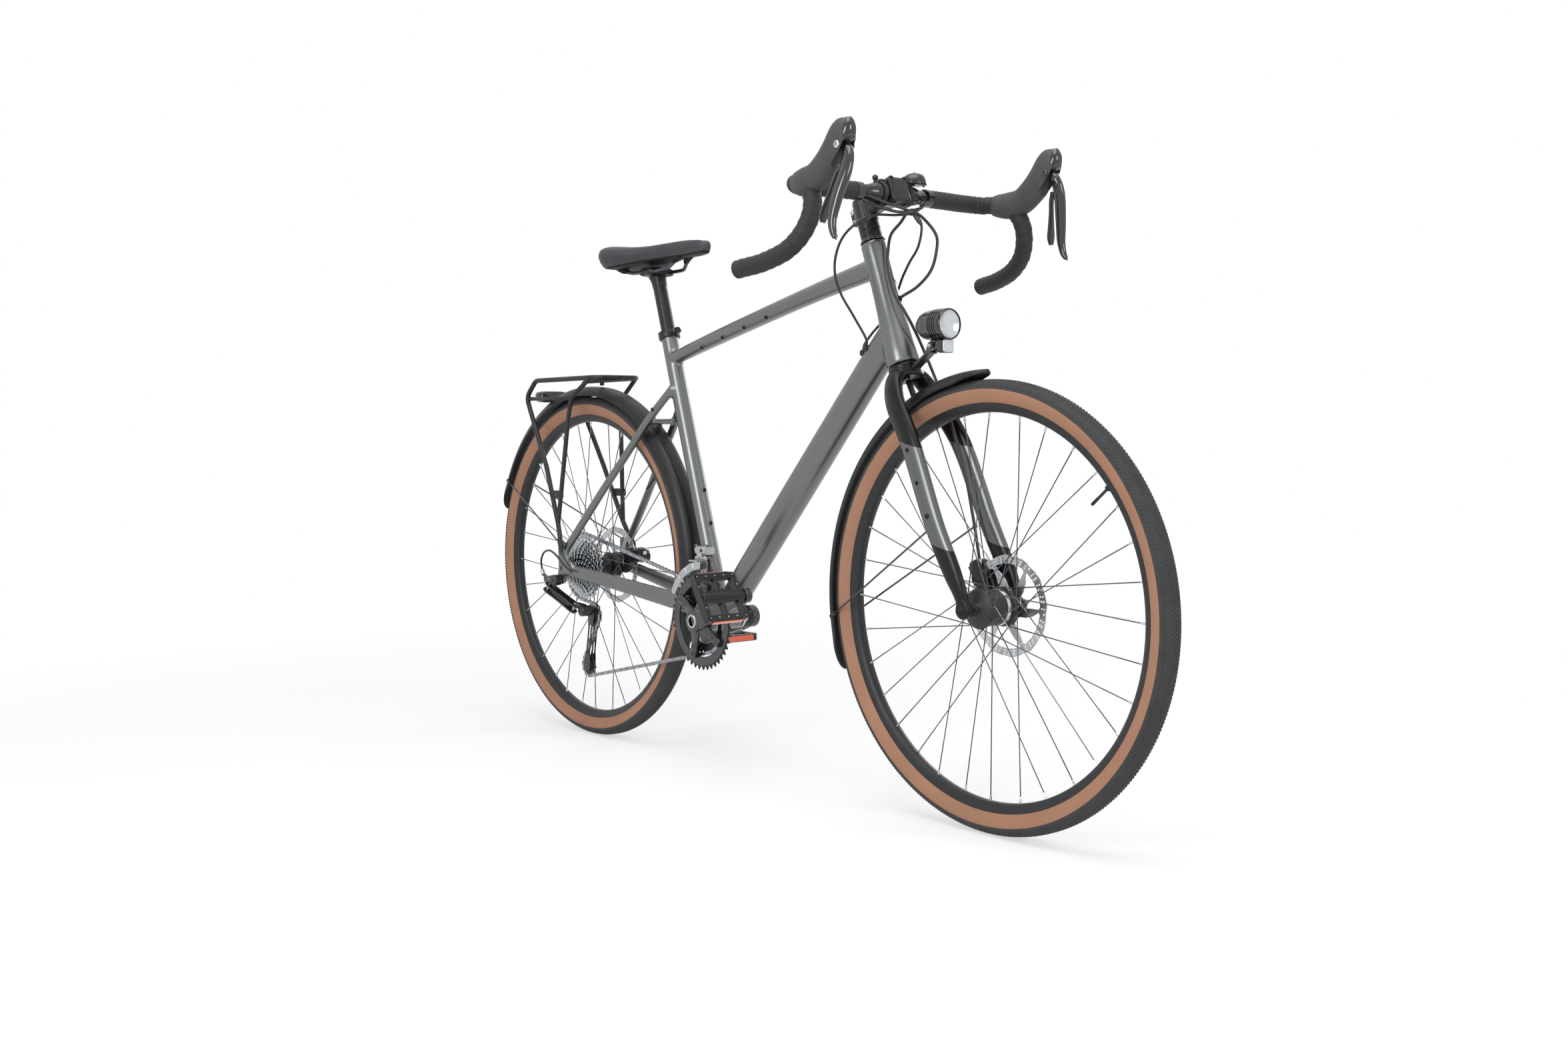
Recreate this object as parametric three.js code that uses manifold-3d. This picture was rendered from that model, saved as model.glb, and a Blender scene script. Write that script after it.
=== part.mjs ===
// Gravel touring bicycle with drop bar, mudguards, rack and dynamo lighting.
// Millimetres. +X is forward, +Y is the rider's left, +Z is up, the ground is z = 0.
// Every place is worked out from the axle line and the tube axes named below.

import * as THREE from 'three';
import { mergeVertices } from 'three/addons/utils/BufferGeometryUtils.js';
import Module from 'manifold-3d';

const wasm = await Module();
wasm.setup();

// Fits
const seatGap = 0.3;            // between touching pieces
const runGap = 0.4;             // round a turning shaft
const overrun = 2;              // how far a cut passes the face it opens
const weldDepth = 2;            // how far a boss sinks into its tube

// Wheels
const wheelbase = 1135;
const axleHeight = 350;
const tyreRadius = 350;
const tyreWidth = 40;
const rimRadius = 317.5;
const rimWidth = 25;
const rimDepth = 18;
const rimWall = 1.8;
const beadRadius = 311;
const spokeRadius = 1;
const nippleRadius = 2;
const nippleLength = 12;
const spokeCount = 32;
const spokeCrossings = 3;
const spokeStagger = 1.3;
const valveRadius = 3;
const valveLength = 42;
const wheelSides = 40;

// Hubs and axles
const axleRadius = 6;
const axleHeadRadius = 9.5;
const axleHeadLength = 7;
const frontHubWidth = 100;
const frontShellRadius = 28;
const frontFlangeRadius = 31;
const frontFlangeOffset = 26;
const rearHubWidth = 142;
const rearShellRadius = 17;
const rearFlangeRadius = 27;
const rearLeftFlange = 36;
const rearRightFlange = 17;
const flangeThickness = 4;
const hubEndRadius = 10;
const freehubRadius = 16.5;
const hubSides = 12;

// Brake discs and callipers
const discRadius = 80;
const discThickness = 1.8;
const discBandWidth = 13;
const discCarrierRadius = 24;
const discBoreRadius = 15;
const frontDiscOffset = 38;
const rearDiscOffset = 55;
const calliperLength = 58;
const calliperHeight = 27;
const calliperWidth = 30;
const calliperReach = 72;
const padThickness = 2.4;
const padGap = 0.5;

// Frame axes
const bottomBracketHeight = 277;
const chainstayLength = 452.5;
const seatAngle = 73;
const seatTubeTop = 815;
const headAngle = 70.4;
const headTubeLength = 216;
const headTubeBottomX = 375.8;
const headTubeBottomZ = 727.9;
const downTubeJoint = 62;
const topTubeJoint = 174;
const topTubeSeatHeight = 766;
const topTubeArch = 5;

// Frame tubes
const headTubeTopRadius = 21;
const headTubeBottomRadius = 28;
const headTubeBore = 16;
const bearingDepth = 8;
const upperBearingRadius = 18;
const lowerBearingRadius = 24.5;
const seatTubeRadius = 16.5;
const downTubeRadius = 25.5;
const topTubeSide = 17;
const topTubeDeep = 18;
const shellRadius = 21;
const shellWidth = 68;
const shellBore = 17;
const chainstaySide = 7.3;
const chainstayDeep = 17;
const chainstayRise = 15;
const seatstayRadius = 8;
const seatstayTopHeight = 712;
const bridgeRadius = 6;
const bridge_share = 0.2;
const dropoutThickness = 8;
const dropoutReach = 22;
const hangerDrop = 25;
const bossRadius = 4.5;
const bossHeight = 3;
const grommetRadius = 6;
const grommetLength = 8;
const tubeSides = 12;
const staySides = 8;
const bossSides = 6;

// Fork
const steererRadius = 14.3;
const steererBaseRadius = 19.5;
const crownRaceRadius = 27;
const crownDrop = 24;
const legOffset = 58;
const legSide = 10.5;
const legDeep = 19.5;
const forkDropoutRadius = 14;
const forkDropoutThickness = 15;

// Stem and bar
const barClampRadius = 15.9;
const barRadius = 11.9;
const tapeThickness = 2.6;

// Rear derailleur swinging parts
const linkEyeRadius = 7;
const linkEyeHalf = 5;
const cageHalfWidth = 5.2;
const cagePlateSheet = 1.5;
const cageArmWidth = 9;
const pulleyPinRadius = 3;
const pulleyBodyWidth = 6.5;
const pulleyBodyRadius = 13;

// Mudguards
const guardCrown = 372;
const frontGuardCrown = 366;
const guardHalf = 24.5;
const guardSheet = 1.8;
const guard_shares = [[1, 17], [0.45, 0]];
const guardEnd_share = 0.85;
const rearGuardAngles = [-10.5, 162.6];
const frontGuardAngles = [91, 201];
const guardStep = 11;
const stayRadius = 1.6;
const stayDrop = 15;
const eyeletRadius = 4;
const eyeletWidth = 3.6;
const lugRadius = 5;
const rearStayAngle = 151;
const rearStayEye = [-577, -79.7, 402];
const frontStayAngle = 186.5;
const frontStayEye = [484.5, -52, 470];
const forkLugAngle = 117.3;
const forkLugReach = 398.8;
const seatstayLugReach = 382.6;

// Rack and lights
const rackRadius = 5;
const rackLegRadius = 4.6;
const rackSides = 6;
const rackRoute = [[-465, 2, 737], [-465, -42, 737], [-484, -55, 737], [-690, -60, 737],
  [-722, -64, 703], [-635, -70, 557], [-577, -79, 440], [-553, -87, 392]];
const rackFrontLeg = [[-484, -55, 737], [-545, -62, 699], [-556, -63.5, 660], [-577, -79, 442]];
const rackLowerRail = [[-717, -64, 699], [-546, -62, 697]];
const rackBend = 22;
const rackCrossRadius = 3.6;
const rackCross = [[-527, 57, 737], [-712, 63, 700]];
const rackPost = [-527, 722.6];
const rackPlateLow = [-608, -77.5, 494];
const rackPlateHigh = [-562, -74.5, 508];
const tailLightLow = [-743, -35, 692];
const tailLightHigh = [-713, 35, 717];
const lampAt = [481, 0, 789];
const lampRadius = 25;
const lampRecess_share = 0.28;
const lamp_shares = [[0, -2.6], [0.56, -2.6], [0.88, -2.1], [1, -1.2], [1, 0], [0.9, 0],
  [0.9, -lampRecess_share], [0, -lampRecess_share]];
const lampSides = 12;
const lensRadius = 21.6;
const lensRim = 2;
const lampPivot = [443, 757];
const lampLugHalf = 5;
const lampBracketRoute = [[402, 0, 723], [420, 0, 735], [443, 0, 750]];
const lampBracketHalf = 10;
const lampStrapHalf = 3;
const reflectorLow = [464, -12.5, 744];
const reflectorHigh = [478, 12.5, 766];

// Hoses and cables
const hoseRadius = 2.5;
const cableRadius = 2.1;
const hoseSides = 5;
const hoseStep_share = 1.3;
const adjusterRadius = 4.2;
const frontHoseRoute = [[350, 66.3, 989.3], [357, 44, 983], [361, 25, 979], [352, 17, 962],
  [334, 12, 944], [342, -3, 912], [350, -11, 888], [370, -15, 843], [389, -9, 812], [395, 9, 779],
  [403, 26, 738], [424, 30.5, 692], [440, 33, 655], [470, 38, 570], [489, 42.5, 480], [502, 42, 419]];
const rearHoseRoute = [[350, -66.3, 989.3], [362, -42, 981], [373, -10, 974], [381, 22, 974],
  [394, 36, 958], [409, 42, 934], [410, 40, 910], [402, 35, 880], [386, 20, 855]];
const rearShiftRoute = [[363.4, 66.3, 997.4], [371, 48, 987], [372.2, 22, 974], [361, 0, 971],
  [343, -40, 969], [322, -58, 955], [300, -65, 935], [283, -65, 905], [279, -62, 876],
  [279, -50, 848], [291, -32, 810]];
const frontShiftRoute = [[363.4, -66.3, 997.4], [374, -44, 988], [379, -10, 980], [376.6, 22, 974],
  [390, 26, 955], [386, 23, 920], [364, 24, 896], [342, 28, 872], [322, 33, 845], [310, 22, 812],
  [300, -2, 783]];
const tieHalf = [8.5, 3, 4];
const tieAt = [377, 22, 974];
const rearAdjuster = [4, 5];
const frontAdjuster = [3, 4];
const gearCableRoute = [[-520, -83.5, 344], [-548, -85, 358], [-575, -87, 377], [-600, -87, 385],
  [-622, -87, 380], [-634, -87, 365], [-633, -87, 350], [-629.5, -87, 338]];

// Making solids

const UP = new THREE.Vector3(0, 0, 1);
const LEFT = new THREE.Vector3(0, 1, 0);
const point = (x, y, z) => new THREE.Vector3(x, y, z);
const along = (from, direction, distance) => from.clone().addScaledVector(direction, distance);
const radians = THREE.MathUtils.degToRad;
const mix = THREE.MathUtils.lerp;

/** A closed solid from a three.js geometry, with its shared corners merged. */
function solid(geometry) {
  geometry.deleteAttribute('normal');
  geometry.deleteAttribute('uv');
  const merged = mergeVertices(geometry);
  return new wasm.Manifold(new wasm.Mesh({
    numProp: 3,
    vertProperties: new Float32Array(merged.getAttribute('position').array),
    triVerts: new Uint32Array(merged.index.array),
  }));
}

/** Joins geometries or solids into one solid. */
function join(...parts) {
  const bodies = parts.map(part => (part.isBufferGeometry ? solid(part) : part));
  return bodies.reduce((sum, body) => sum.add(body));
}

/** Cuts geometries or solids out of a solid. */
function cut(body, ...tools) {
  return tools.reduce((rest, tool) => rest.subtract(join(tool)), join(body));
}

/** The solid reflected in the middle plane of the bicycle. */
function otherSide(body) {
  const mesh = join(body).getMesh();
  const corners = Float32Array.from(mesh.vertProperties, (v, i) => (i % 3 === 1 ? -v : v));
  const faces = Uint32Array.from(mesh.triVerts);
  for (let i = 0; i < faces.length; i += 3) {
    [faces[i], faces[i + 1]] = [faces[i + 1], faces[i]];
  }
  return new wasm.Manifold(new wasm.Mesh({ numProp: 3, vertProperties: corners, triVerts: faces }));
}

/** Skins a row of rings that have the same number of points, and closes both ends. */
function loft(rings) {
  const count = rings[0].length;
  const index = [];
  for (let r = 0; r + 1 < rings.length; r += 1) {
    for (let i = 0; i < count; i += 1) {
      const a = r * count + i;
      const b = r * count + (i + 1) % count;
      index.push(a, b, b + count, a, b + count, a + count);
    }
  }
  const last = (rings.length - 1) * count;
  for (let k = 0; k + 2 < count; k += 1) {
    const low = Math.ceil(k / 2);
    const high = count - 1 - Math.floor(k / 2);
    const third = k % 2 ? high - 1 : low + 1;
    index.push(low, high, third, last + low, last + third, last + high);
  }
  const geometry = new THREE.BufferGeometry();
  geometry.setAttribute('position',
    new THREE.Float32BufferAttribute(rings.flat().flatMap(p => p.toArray()), 3));
  geometry.setIndex(index);
  return geometry;
}

/** An oval ring square to a direction: side is across the bicycle, deep is in its plane. */
function oval(centre, direction, side, deep, count, fullness = 1) {
  const across = LEFT.clone().addScaledVector(direction, -direction.y).normalize();
  const upward = direction.clone().cross(across);
  return Array.from({ length: count }, (_, i) => {
    const angle = (i + 0.5) * 2 * Math.PI / count;
    const c = Math.cos(angle);
    const s = Math.sin(angle);
    return centre.clone()
      .addScaledVector(across, side * Math.sign(c) * Math.abs(c) ** fullness)
      .addScaledVector(upward, deep * Math.sign(s) * Math.abs(s) ** fullness);
  });
}

/** A tube through stations { at, side, deep }, each ring square to the route there. */
function tube(stations, count, fullness = 1) {
  const rings = stations.map((station, i) => {
    const before = stations[Math.max(i - 1, 0)].at;
    const after = stations[Math.min(i + 1, stations.length - 1)].at;
    const direction = after.clone().sub(before).normalize();
    return oval(station.at, direction, station.side, station.deep, count, fullness);
  });
  return loft(rings);
}

/** The points of a bent rod: straight runs joined by short curves. */
function bendRoute(corners, bend) {
  const route = [corners[0]];
  for (let i = 1; i + 1 < corners.length; i += 1) {
    const back = corners[i - 1].clone().sub(corners[i]);
    const ahead = corners[i + 1].clone().sub(corners[i]);
    const reach = Math.min(bend, back.length() / 2.2, ahead.length() / 2.2);
    const curve = new THREE.QuadraticBezierCurve3(
      along(corners[i], back.normalize(), reach), corners[i],
      along(corners[i], ahead.normalize(), reach));
    route.push(...curve.getPoints(2));
  }
  route.push(corners[corners.length - 1]);
  return route;
}

/** A round rod along a list of points, with its rings carried round the bends untwisted. */
function rodAlong(route, radius, count) {
  const radiusAt = i => (Array.isArray(radius) ? radius[i] : radius);
  const steps = route.map((p, i) => {
    const before = route[Math.max(i - 1, 0)];
    const after = route[Math.min(i + 1, route.length - 1)];
    return after.clone().sub(before).normalize();
  });
  const seed = Math.abs(steps[0].z) > 0.8 ? LEFT : UP;
  let normal = seed.clone().addScaledVector(steps[0], -seed.dot(steps[0])).normalize();
  const rings = route.map((p, i) => {
    if (i > 0) {
      const swing = new THREE.Quaternion().setFromUnitVectors(steps[i - 1], steps[i]);
      normal = normal.clone().applyQuaternion(swing);
    }
    const third = steps[i].clone().cross(normal);
    return Array.from({ length: count }, (_, k) => {
      const angle = (k + 0.5) * 2 * Math.PI / count;
      return p.clone().addScaledVector(normal, radiusAt(i) * Math.cos(angle))
        .addScaledVector(third, radiusAt(i) * Math.sin(angle));
    });
  });
  return loft(rings);
}

/** A round bar or cone between two points. */
function rod(from, to, radius, count, endRadius = radius) {
  const span = to.clone().sub(from);
  const geometry = new THREE.CylinderGeometry(endRadius, radius, span.length(), count);
  const swing = new THREE.Quaternion().setFromUnitVectors(LEFT, span.normalize());
  return geometry.applyQuaternion(swing)
    .translate((from.x + to.x) / 2, (from.y + to.y) / 2, (from.z + to.z) / 2);
}

/** A turned piece: profile points are [radius, distance along the axis]. */
function turned(profile, count, at, axis = LEFT, facetUp = false) {
  const closing = profile[0][0] > 0 ? [profile[0]] : [];
  const outline = [...profile, ...closing].map(([r, t]) => new THREE.Vector2(r, t));
  const phase = facetUp ? Math.PI / count : 0;
  const swing = new THREE.Quaternion().setFromUnitVectors(LEFT, axis);
  return new THREE.LatheGeometry(outline, count, phase)
    .applyQuaternion(swing).translate(at.x, at.y, at.z);
}

/** A flat plate with a side outline [x, z], centred at a distance from the middle plane. */
function plate(outline, thickness, offset, holes = []) {
  const shape = new THREE.Shape(outline.map(([x, z]) => new THREE.Vector2(x, z)));
  shape.holes = holes.map(hole => new THREE.Path(hole.map(([x, z]) => new THREE.Vector2(x, z))));
  return new THREE.ExtrudeGeometry(shape, { depth: thickness, bevelEnabled: false })
    .rotateX(Math.PI / 2).translate(0, offset + thickness / 2, 0);
}

/** The radius that keeps the flats of a round hole clear of a shaft. */
const holeRadius = (shaft, count) => (shaft + seatGap) / Math.cos(Math.PI / count);

/** A box between two corners. */
function block(low, high) {
  return new THREE.BoxGeometry(high.x - low.x, high.y - low.y, high.z - low.z)
    .translate((low.x + high.x) / 2, (low.y + high.y) / 2, (low.z + high.z) / 2);
}

/** A box of a given size with one edge laid along a direction in the plane of the bicycle. */
function slab(centre, direction, length, width, height) {
  return new THREE.BoxGeometry(length, width, height)
    .rotateY(-Math.atan2(direction.z, direction.x))
    .translate(centre.x, centre.y, centre.z);
}

/** Outline points of a circle, for plates and holes. */
function circle(x, z, radius, count, start = 0) {
  return Array.from({ length: count }, (_, i) => {
    const angle = start + 2 * Math.PI * i / count;
    return [x + radius * Math.cos(angle), z + radius * Math.sin(angle)];
  });
}

const bicycle = new THREE.Group();

/** Adds one named piece of the bicycle. */
function piece(name, body, finish) {
  const { vertProperties, triVerts, numProp } = join(body).getMesh();
  const geometry = new THREE.BufferGeometry();
  geometry.setAttribute('position', new THREE.BufferAttribute(vertProperties, numProp));
  geometry.setIndex(new THREE.BufferAttribute(triVerts, 1));
  geometry.translate(centring, 0, 0);
  const mesh = new THREE.Mesh(geometry, new THREE.MeshStandardMaterial(finish));
  mesh.name = name;
  bicycle.add(mesh);
}

const frameGreen = { color: '#4b5350', roughness: 0.5, metalness: 0.6 };
const satinBlack = { color: '#17181a', roughness: 0.45, metalness: 0.3 };
const softBlack = { color: '#1c1c1e', roughness: 0.8, metalness: 0 };
const rubberBlack = { color: '#202022', roughness: 0.9, metalness: 0 };
const silver = { color: '#b9bcc0', roughness: 0.3, metalness: 0.9 };
const darkSteel = { color: '#3a3c40', roughness: 0.4, metalness: 0.8 };
const tyreTan = { color: '#b5795c', roughness: 0.85, metalness: 0 };
const clear = { color: '#dfe4e8', roughness: 0.1, metalness: 0 };

// Places that many pieces share

const rearAxle = point(-wheelbase / 2, 0, axleHeight);
const frontAxle = point(wheelbase / 2, 0, axleHeight);
const rearReach = guardCrown * Math.cos(radians(rearGuardAngles[1]));
const centring = -(rearAxle.x + rearReach + frontAxle.x + tyreRadius) / 2;
const shellDrop = axleHeight - bottomBracketHeight;
const bottomBracket = point(
  rearAxle.x + Math.sqrt(chainstayLength ** 2 - shellDrop ** 2), 0, bottomBracketHeight);
const seatUp = point(-Math.cos(radians(seatAngle)), 0, Math.sin(radians(seatAngle)));
const seatAhead = point(seatUp.z, 0, -seatUp.x);
const headUp = point(-Math.cos(radians(headAngle)), 0, Math.sin(radians(headAngle)));
const headAhead = point(headUp.z, 0, -headUp.x);
const headBottom = point(headTubeBottomX, 0, headTubeBottomZ);
const onSeatTube = height =>
  along(bottomBracket, seatUp, (height - bottomBracketHeight) / seatUp.z);
const onHeadAxis = distance => along(headBottom, headUp, distance);
const shifted = (p, dx, dy, dz) => point(p.x + dx, p.y + dy, p.z + dz);

// Frame

const dropoutOffset = rearHubWidth / 2 + seatGap + dropoutThickness / 2;
const seatTubeEnd = onSeatTube(seatTubeTop);

function headTube() {
  const flare_shares = [[1, 0], [1, 0.09], [0.85, 0.32], [0.75, 0.6], [0.75, 1]];
  const outer = flare_shares.map(([r, t]) => [r * headTubeBottomRadius, t * headTubeLength]);
  return turned([[0, 0], ...outer, [0, headTubeLength]], tubeSides + 2, headBottom, headUp);
}

function headBore() {
  const top = headTubeLength;
  return turned([
    [0, -overrun], [lowerBearingRadius, -overrun], [lowerBearingRadius, bearingDepth],
    [steererBaseRadius + weldDepth, bearingDepth], [headTubeBore, top / 2],
    [headTubeBore, top - bearingDepth], [upperBearingRadius, top - bearingDepth],
    [upperBearingRadius, top + overrun], [0, top + overrun],
  ], tubeSides, headBottom, headUp);
}

function mainTube(from, to, side, deep, arch, shares) {
  const count = tubeSides;
  return tube(shares.map(([t, wide, tall]) => ({
    at: from.clone().lerp(to, t).addScaledVector(UP, arch * Math.sin(Math.PI * t)),
    side: side * wide,
    deep: deep * tall,
  })), count);
}

const downTubeStart = shifted(bottomBracket, 0, 0, shellRadius / 5);
const downTubeEnd = onHeadAxis(downTubeJoint);
const topTubeStart = onSeatTube(topTubeSeatHeight);
const topTubeEnd = onHeadAxis(topTubeJoint);
const topTube_shares = [[0, 0.86, 0.68], [0.2, 1, 0.74], [0.72, 1.05, 0.84], [1, 1, 1]];

/** The right chainstay runs from the shell, round the tyre, to the dropout. */
function chainstay(clearance = 0) {
  const route_shares = [
    [0, 0.33, 1.1, 0.95], [0.14, 0.425, 1, 1.06], [0.32, 0.52, 0.96, 1],
    [0.64, 0.73, 0.96, 0.85], [0.93, 0.945, 0.9, 0.76],
  ];
  const start = shifted(bottomBracket, 0, 0, chainstayRise);
  return tube(route_shares.map(([t, out, wide, tall]) => {
    const at = start.clone().lerp(rearAxle, t);
    return {
      at: at.setY(-out * dropoutOffset),
      side: wide * chainstaySide + clearance,
      deep: tall * chainstayDeep + clearance,
    };
  }), staySides);
}

const seatstayTop = onSeatTube(seatstayTopHeight);
const seatstayFoot = shifted(rearAxle, dropoutReach * 0.4, 0, dropoutReach * 1.6);
const seatstay_shares = [[0, 0.17], [0.12, 0.34], [0.22, 0.46], [0.35, 0.54], [0.65, 0.77], [1, 0.985]];

function onSeatstay(t) {
  const next = seatstay_shares.findIndex(([share]) => share >= t);
  const [t0, y0] = seatstay_shares[Math.max(next - 1, 0)];
  const [t1, y1] = seatstay_shares[Math.max(next, 1)];
  const out = mix(y0, y1, (t - t0) / (t1 - t0));
  return seatstayTop.clone().lerp(seatstayFoot, t).setY(-out * dropoutOffset);
}

function seatstay() {
  return tube(seatstay_shares.map(([t]) => ({
    at: onSeatstay(t), side: seatstayRadius, deep: seatstayRadius,
  })), staySides);
}

/** A bridge from stay to stay, with its ends inside both. */
function bridge(end) {
  return rod(end, point(end.x, -end.y, end.z), bridgeRadius, bossSides + 2);
}

function dropout(side) {
  const corner_shares = [[-0.7, -0.5], [-0.62, 0.5], [-0.65, 2.5], [0, 2.7], [0.85, 2.05],
    [0.9, 0.95], [1.8, 0.6], [1.8, -0.6], [0.6, -0.8]];
  const hanger_shares = [[0.3, -1.45], [-0.75, -1.6], [-1.05, -1]];
  const shares = side < 0 ? [...corner_shares, ...hanger_shares] : corner_shares;
  const outline = shares.map(([x, z]) =>
    [rearAxle.x + x * dropoutReach, rearAxle.z + z * dropoutReach]).reverse();
  const hole = circle(rearAxle.x, rearAxle.z, axleRadius + runGap, bossSides + 2);
  return plate(outline, dropoutThickness, side * dropoutOffset, [hole]);
}

/** A threaded boss that stands on a surface point and faces outward. */
function boss(surface, outward) {
  return rod(along(surface, outward, -weldDepth), along(surface, outward, bossHeight),
    bossRadius, bossSides);
}

const topTubeBoss_shares = [0.19, 0.3, 0.41, 0.52];
const bossTilt = 40;
const seatBossHeights = [449, 511];
const cablePort = point(306, -19, 763);
const innerCablePort = point(292, -13, 756);
const headPort = point(361.1, 5, 837.8);
const portUp = point(0.35, -0.2, 0.92).normalize();
const headPortOut = point(0.92, 0, 0.39).normalize();

function frameBosses() {
  const down = point(0, -Math.cos(radians(bossTilt)), -Math.sin(radians(bossTilt)));
  const underTopTube = topTubeBoss_shares.map(t => {
    const centre = topTubeStart.clone().lerp(topTubeEnd, t);
    centre.z += topTubeArch * Math.sin(Math.PI * t);
    const surface = shifted(centre, 0, down.y * topTubeSide, down.z * topTubeDeep * 0.8);
    return boss(surface, down);
  });
  const onSeat = seatBossHeights.map(height =>
    boss(along(onSeatTube(height), seatAhead, seatTubeRadius), seatAhead));
  const rackBoss = along(onSeatstay(0.13), point(0, -1, 0), seatstayRadius);
  const onStay = boss(rackBoss, point(0, -1, 0));
  return [...underTopTube, ...onSeat, onStay, otherSide(onStay)];
}

function frame() {
  const stayPair = join(chainstay(), seatstay());
  const shell = rod(shifted(bottomBracket, 0, -shellWidth / 2, 0),
    shifted(bottomBracket, 0, shellWidth / 2, 0), shellRadius, tubeSides + 2);
  const grommets = [[cablePort, portUp], [innerCablePort, portUp], [headPort, headPortOut]]
    .map(([at, out]) => rod(along(at, out, -grommetLength), at, grommetRadius, bossSides));
  const chainstayBridge = shifted(bottomBracket, -chainstayLength * 0.135, 0, chainstayRise)
    .setY(dropoutOffset * 0.39);
  const welded = join(
    headTube(), rod(bottomBracket, seatTubeEnd, seatTubeRadius, tubeSides), shell,
    mainTube(downTubeStart, downTubeEnd, downTubeRadius, downTubeRadius, 0,
      [[0, 1, 0.8], [0.1, 1, 1], [0.86, 1, 1], [1, 0.82, 1.05]]),
    mainTube(topTubeStart, topTubeEnd, topTubeSide, topTubeDeep, topTubeArch, topTube_shares),
    stayPair, otherSide(stayPair), dropout(-1), dropout(1),
    bridge(onSeatstay(bridge_share)), bridge(chainstayBridge), ...grommets, ...frameBosses());
  const spindleBore = rod(shifted(bottomBracket, 0, -shellWidth, 0),
    shifted(bottomBracket, 0, shellWidth, 0), shellBore, tubeSides);
  return cut(welded, headBore(), spindleBore, seatBore());
}

// Seatpost and saddle

const seatpostRadius = 13.6;
const seatpostInsert = 190;
const seatpostTravel = 90;
const seatpostHead = 118;
const collarHeight = 14;
const collarWall = 4;
const collarEar = 13;
const collarBoltRadius = 3;

function seatBore() {
  const floor = along(seatTubeEnd, seatUp, -(seatpostInsert + seatpostTravel + overrun));
  return rod(floor, along(seatTubeEnd, seatUp, overrun), seatpostRadius + seatGap, tubeSides);
}

function seatCollar() {
  const inner = seatTubeRadius + seatGap;
  const low = -collarHeight * 0.7;
  const high = collarHeight * 0.3;
  const lip = seatpostRadius + seatGap;
  const ring = turned([[inner, low], [inner + collarWall, low], [inner + collarWall, high],
    [lip, high], [lip, seatGap], [inner, seatGap]], tubeSides, seatTubeEnd, seatUp);
  const mid = along(seatTubeEnd, seatUp, (low + high) / 2);
  const ear = tube([0, 1].map(t => ({
    at: along(mid, seatAhead, inner + collarWall / 2 + t * collarEar),
    side: collarHeight / 2, deep: collarHeight / 2.4,
  })), bossSides + 2, 0.6);
  const bolt = rod(along(mid, seatAhead, inner + collarEar * 0.75).setY(-collarHeight * 0.7),
    along(mid, seatAhead, inner + collarEar * 0.75).setY(collarHeight * 0.7),
    collarBoltRadius, bossSides);
  return join(ring, ear, bolt);
}

const saddleNoseX = -155;
const saddleLength = 280;
const saddleWidth = 152;
const saddleHeight = 985;
const saddleThickness = 34;
const shellThickness = 3;
const railRadius = 3.5;
const railSpread = 22;
const railHeight = 937;
const railClampLength = 46;
const railClampHeight = 10;

const seatpostTop = along(seatTubeEnd, seatUp, seatpostHead);
const railSeat = point(seatpostTop.x - seatpostRadius / 3, 0, railHeight);

/** Post with the two-bolt head that grips both rails. */
function seatpost() {
  const shaft = rod(along(seatTubeEnd, seatUp, -seatpostInsert), seatpostTop,
    seatpostRadius, tubeSides);
  const headShape_shares = [[-1, 0.7], [-0.7, 1], [0.7, 1], [1, 0.7]];
  const head = tube(headShape_shares.map(([t, tall]) => ({
    at: point(railSeat.x + t * railClampLength / 2, 0, railHeight),
    side: railSpread + railRadius * 2, deep: tall * railClampHeight,
  })), bossSides + 2, 0.45);
  const grooves = [-1, 1].map(side => {
    const start = point(railSeat.x - railClampLength, side * railSpread, railHeight);
    return rod(start, shifted(start, 2 * railClampLength, 0, 0),
      holeRadius(railRadius, bossSides), bossSides);
  });
  return cut(join(shaft, head), ...grooves);
}

/** Half width, top and underside of the cushion at a share of its length from the nose. */
const cushion_shares = [
  [0, 0.08, 0.28, 0.52], [0.03, 0.16, 0.1, 0.66], [0.12, 0.24, 0, 0.72], [0.25, 0.27, -0.05, 0.74],
  [0.4, 0.36, -0.03, 0.76], [0.55, 0.56, 0.02, 0.82], [0.68, 0.8, 0, 0.92], [0.8, 0.97, -0.1, 1.02],
  [0.9, 1, -0.18, 1.06], [0.97, 0.88, -0.16, 0.98], [1, 0.62, -0.02, 0.7],
];

/** Cross-section of the cushion: a crown above, drawn-in sides and a flat underside. */
function cushionRing([t, wide, drop, floor]) {
  const x = saddleNoseX - t * saddleLength;
  const half = wide * saddleWidth / 2;
  const crown = saddleHeight - drop * saddleThickness;
  const under = saddleHeight - floor * saddleThickness;
  const section_shares = [
    [0.84, 0], [0.97, 0.3], [1, 0.56], [0.93, 0.82], [0.76, 0.95], [0.5, 1], [0.24, 0.975], [0, 0.95],
  ];
  const right = section_shares.map(([y, z]) => point(x, -y * half, mix(under, crown, z)));
  const left = section_shares.slice(0, -1).reverse().map(([y, z]) =>
    point(x, y * half, mix(under, crown, z)));
  return [...right, ...left];
}

function saddleCushion() {
  return loft(cushion_shares.map(cushionRing));
}

/** Thin base under the cushion with the two bent rails let into it. */
function saddleBase() {
  const rings = cushion_shares.slice(1, -1).map(([t, wide, , floor]) => {
    const x = saddleNoseX - t * saddleLength;
    const half = 0.8 * wide * saddleWidth / 2;
    const top = saddleHeight - floor * saddleThickness - seatGap;
    return [[1, 0], [0.7, 1], [-0.7, 1], [-1, 0]].map(([y, z]) =>
      point(x, y * half, top - z * shellThickness));
  });
  const rail = rodAlong(railRoute.map(p => point(...p)), railRadius, bossSides);
  return join(loft(rings), rail, otherSide(rail));
}

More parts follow.
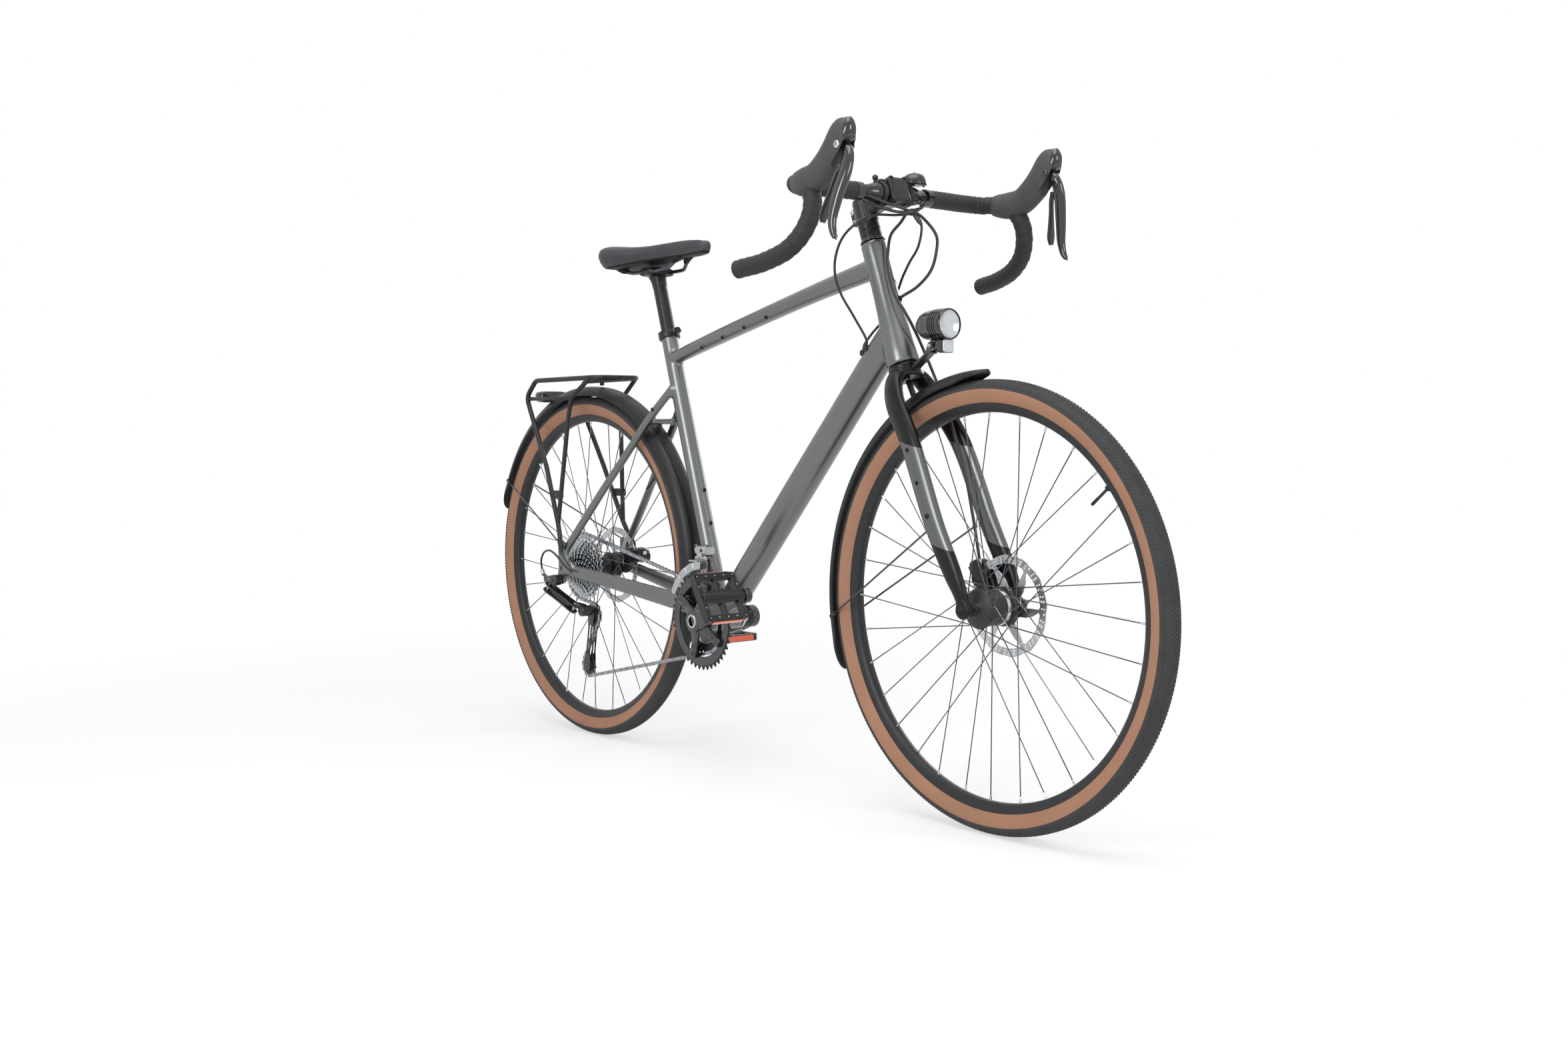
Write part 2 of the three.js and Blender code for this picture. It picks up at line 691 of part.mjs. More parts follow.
const railRoute = [
  [-236, -12, 955], [-258, -19, 939], [-268, -22, 937], [-367, -22, 937], [-378, -24, 938],
  [-401, -30, 944.5],
];

// Steering column

const headsetCoverRadius = 21;
const spacerRadius = 18;
const spacerStack = 36.6;
const steererSides = 12;
const crownLegs = [
  [380, 14, 714, 13, 15], [386, 31, 703, 12, 17], [401, 45, 672, 10.5, 19.5],
  [445, 55, 608.6, 10.5, 19.5], [506.7, 60, 475, 10, 18.5], [545, 60, 404, 9, 17],
  [560, 59, 374, 8, 13],
  [565, 57.4, 354, 6.6, 11],
];
const spacerEnd = headTubeLength + spacerStack;

function forkLeg(clearance = 0) {
  return tube(crownLegs.map(([x, y, z, side, deep]) => ({
    at: point(x, -y, z), side: side + clearance, deep: deep + clearance,
  })), staySides);
}

function fork() {
  const steerer = turned([
    [0, -crownDrop], [crownRaceRadius, -crownDrop], [crownRaceRadius, -2 * seatGap],
    [steererBaseRadius, -2 * seatGap], [steererBaseRadius, bearingDepth],
    [steererRadius, headTubeLength / 2], [steererRadius, spacerEnd + stemClampHeight - overrun],
    [0, spacerEnd + stemClampHeight - overrun],
  ], steererSides, headBottom, headUp);
  const middle = frontHubWidth / 2 + seatGap + forkDropoutThickness / 2;
  const hole = circle(frontAxle.x, frontAxle.z, holeRadius(axleRadius, bossSides + 2), bossSides + 2);
  const tip = plate(circle(frontAxle.x, frontAxle.z, forkDropoutRadius, tubeSides),
    forkDropoutThickness, -middle, [hole]);
  const bosses = forkBoss_shares.map(t => {
    const [a, b] = [crownLegs[3], crownLegs[4]];
    const spot = point(a[0], -a[1], a[2]).lerp(point(b[0], -b[1], b[2]), t);
    return boss(shifted(spot, 0, -legSide + bossHeight / 2, 0), point(0, -1, 0));
  });
  const axleHole = rod(shifted(frontAxle, 0, -legOffset * 2, 0), frontAxle,
    holeRadius(axleRadius, bossSides + 2), bossSides + 2);
  const side = cut(join(forkLeg(), tip, ...bosses), axleHole);
  return join(steerer, side, otherSide(side));
}

const forkBoss_shares = [0.12, 0.5, 0.88];

/** Dust cover, upper bearing sleeve and spacer stack round the steerer. */
function spacers() {
  const bore = holeRadius(steererRadius, steererSides);
  const top = headTubeLength;
  const sleeve = (upperBearingRadius - seatGap) * Math.cos(Math.PI / tubeSides) - seatGap;
  return turned([
    [bore, top - bearingDepth + seatGap], [sleeve, top - bearingDepth + seatGap],
    [sleeve, top + seatGap], [headsetCoverRadius, top + seatGap],
    [headsetCoverRadius, top + bearingDepth * 0.6], [spacerRadius, top + bearingDepth],
    [spacerRadius, spacerEnd - seatGap], [bore, spacerEnd - seatGap],
  ], steererSides, headBottom, headUp);
}

const stemClampHeight = 37;
const stemClampWall = 4.6;
const barClampWidth = 42;
const barClampWall = 4.4;
const stemEarDepth = 9;
const stemBoltRadius = 2.8;
const barCentre = point(350, 0, 1005);
const stemMiddle = onHeadAxis(headTubeLength + spacerStack + stemClampHeight / 2);
const stemAhead = barCentre.clone().sub(stemMiddle).normalize();
const stemUp = point(-stemAhead.z, 0, stemAhead.x);

function barClampRing(sides) {
  const half = shifted(barCentre, 0, barClampWidth / 2, 0);
  return rod(point(half.x, -half.y, half.z), half, barClampRadius + barClampWall, sides);
}

function barClampBore() {
  const half = shifted(barCentre, 0, barClampWidth, 0);
  return rod(point(half.x, -half.y, half.z), half,
    holeRadius(barClampRadius, barSides), barSides);
}

const clampSpan = 4 * (barClampRadius + barClampWall);
const aheadOfSplit = gap =>
  slab(along(barCentre, stemAhead, clampSpan / 2 + gap), stemAhead, clampSpan, clampSpan, clampSpan);
const behindSplit = gap =>
  slab(along(barCentre, stemAhead, -clampSpan / 2 + gap), stemAhead, clampSpan, clampSpan, clampSpan);

function stem() {
  const clamp = rod(onHeadAxis(spacerEnd), onHeadAxis(spacerEnd + stemClampHeight),
    steererRadius + stemClampWall, tubeSides + 2);
  const body = tube([[0, 0.85, 0.95], [0.4, 0.85, 0.85], [1, 1.05, 0.95]].map(([t, wide, tall]) => ({
    at: stemMiddle.clone().lerp(barCentre, t), side: wide * barClampRadius,
    deep: tall * barClampRadius,
  })), staySides);
  const ear = slab(along(stemMiddle, stemAhead, -steererRadius - stemEarDepth),
    stemAhead, 2 * stemEarDepth, 2 * stemEarDepth, stemClampHeight * 0.8);
  const bore = rod(onHeadAxis(spacerEnd - overrun), onHeadAxis(spacerEnd + stemClampHeight + overrun),
    holeRadius(steererRadius, steererSides), steererSides);
  return cut(join(clamp, body, ear, barClampRing(tubeSides)), bore, barClampBore(), aheadOfSplit(0));
}

function faceplate() {
  const bolts = [-1, 1].flatMap(side => [-1, 1].map(row => {
    const spot = along(barCentre, stemUp, row * (barClampRadius + barClampWall / 2))
      .setY(side * barClampWidth / 3);
    return rod(along(spot, stemAhead, seatGap), along(spot, stemAhead, barClampRadius),
      stemBoltRadius + barClampWall / 2, bossSides);
  }));
  return cut(join(barClampRing(tubeSides), ...bolts), barClampBore(), behindSplit(seatGap));
}

/** Cap on the steerer with the bolt that sets the bearings. */
const capHeight = 6;

function steererCap() {
  const base = spacerEnd + stemClampHeight;
  return turned([
    [0, base - overrun + seatGap], [steererRadius - stemClampWall / 2, base - overrun + seatGap],
    [steererRadius - stemClampWall / 2, base + seatGap], [spacerRadius, base + seatGap],
    [spacerRadius, base + capHeight * 0.6], [spacerRadius * 0.8, base + capHeight],
    [0, base + capHeight],
  ], steererSides, headBottom, headUp);
}

// Handlebar, tape, hoods and levers

const barSides = 8;
const barHalf = [
  [350, 0, 1005, 15.9], [350, 40, 1005, 15.9], [350, 58, 1005, 11.9], [347, 150, 1004, 11.9],
  [346, 187, 1004, 11.9], [354, 205, 1003, 11.9], [374, 213, 1002, 11.9], [396, 219, 997, 11.9],
  [415, 225, 982, 11.9], [423, 231, 955, 11.9], [413, 240, 922, 11.9], [385, 249, 897, 11.9],
  [340, 259, 882, 11.9], [289, 268, 875, 11.9],
];
const tapeFirst = 3;
const tapeEdge_share = 0.1;
const tapeFit = 0.36;
const plugLength = 4;
const barRight = barHalf.map(([x, y, z]) => point(x, -y, z));
const barLeft = barHalf.slice(1).map(([x, y, z]) => point(x, y, z));

function handlebar() {
  const radii = barHalf.map(p => p[3]);
  return rodAlong([...barRight.slice().reverse(), ...barLeft],
    [...radii.slice().reverse(), ...radii.slice(1)], barSides);
}

/** The route under the tape, from beyond the plug back to the inner edge. */
function tapeRoute(beyond, inner) {
  const last = barRight[barRight.length - 1];
  const onward = last.clone().sub(barRight[barRight.length - 2]).normalize();
  const edge = barRight[tapeFirst - 1].clone().lerp(barRight[tapeFirst], inner);
  return [along(last, onward, beyond), ...barRight.slice(tapeFirst).reverse().slice(beyond ? 0 : 1), edge];
}

/** The wound tape on the right half, closed at the end by the bar plug. */
function barTape() {
  return cut(rodAlong(tapeRoute(plugLength, tapeEdge_share), barRadius + tapeThickness, barSides),
    rodAlong(tapeRoute(seatGap, tapeEdge_share / 2), barRadius + tapeFit, barSides));
}

const hoodRoute = [
  [377, 214, 1001, 18.5, 19], [400, 221, 999, 19.5, 22], [425, 224, 1003, 17.5, 22],
  [448, 224, 1017, 16.5, 23], [468, 224, 1035, 16.5, 24], [482, 224, 1052, 16, 25],
  [489, 224, 1067, 14, 19], [493, 224, 1077, 9, 10],
];
const leverSlotHalf = 8.6;
const leverSlot = [[480, 1000], [540, 1000], [540, 1049.4], [488, 1049.4], [478.6, 1040]];
const leverY = 224;
const leverPivot = [489, 1041];
const leverRoute = [
  [492, 224, 1042, 7, 7], [500, 225, 1028, 7.6, 9], [502, 230, 1009, 8, 10.5],
  [494, 243, 962, 7.4, 9.5], [490, 249, 930, 6.2, 7.5], [494, 250.5, 911, 5, 5.5],
  [501, 251, 901, 3.5, 3.5],
];
const paddleRoute = [
  [487.9, 231, 1008, 4, 4], [483, 233, 1000, 4.5, 2.8], [478, 238, 980, 5, 2.6], [473, 243, 958, 7, 2.4],
  [469, 247, 940, 8.5, 2.2], [468, 249, 929, 5, 2],
];
const rightSide = ([x, y, z, side, deep]) => ({ at: point(x, -y, z), side, deep });

function hood() {
  const body = tube(hoodRoute.map(rightSide), staySides);
  const wound = rodAlong(tapeRoute(overrun, tapeEdge_share),
    barRadius + tapeThickness + tapeFit, barSides);
  return cut(body, wound, plate(leverSlot.slice().reverse(), 2 * leverSlotHalf, -leverY));
}

function lever() {
  const [x, z] = leverPivot;
  const barrel = rod(point(x, -leverY - leverSlotHalf + 2 * runGap, z),
    point(x, -leverY + leverSlotHalf - 2 * runGap, z), 6.4, bossSides + 2);
  return join(tube(leverRoute.map(rightSide), bossSides + 2), barrel);
}

function paddle() {
  return tube(paddleRoute.map(rightSide), bossSides);
}

// Bell and accessory clamp on the bar

const bellRadius = 19;
const bellBase = [352, 47, 1023.5];
const bell_shares = [[0, 0], [1.02, 0], [1, 0.16], [0.88, 0.55], [0.6, 0.82], [0, 0.92]];
const clampRingStart = 24;
const clampRingWidth = 8;
const clampRingWall = 3.4;

function barRing(side) {
  const from = point(barCentre.x, side * clampRingStart, barCentre.z);
  const to = shifted(from, 0, side * clampRingWidth, 0);
  return cut(rod(from, to, barClampRadius + clampRingWall, tubeSides),
    rod(shifted(from, 0, -side * overrun, 0), shifted(to, 0, side * overrun, 0),
      holeRadius(barClampRadius, barSides), barSides));
}

function bell() {
  const dome = turned(bell_shares.map(([r, t]) => [r * bellRadius, t * bellRadius]),
    tubeSides, point(...bellBase), UP);
  const foot = block(point(345, clampRingStart, 1021.5), point(359, 44, 1026));
  return join(barRing(1), foot, dome);
}

function accessoryClamp() {
  const foot = block(point(338, -clampRingStart - clampRingWidth, 1021.5),
    point(358, -clampRingStart, 1027));
  const ball = turned([[0, -5], [3.6, -3.6], [5, 0], [3.6, 3.6], [0, 5]], bossSides + 2,
    point(340, -28, 1031), UP);
  const pod = tube([[330, -30, 981, 6, 4], [345, -30, 983, 7, 5], [357, -30, 984, 5, 4]]
    .map(([x, y, z, side, deep]) => ({ at: point(x, y, z), side, deep })), bossSides + 2);
  return join(barRing(-1), foot, ball, pod);
}

// Wheels

const flats = wheelSides => 1 / Math.cos(Math.PI / wheelSides);
const rimInner = rimRadius - rimDepth;

function tyre(axle) {
  const half = tyreWidth / 2;
  const section = [
    [beadRadius + seatGap, 8.1], [332, half], [345, 0.72 * half], [tyreRadius, 0.26 * half],
  ];
  const profile = [...section.map(([r, y]) => [r, -y]), ...section.slice().reverse()];
  return turned(profile.map(([r, y]) => [r * flats(wheelSides), y]), wheelSides, axle, LEFT, true);
}

function rim(axle) {
  const section = [[rimInner, 6], [rimRadius, rimWidth / 2], [beadRadius, 8.6]];
  const profile = [...section.map(([r, y]) => [r, -y]), ...section.slice().reverse()];
  const hoop = turned(profile.map(([r, y]) => [r * flats(wheelSides), y]), wheelSides, axle, LEFT, true);
  const outward = point(Math.cos(radians(valveAngle)), 0, Math.sin(radians(valveAngle)));
  return join(hoop, rod(along(axle, outward, rimInner - valveLength), along(axle, outward, rimInner + rimWall),
    valveRadius, bossSides));
}

const valveAngle = 39.4;
const spokeEndRadius = rimInner - 1.4 * seatGap;
const spokeEndOffset = 2;

/** Crossed spokes from one flange to the rim. */
function spokes(axle, flangeY, flangeRadius, phase) {
  const perSide = spokeCount / 2;
  return Array.from({ length: perSide }, (_, i) => {
    const swing = (i % 2 ? -1 : 1) * spokeCrossings * 2 * Math.PI / perSide;
    const rimAngle = phase + i * 2 * Math.PI / perSide;
    const from = point(axle.x + flangeRadius * Math.cos(rimAngle + swing),
      flangeY + (i % 2 ? -1 : 1) * spokeStagger, axle.z + flangeRadius * Math.sin(rimAngle + swing));
    const to = point(axle.x + spokeEndRadius * Math.cos(rimAngle),
      Math.sign(flangeY) * spokeEndOffset, axle.z + spokeEndRadius * Math.sin(rimAngle));
    return rod(from, to, spokeRadius, 3);
  });
}

const discSeatRadius = discBoreRadius - 2 * seatGap;
const lockringRadius = 18;

function hub(axle, profile, flanges) {
  const step = Math.PI / spokeCount;
  const laced = flanges.flatMap(([y, r], i) =>
    spokes(axle, y, r - flangeThickness / 2, i * 2 * step));
  return join(turned(profile, hubSides, axle), ...laced);
}

function frontHub() {
  const bore = holeRadius(axleRadius, bossSides + 2);
  const end = frontHubWidth / 2 - seatGap;
  const disc = discThickness / 2 + seatGap;
  const half = flangeThickness / 2;
  return hub(frontAxle, [
    [bore, -end], [hubEndRadius, -end], [hubEndRadius, -frontFlangeOffset - 3 * half],
    [frontFlangeRadius, -frontFlangeOffset - half], [frontFlangeRadius, -frontFlangeOffset + half],
    [frontShellRadius, -frontFlangeOffset + 2 * half], [frontShellRadius, frontFlangeOffset - 2 * half],
    [frontFlangeRadius, frontFlangeOffset - half], [frontFlangeRadius, frontFlangeOffset + half],
    [discCarrierRadius, frontDiscOffset - disc], [discSeatRadius, frontDiscOffset - disc],
    [discSeatRadius, frontDiscOffset + disc], [lockringRadius, frontDiscOffset + disc],
    [lockringRadius, frontDiscOffset + 2 * disc], [hubEndRadius, frontDiscOffset + 2 * disc],
    [hubEndRadius, end], [bore, end],
  ], [[-frontFlangeOffset, frontFlangeRadius], [frontFlangeOffset, frontFlangeRadius]]);
}

function rearHub() {
  const bore = holeRadius(axleRadius, bossSides + 2);
  const end = rearHubWidth / 2 - seatGap;
  const disc = discThickness / 2 + seatGap;
  const half = flangeThickness / 2;
  return hub(rearAxle, [
    [bore, -freehubStart + runGap], [rearFlangeRadius, -freehubStart + runGap],
    [rearFlangeRadius, -rearRightFlange + half], [rearShellRadius, -rearRightFlange + 2 * half],
    [rearShellRadius, rearLeftFlange - 2 * half], [rearFlangeRadius, rearLeftFlange - half],
    [rearFlangeRadius, rearLeftFlange + half], [rearShellRadius, rearLeftFlange + 2 * half],
    [discCarrierRadius, rearDiscOffset - disc], [discSeatRadius, rearDiscOffset - disc],
    [discSeatRadius, rearDiscOffset + disc], [lockringRadius, rearDiscOffset + disc],
    [lockringRadius, rearDiscOffset + 2 * disc], [hubEndRadius, rearDiscOffset + 2 * disc],
    [hubEndRadius, end], [bore, end],
  ], [[-rearRightFlange, rearFlangeRadius], [rearLeftFlange, rearFlangeRadius]]);
}

const freehubStart = 20;
const petals = 12;
const disc_shares = [[0, 1], [0.4, 0.995], [0.7, 0.965]];

function brakeDisc(axle, offset) {
  const outline = Array.from({ length: petals }, (_, i) => disc_shares.map(([t, r]) => {
    const angle = (i + t) * 2 * Math.PI / petals;
    return [axle.x + r * discRadius * Math.cos(angle), axle.z + r * discRadius * Math.sin(angle)];
  })).flat();
  const bandInner = discRadius - discBandWidth;
  const windows = Array.from({ length: petals / 2 }, (_, i) => {
    const corner_shares = [[0.06, 0], [0.5, 0], [0.92, 0], [0.7, 1], [0.1, 1]];
    return corner_shares.map(([t, r]) => {
      const angle = (i + t - 0.25 * (1 - r)) * 4 * Math.PI / petals;
      const radius = mix(bandInner, discCarrierRadius + discBandWidth / 4, r);
      return [axle.x + radius * Math.cos(angle), axle.z + radius * Math.sin(angle)];
    });
  });
  const bore = circle(axle.x, axle.z, discBoreRadius, hubSides);
  return plate(outline, discThickness, offset, [bore, ...windows]);
}

/** A through axle along +Y with its bolt head on the left. */
function throughAxle(axle, hubWidth, legWidth) {
  const face = hubWidth / 2 + seatGap + legWidth;
  const head = axleHeadRadius;
  return turned([
    [0, -face], [axleRadius, -face], [axleRadius, face + seatGap],
    [head, face + seatGap], [head, face + axleHeadLength],
    [head / 2, face + axleHeadLength], [head / 2, face + axleHeadLength / 2],
    [0, face + axleHeadLength / 2],
  ], bossSides + 2, axle);
}

// Callipers

/** A brake block round the disc, with its foot shaped to the tube it stands on. */
function calliper(axle, centre, direction, discOffset, support) {
  const body = slab(centre, direction, calliperLength, calliperWidth, calliperHeight);
  const bulge = rod(shifted(centre, 0, -calliperWidth / 2, 0), shifted(centre, 0, calliperWidth / 2, 0),
    calliperHeight * 0.62, tubeSides);
  const half = discThickness / 2 + padGap;
  const slot = rod(shifted(axle, 0, discOffset - half, 0), shifted(axle, 0, discOffset + half, 0),
    discRadius + overrun, hubSides * 2);
  return cut(join(body, bulge), slot, support);
}

const frontCalliperAt = [513, 42.5, 391];
const rearCalliperAt = [-497, 59.5, 373];

function frontCalliper() {
  const [, , , lower, foot] = crownLegs.map(([x, , z]) => point(x, 0, z));
  return calliper(frontAxle, point(...frontCalliperAt), lower.sub(foot).normalize(),
    frontDiscOffset, otherSide(forkLeg(2 * seatGap)));
}

function rearCalliper() {
  return calliper(rearAxle, point(...rearCalliperAt), point(1, 0, -0.09), rearDiscOffset,
    otherSide(chainstay(2 * seatGap)));
}

// Rear gears and chain

const chainPitch = 12.7;
const cogTeeth = [34, 30, 27, 25, 23, 21, 19, 17, 15, 13, 11];
const cogSpacing = 3.9;
const firstCogOffset = 24.6;
const cogThickness = 1.8;
const cogCoreRadius = 17.6;
const cogSides = 12;
const ringOffset = 43;
const outerRingOffset = 50;
const ringTeeth = 30;
const outerRingTeeth = 44;
const ringBodyThickness = 3;
const pulleyTeeth = 11;
const chainHeight = 8.2;
const chainWidth = 5.5;
const chainPlate = 1.4;
const pinWidth = 4.4;
const toothHeight = 3.4;
const toothRoot = 3.2;
const pitchRadius = teeth => chainPitch / (2 * Math.sin(Math.PI / teeth));
const gulletRadius = teeth => pitchRadius(teeth) * Math.cos(Math.PI / teeth) - chainHeight / 2 - runGap;

const guidePulleyAt = [-532, 253];
const tensionPulleyAt = [-552, 147];

/** Outline of a toothed wheel whose first tooth points at an angle. */
function toothed(centre, teeth, phase, valley, section) {
  const tip = pitchRadius(teeth) + toothHeight;
  return Array.from({ length: teeth }, (_, i) => {
    const middle = phase + i * 2 * Math.PI / teeth;
    return section.map(([height, w]) => {
      const r = mix(valley, tip, height);
      return [
        centre.x + r * Math.cos(middle) - w * Math.sin(middle),
        centre.z + r * Math.sin(middle) + w * Math.cos(middle),
      ];
    });
  }).flat();
}

const fullTooth = [[0, -toothRoot], [1, 0], [0, toothRoot]];
const plainTooth = [[0, -toothRoot], [1, 0]];
const guidePulley = point(guidePulleyAt[0], 0, guidePulleyAt[1]);
const tensionPulley = point(tensionPulleyAt[0], 0, tensionPulleyAt[1]);
const sprockets = [
  { at: bottomBracket, teeth: ringTeeth, turn: 1, y: -ringOffset },
  { at: tensionPulley, teeth: pulleyTeeth, turn: 1, y: -firstCogOffset },
  { at: guidePulley, teeth: pulleyTeeth, turn: -1, y: -firstCogOffset },
  { at: rearAxle, teeth: cogTeeth[0], turn: 1, y: -firstCogOffset },
];

/** Where the straight run leaves one sprocket and meets the next. */
function tangent(a, b) {
  const ra = a.turn * pitchRadius(a.teeth);
  const rb = b.turn * pitchRadius(b.teeth);
  const gap = b.at.clone().sub(a.at);
  const angle = Math.atan2(gap.z, gap.x) + Math.acos((ra - rb) / gap.length());
  const normal = point(Math.cos(angle), 0, Math.sin(angle));
  return { leave: along(a.at, normal, ra), meet: along(b.at, normal, rb) };
}

const angleOn = (sprocket, p) => Math.atan2(p.z - sprocket.at.z, p.x - sprocket.at.x);

/** The loop of the chain as wraps and straight runs, each with its length in chain. */
function chainRuns() {
  const runs = sprockets.map((s, i) => tangent(s, sprockets[(i + 1) % sprockets.length]));
  return sprockets.flatMap((s, i) => {
    const start = angleOn(s, runs[(i + sprockets.length - 1) % sprockets.length].meet);
    const full = 2 * Math.PI;
    const sweep = (((start - angleOn(s, runs[i].leave)) * s.turn) % full + full) % full;
    const next = sprockets[(i + 1) % sprockets.length];
    const { leave, meet } = runs[i];
    return [
      { length: sweep * s.teeth * chainPitch / full, sprocket: s, start, sweep },
      { length: leave.distanceTo(meet), leave: leave.setY(s.y), meet: meet.setY(next.y) },
    ];
  });
}

/** Straight runs keep in line with a sprocket near it and shift across in between. */
function onRun(run, share) {
  if (run.sprocket) {
    const angle = run.start - run.sprocket.turn * run.sweep * share;
    const r = pitchRadius(run.sprocket.teeth);
    return point(run.sprocket.at.x + r * Math.cos(angle), run.sprocket.y,
      run.sprocket.at.z + r * Math.sin(angle));
  }
  const crossing = THREE.MathUtils.clamp((share - straight_share) / (1 - 2 * straight_share), 0, 1);
  return run.leave.clone().lerp(run.meet, share).setY(mix(run.leave.y, run.meet.y, crossing));
}

const straight_share = 0.1;

/** Pins of the closed chain, one pitch apart, and the sprocket each lies on. */
function chainPins() {
  const runs = chainRuns();
  const total = runs.reduce((sum, run) => sum + run.length, 0);
  const links = 2 * Math.round(total / chainPitch / 2);
  return Array.from({ length: links }, (_, k) => {
    let left = (k + 0.5) * total / links;
    const run = runs.find(r => {
      if (left <= r.length) return true;
      left -= r.length;
      return false;
    });
    return { at: onRun(run, left / run.length), sprocket: run.sprocket };
  });
}

const pins = chainPins();

/** The angle of a tooth that stands in the middle of the wrap on a sprocket. */
function toothAngle(sprocket) {
  const wrapped = pins.filter(pin => pin.sprocket === sprocket);
  const middle = Math.floor(wrapped.length / 2);
  const [a, b] = [wrapped[middle - 1].at, wrapped[middle].at];
  return angleOn(sprocket, a.clone().add(b).multiplyScalar(1 / 2));
}

const sprocketPlate = (sprocket, thickness, section, holes) => plate(
  toothed(sprocket.at, sprocket.teeth, toothAngle(sprocket), gulletRadius(sprocket.teeth), section),
  thickness, sprocket.y, holes);

/** Side plates and rollers as one band, opened between the pins where teeth enter it. */
function chain() {
  const count = pins.length;
  const rings = pins.map(({ at }, i) => {
    const ahead = pins[(i + 1) % count].at.clone().sub(pins[(i + count - 1) % count].at).normalize();
    const across = LEFT.clone().addScaledVector(ahead, -ahead.y).normalize();
    const upward = ahead.clone().cross(across);
    return [[-1, -1], [1, -1], [1, 1], [-1, 1]].map(([y, z]) => at.clone()
      .addScaledVector(across, y * chainWidth / 2).addScaledVector(upward, z * chainHeight / 2));
  });
  const windows = pins.flatMap(({ at }, i) => {
    const next = pins[(i + 1) % count].at;
    const middle = at.clone().lerp(next, 1 / 2);
    const near = sprockets.some(s => Math.hypot(middle.x - s.at.x, middle.z - s.at.z)
      < pitchRadius(s.teeth) + toothHeight + chainHeight / 2);
    const span = next.clone().sub(at);
    const open = [span.length() - pinWidth, chainWidth - 2 * chainPlate, chainHeight + 2 * overrun];
    return near ? [slab(middle, span, ...open)] : [];
  });
  return cut(closedLoft(rings), ...windows);
}

/** Skins a closed loop of rings. */
function closedLoft(rings) {
  const count = rings[0].length;
  const index = rings.flatMap((_, r) => Array.from({ length: count }, (_, i) => {
    const next = (r + 1) % rings.length;
    const [a, b] = [r * count + i, r * count + (i + 1) % count];
    const [c, d] = [next * count + (i + 1) % count, next * count + i];
    return [a, b, c, a, c, d];
  }).flat());
  const geometry = new THREE.BufferGeometry();
  geometry.setAttribute('position',
    new THREE.Float32BufferAttribute(rings.flat().flatMap(p => p.toArray()), 3));
  geometry.setIndex(index);
  return geometry;
}

function cassette() {
  const bore = holeRadius(axleRadius, bossSides + 2);
  const end = rearHubWidth / 2 - seatGap;
  const lastCog = firstCogOffset + cogSpacing * (cogTeeth.length - 1) + 2 * cogThickness;
  const core = turned([
    [bore, -end], [hubEndRadius, -end], [hubEndRadius, -lastCog], [cogCoreRadius, -lastCog],
    [cogCoreRadius, -freehubStart], [bore, -freehubStart],
  ], cogSides, rearAxle);
  const hole = circle(rearAxle.x, rearAxle.z, cogCoreRadius - rimWall, bossSides);
  const cogs = cogTeeth.slice(1).map((teeth, i) => {
    const outline = circle(rearAxle.x, rearAxle.z, pitchRadius(teeth) + cogThickness, cogSides);
    return plate(outline, cogThickness, -firstCogOffset - cogSpacing * (i + 1), [hole]);
  });
  return join(core, sprocketPlate(sprockets[3], cogThickness, fullTooth, [hole]), ...cogs);
}

// Cranks and pedals

const crankLength = 175;
const crankAngle = 20;
const spiderAngles = [72.5, 147.5, -107.5, -32.5];
const spindleRadius = 12;
const spindleEnd = 66;
const spiderInner = outerRingOffset + cogThickness / 2 + seatGap;
const spiderReach = 74;
const spiderWidth = 17;
const spiderThickness = 8;
const ringBoltRadius = 4.4;
const ringBoltCircle = 51;
const outerRingBore = 67;
const innerRingBore = 43;
const crankStations = [
  [0, 64, 8.5, 21], [0.2, 65, 8, 18], [0.5, 68, 6.5, 14], [1, 73, 6.5, 13.5],
];
const crankEndSides = 12;
const pedalHoleRadius = 5.2;

const crankAhead = point(Math.cos(radians(crankAngle)), 0, Math.sin(radians(crankAngle)));
const rightPedalAxis = along(bottomBracket, crankAhead, crankLength);
const leftPedalAxis = along(bottomBracket, crankAhead, -crankLength);

/** An arm on the right side of the bicycle, pointing along a direction. */
function crankArm(direction) {
  const arm = tube(crankStations.map(([t, y, side, deep]) => ({
    at: along(bottomBracket, direction, t * crankLength).setY(-y), side, deep,
  })), staySides, 0.7);
  const [, first, thick, wide] = crankStations[0];
  const [, last, tipThick, tipWide] = crankStations[crankStations.length - 1];
  const tip = along(bottomBracket, direction, crankLength);
  const boss = rod(shifted(bottomBracket, 0, -first - thick, 0),
    shifted(bottomBracket, 0, -first + thick, 0), wide, crankEndSides);
  const eye = rod(shifted(tip, 0, -last - tipThick, 0), shifted(tip, 0, -last + tipThick, 0),
    tipWide, crankEndSides);
  const hole = rod(shifted(tip, 0, -last - spiderInner, 0), shifted(tip, 0, -last + spiderInner, 0),
    holeRadius(pedalHoleRadius, bossSides + 2), bossSides + 2);
  return cut(join(arm, boss, eye), hole);
}

const spiderArm = (angle, y, from, to, width, thickness) => {
  const direction = point(Math.cos(radians(angle)), 0, Math.sin(radians(angle)));
  return slab(along(bottomBracket, direction, (from + to) / 2).setY(-y), direction,
    to - from, thickness, width);
};

function crankRight() {
  const spider = spiderAngles.map(angle => spiderArm(angle, spiderInner + spiderThickness / 2,
    0, spiderReach, spiderWidth, spiderThickness));
  const spindle = rod(shifted(bottomBracket, 0, -spiderInner - spiderThickness, 0),
    shifted(bottomBracket, 0, spindleEnd + spiderThickness, 0), spindleRadius, crankEndSides);
  return join(crankArm(crankAhead), ...spider, spindle);
}

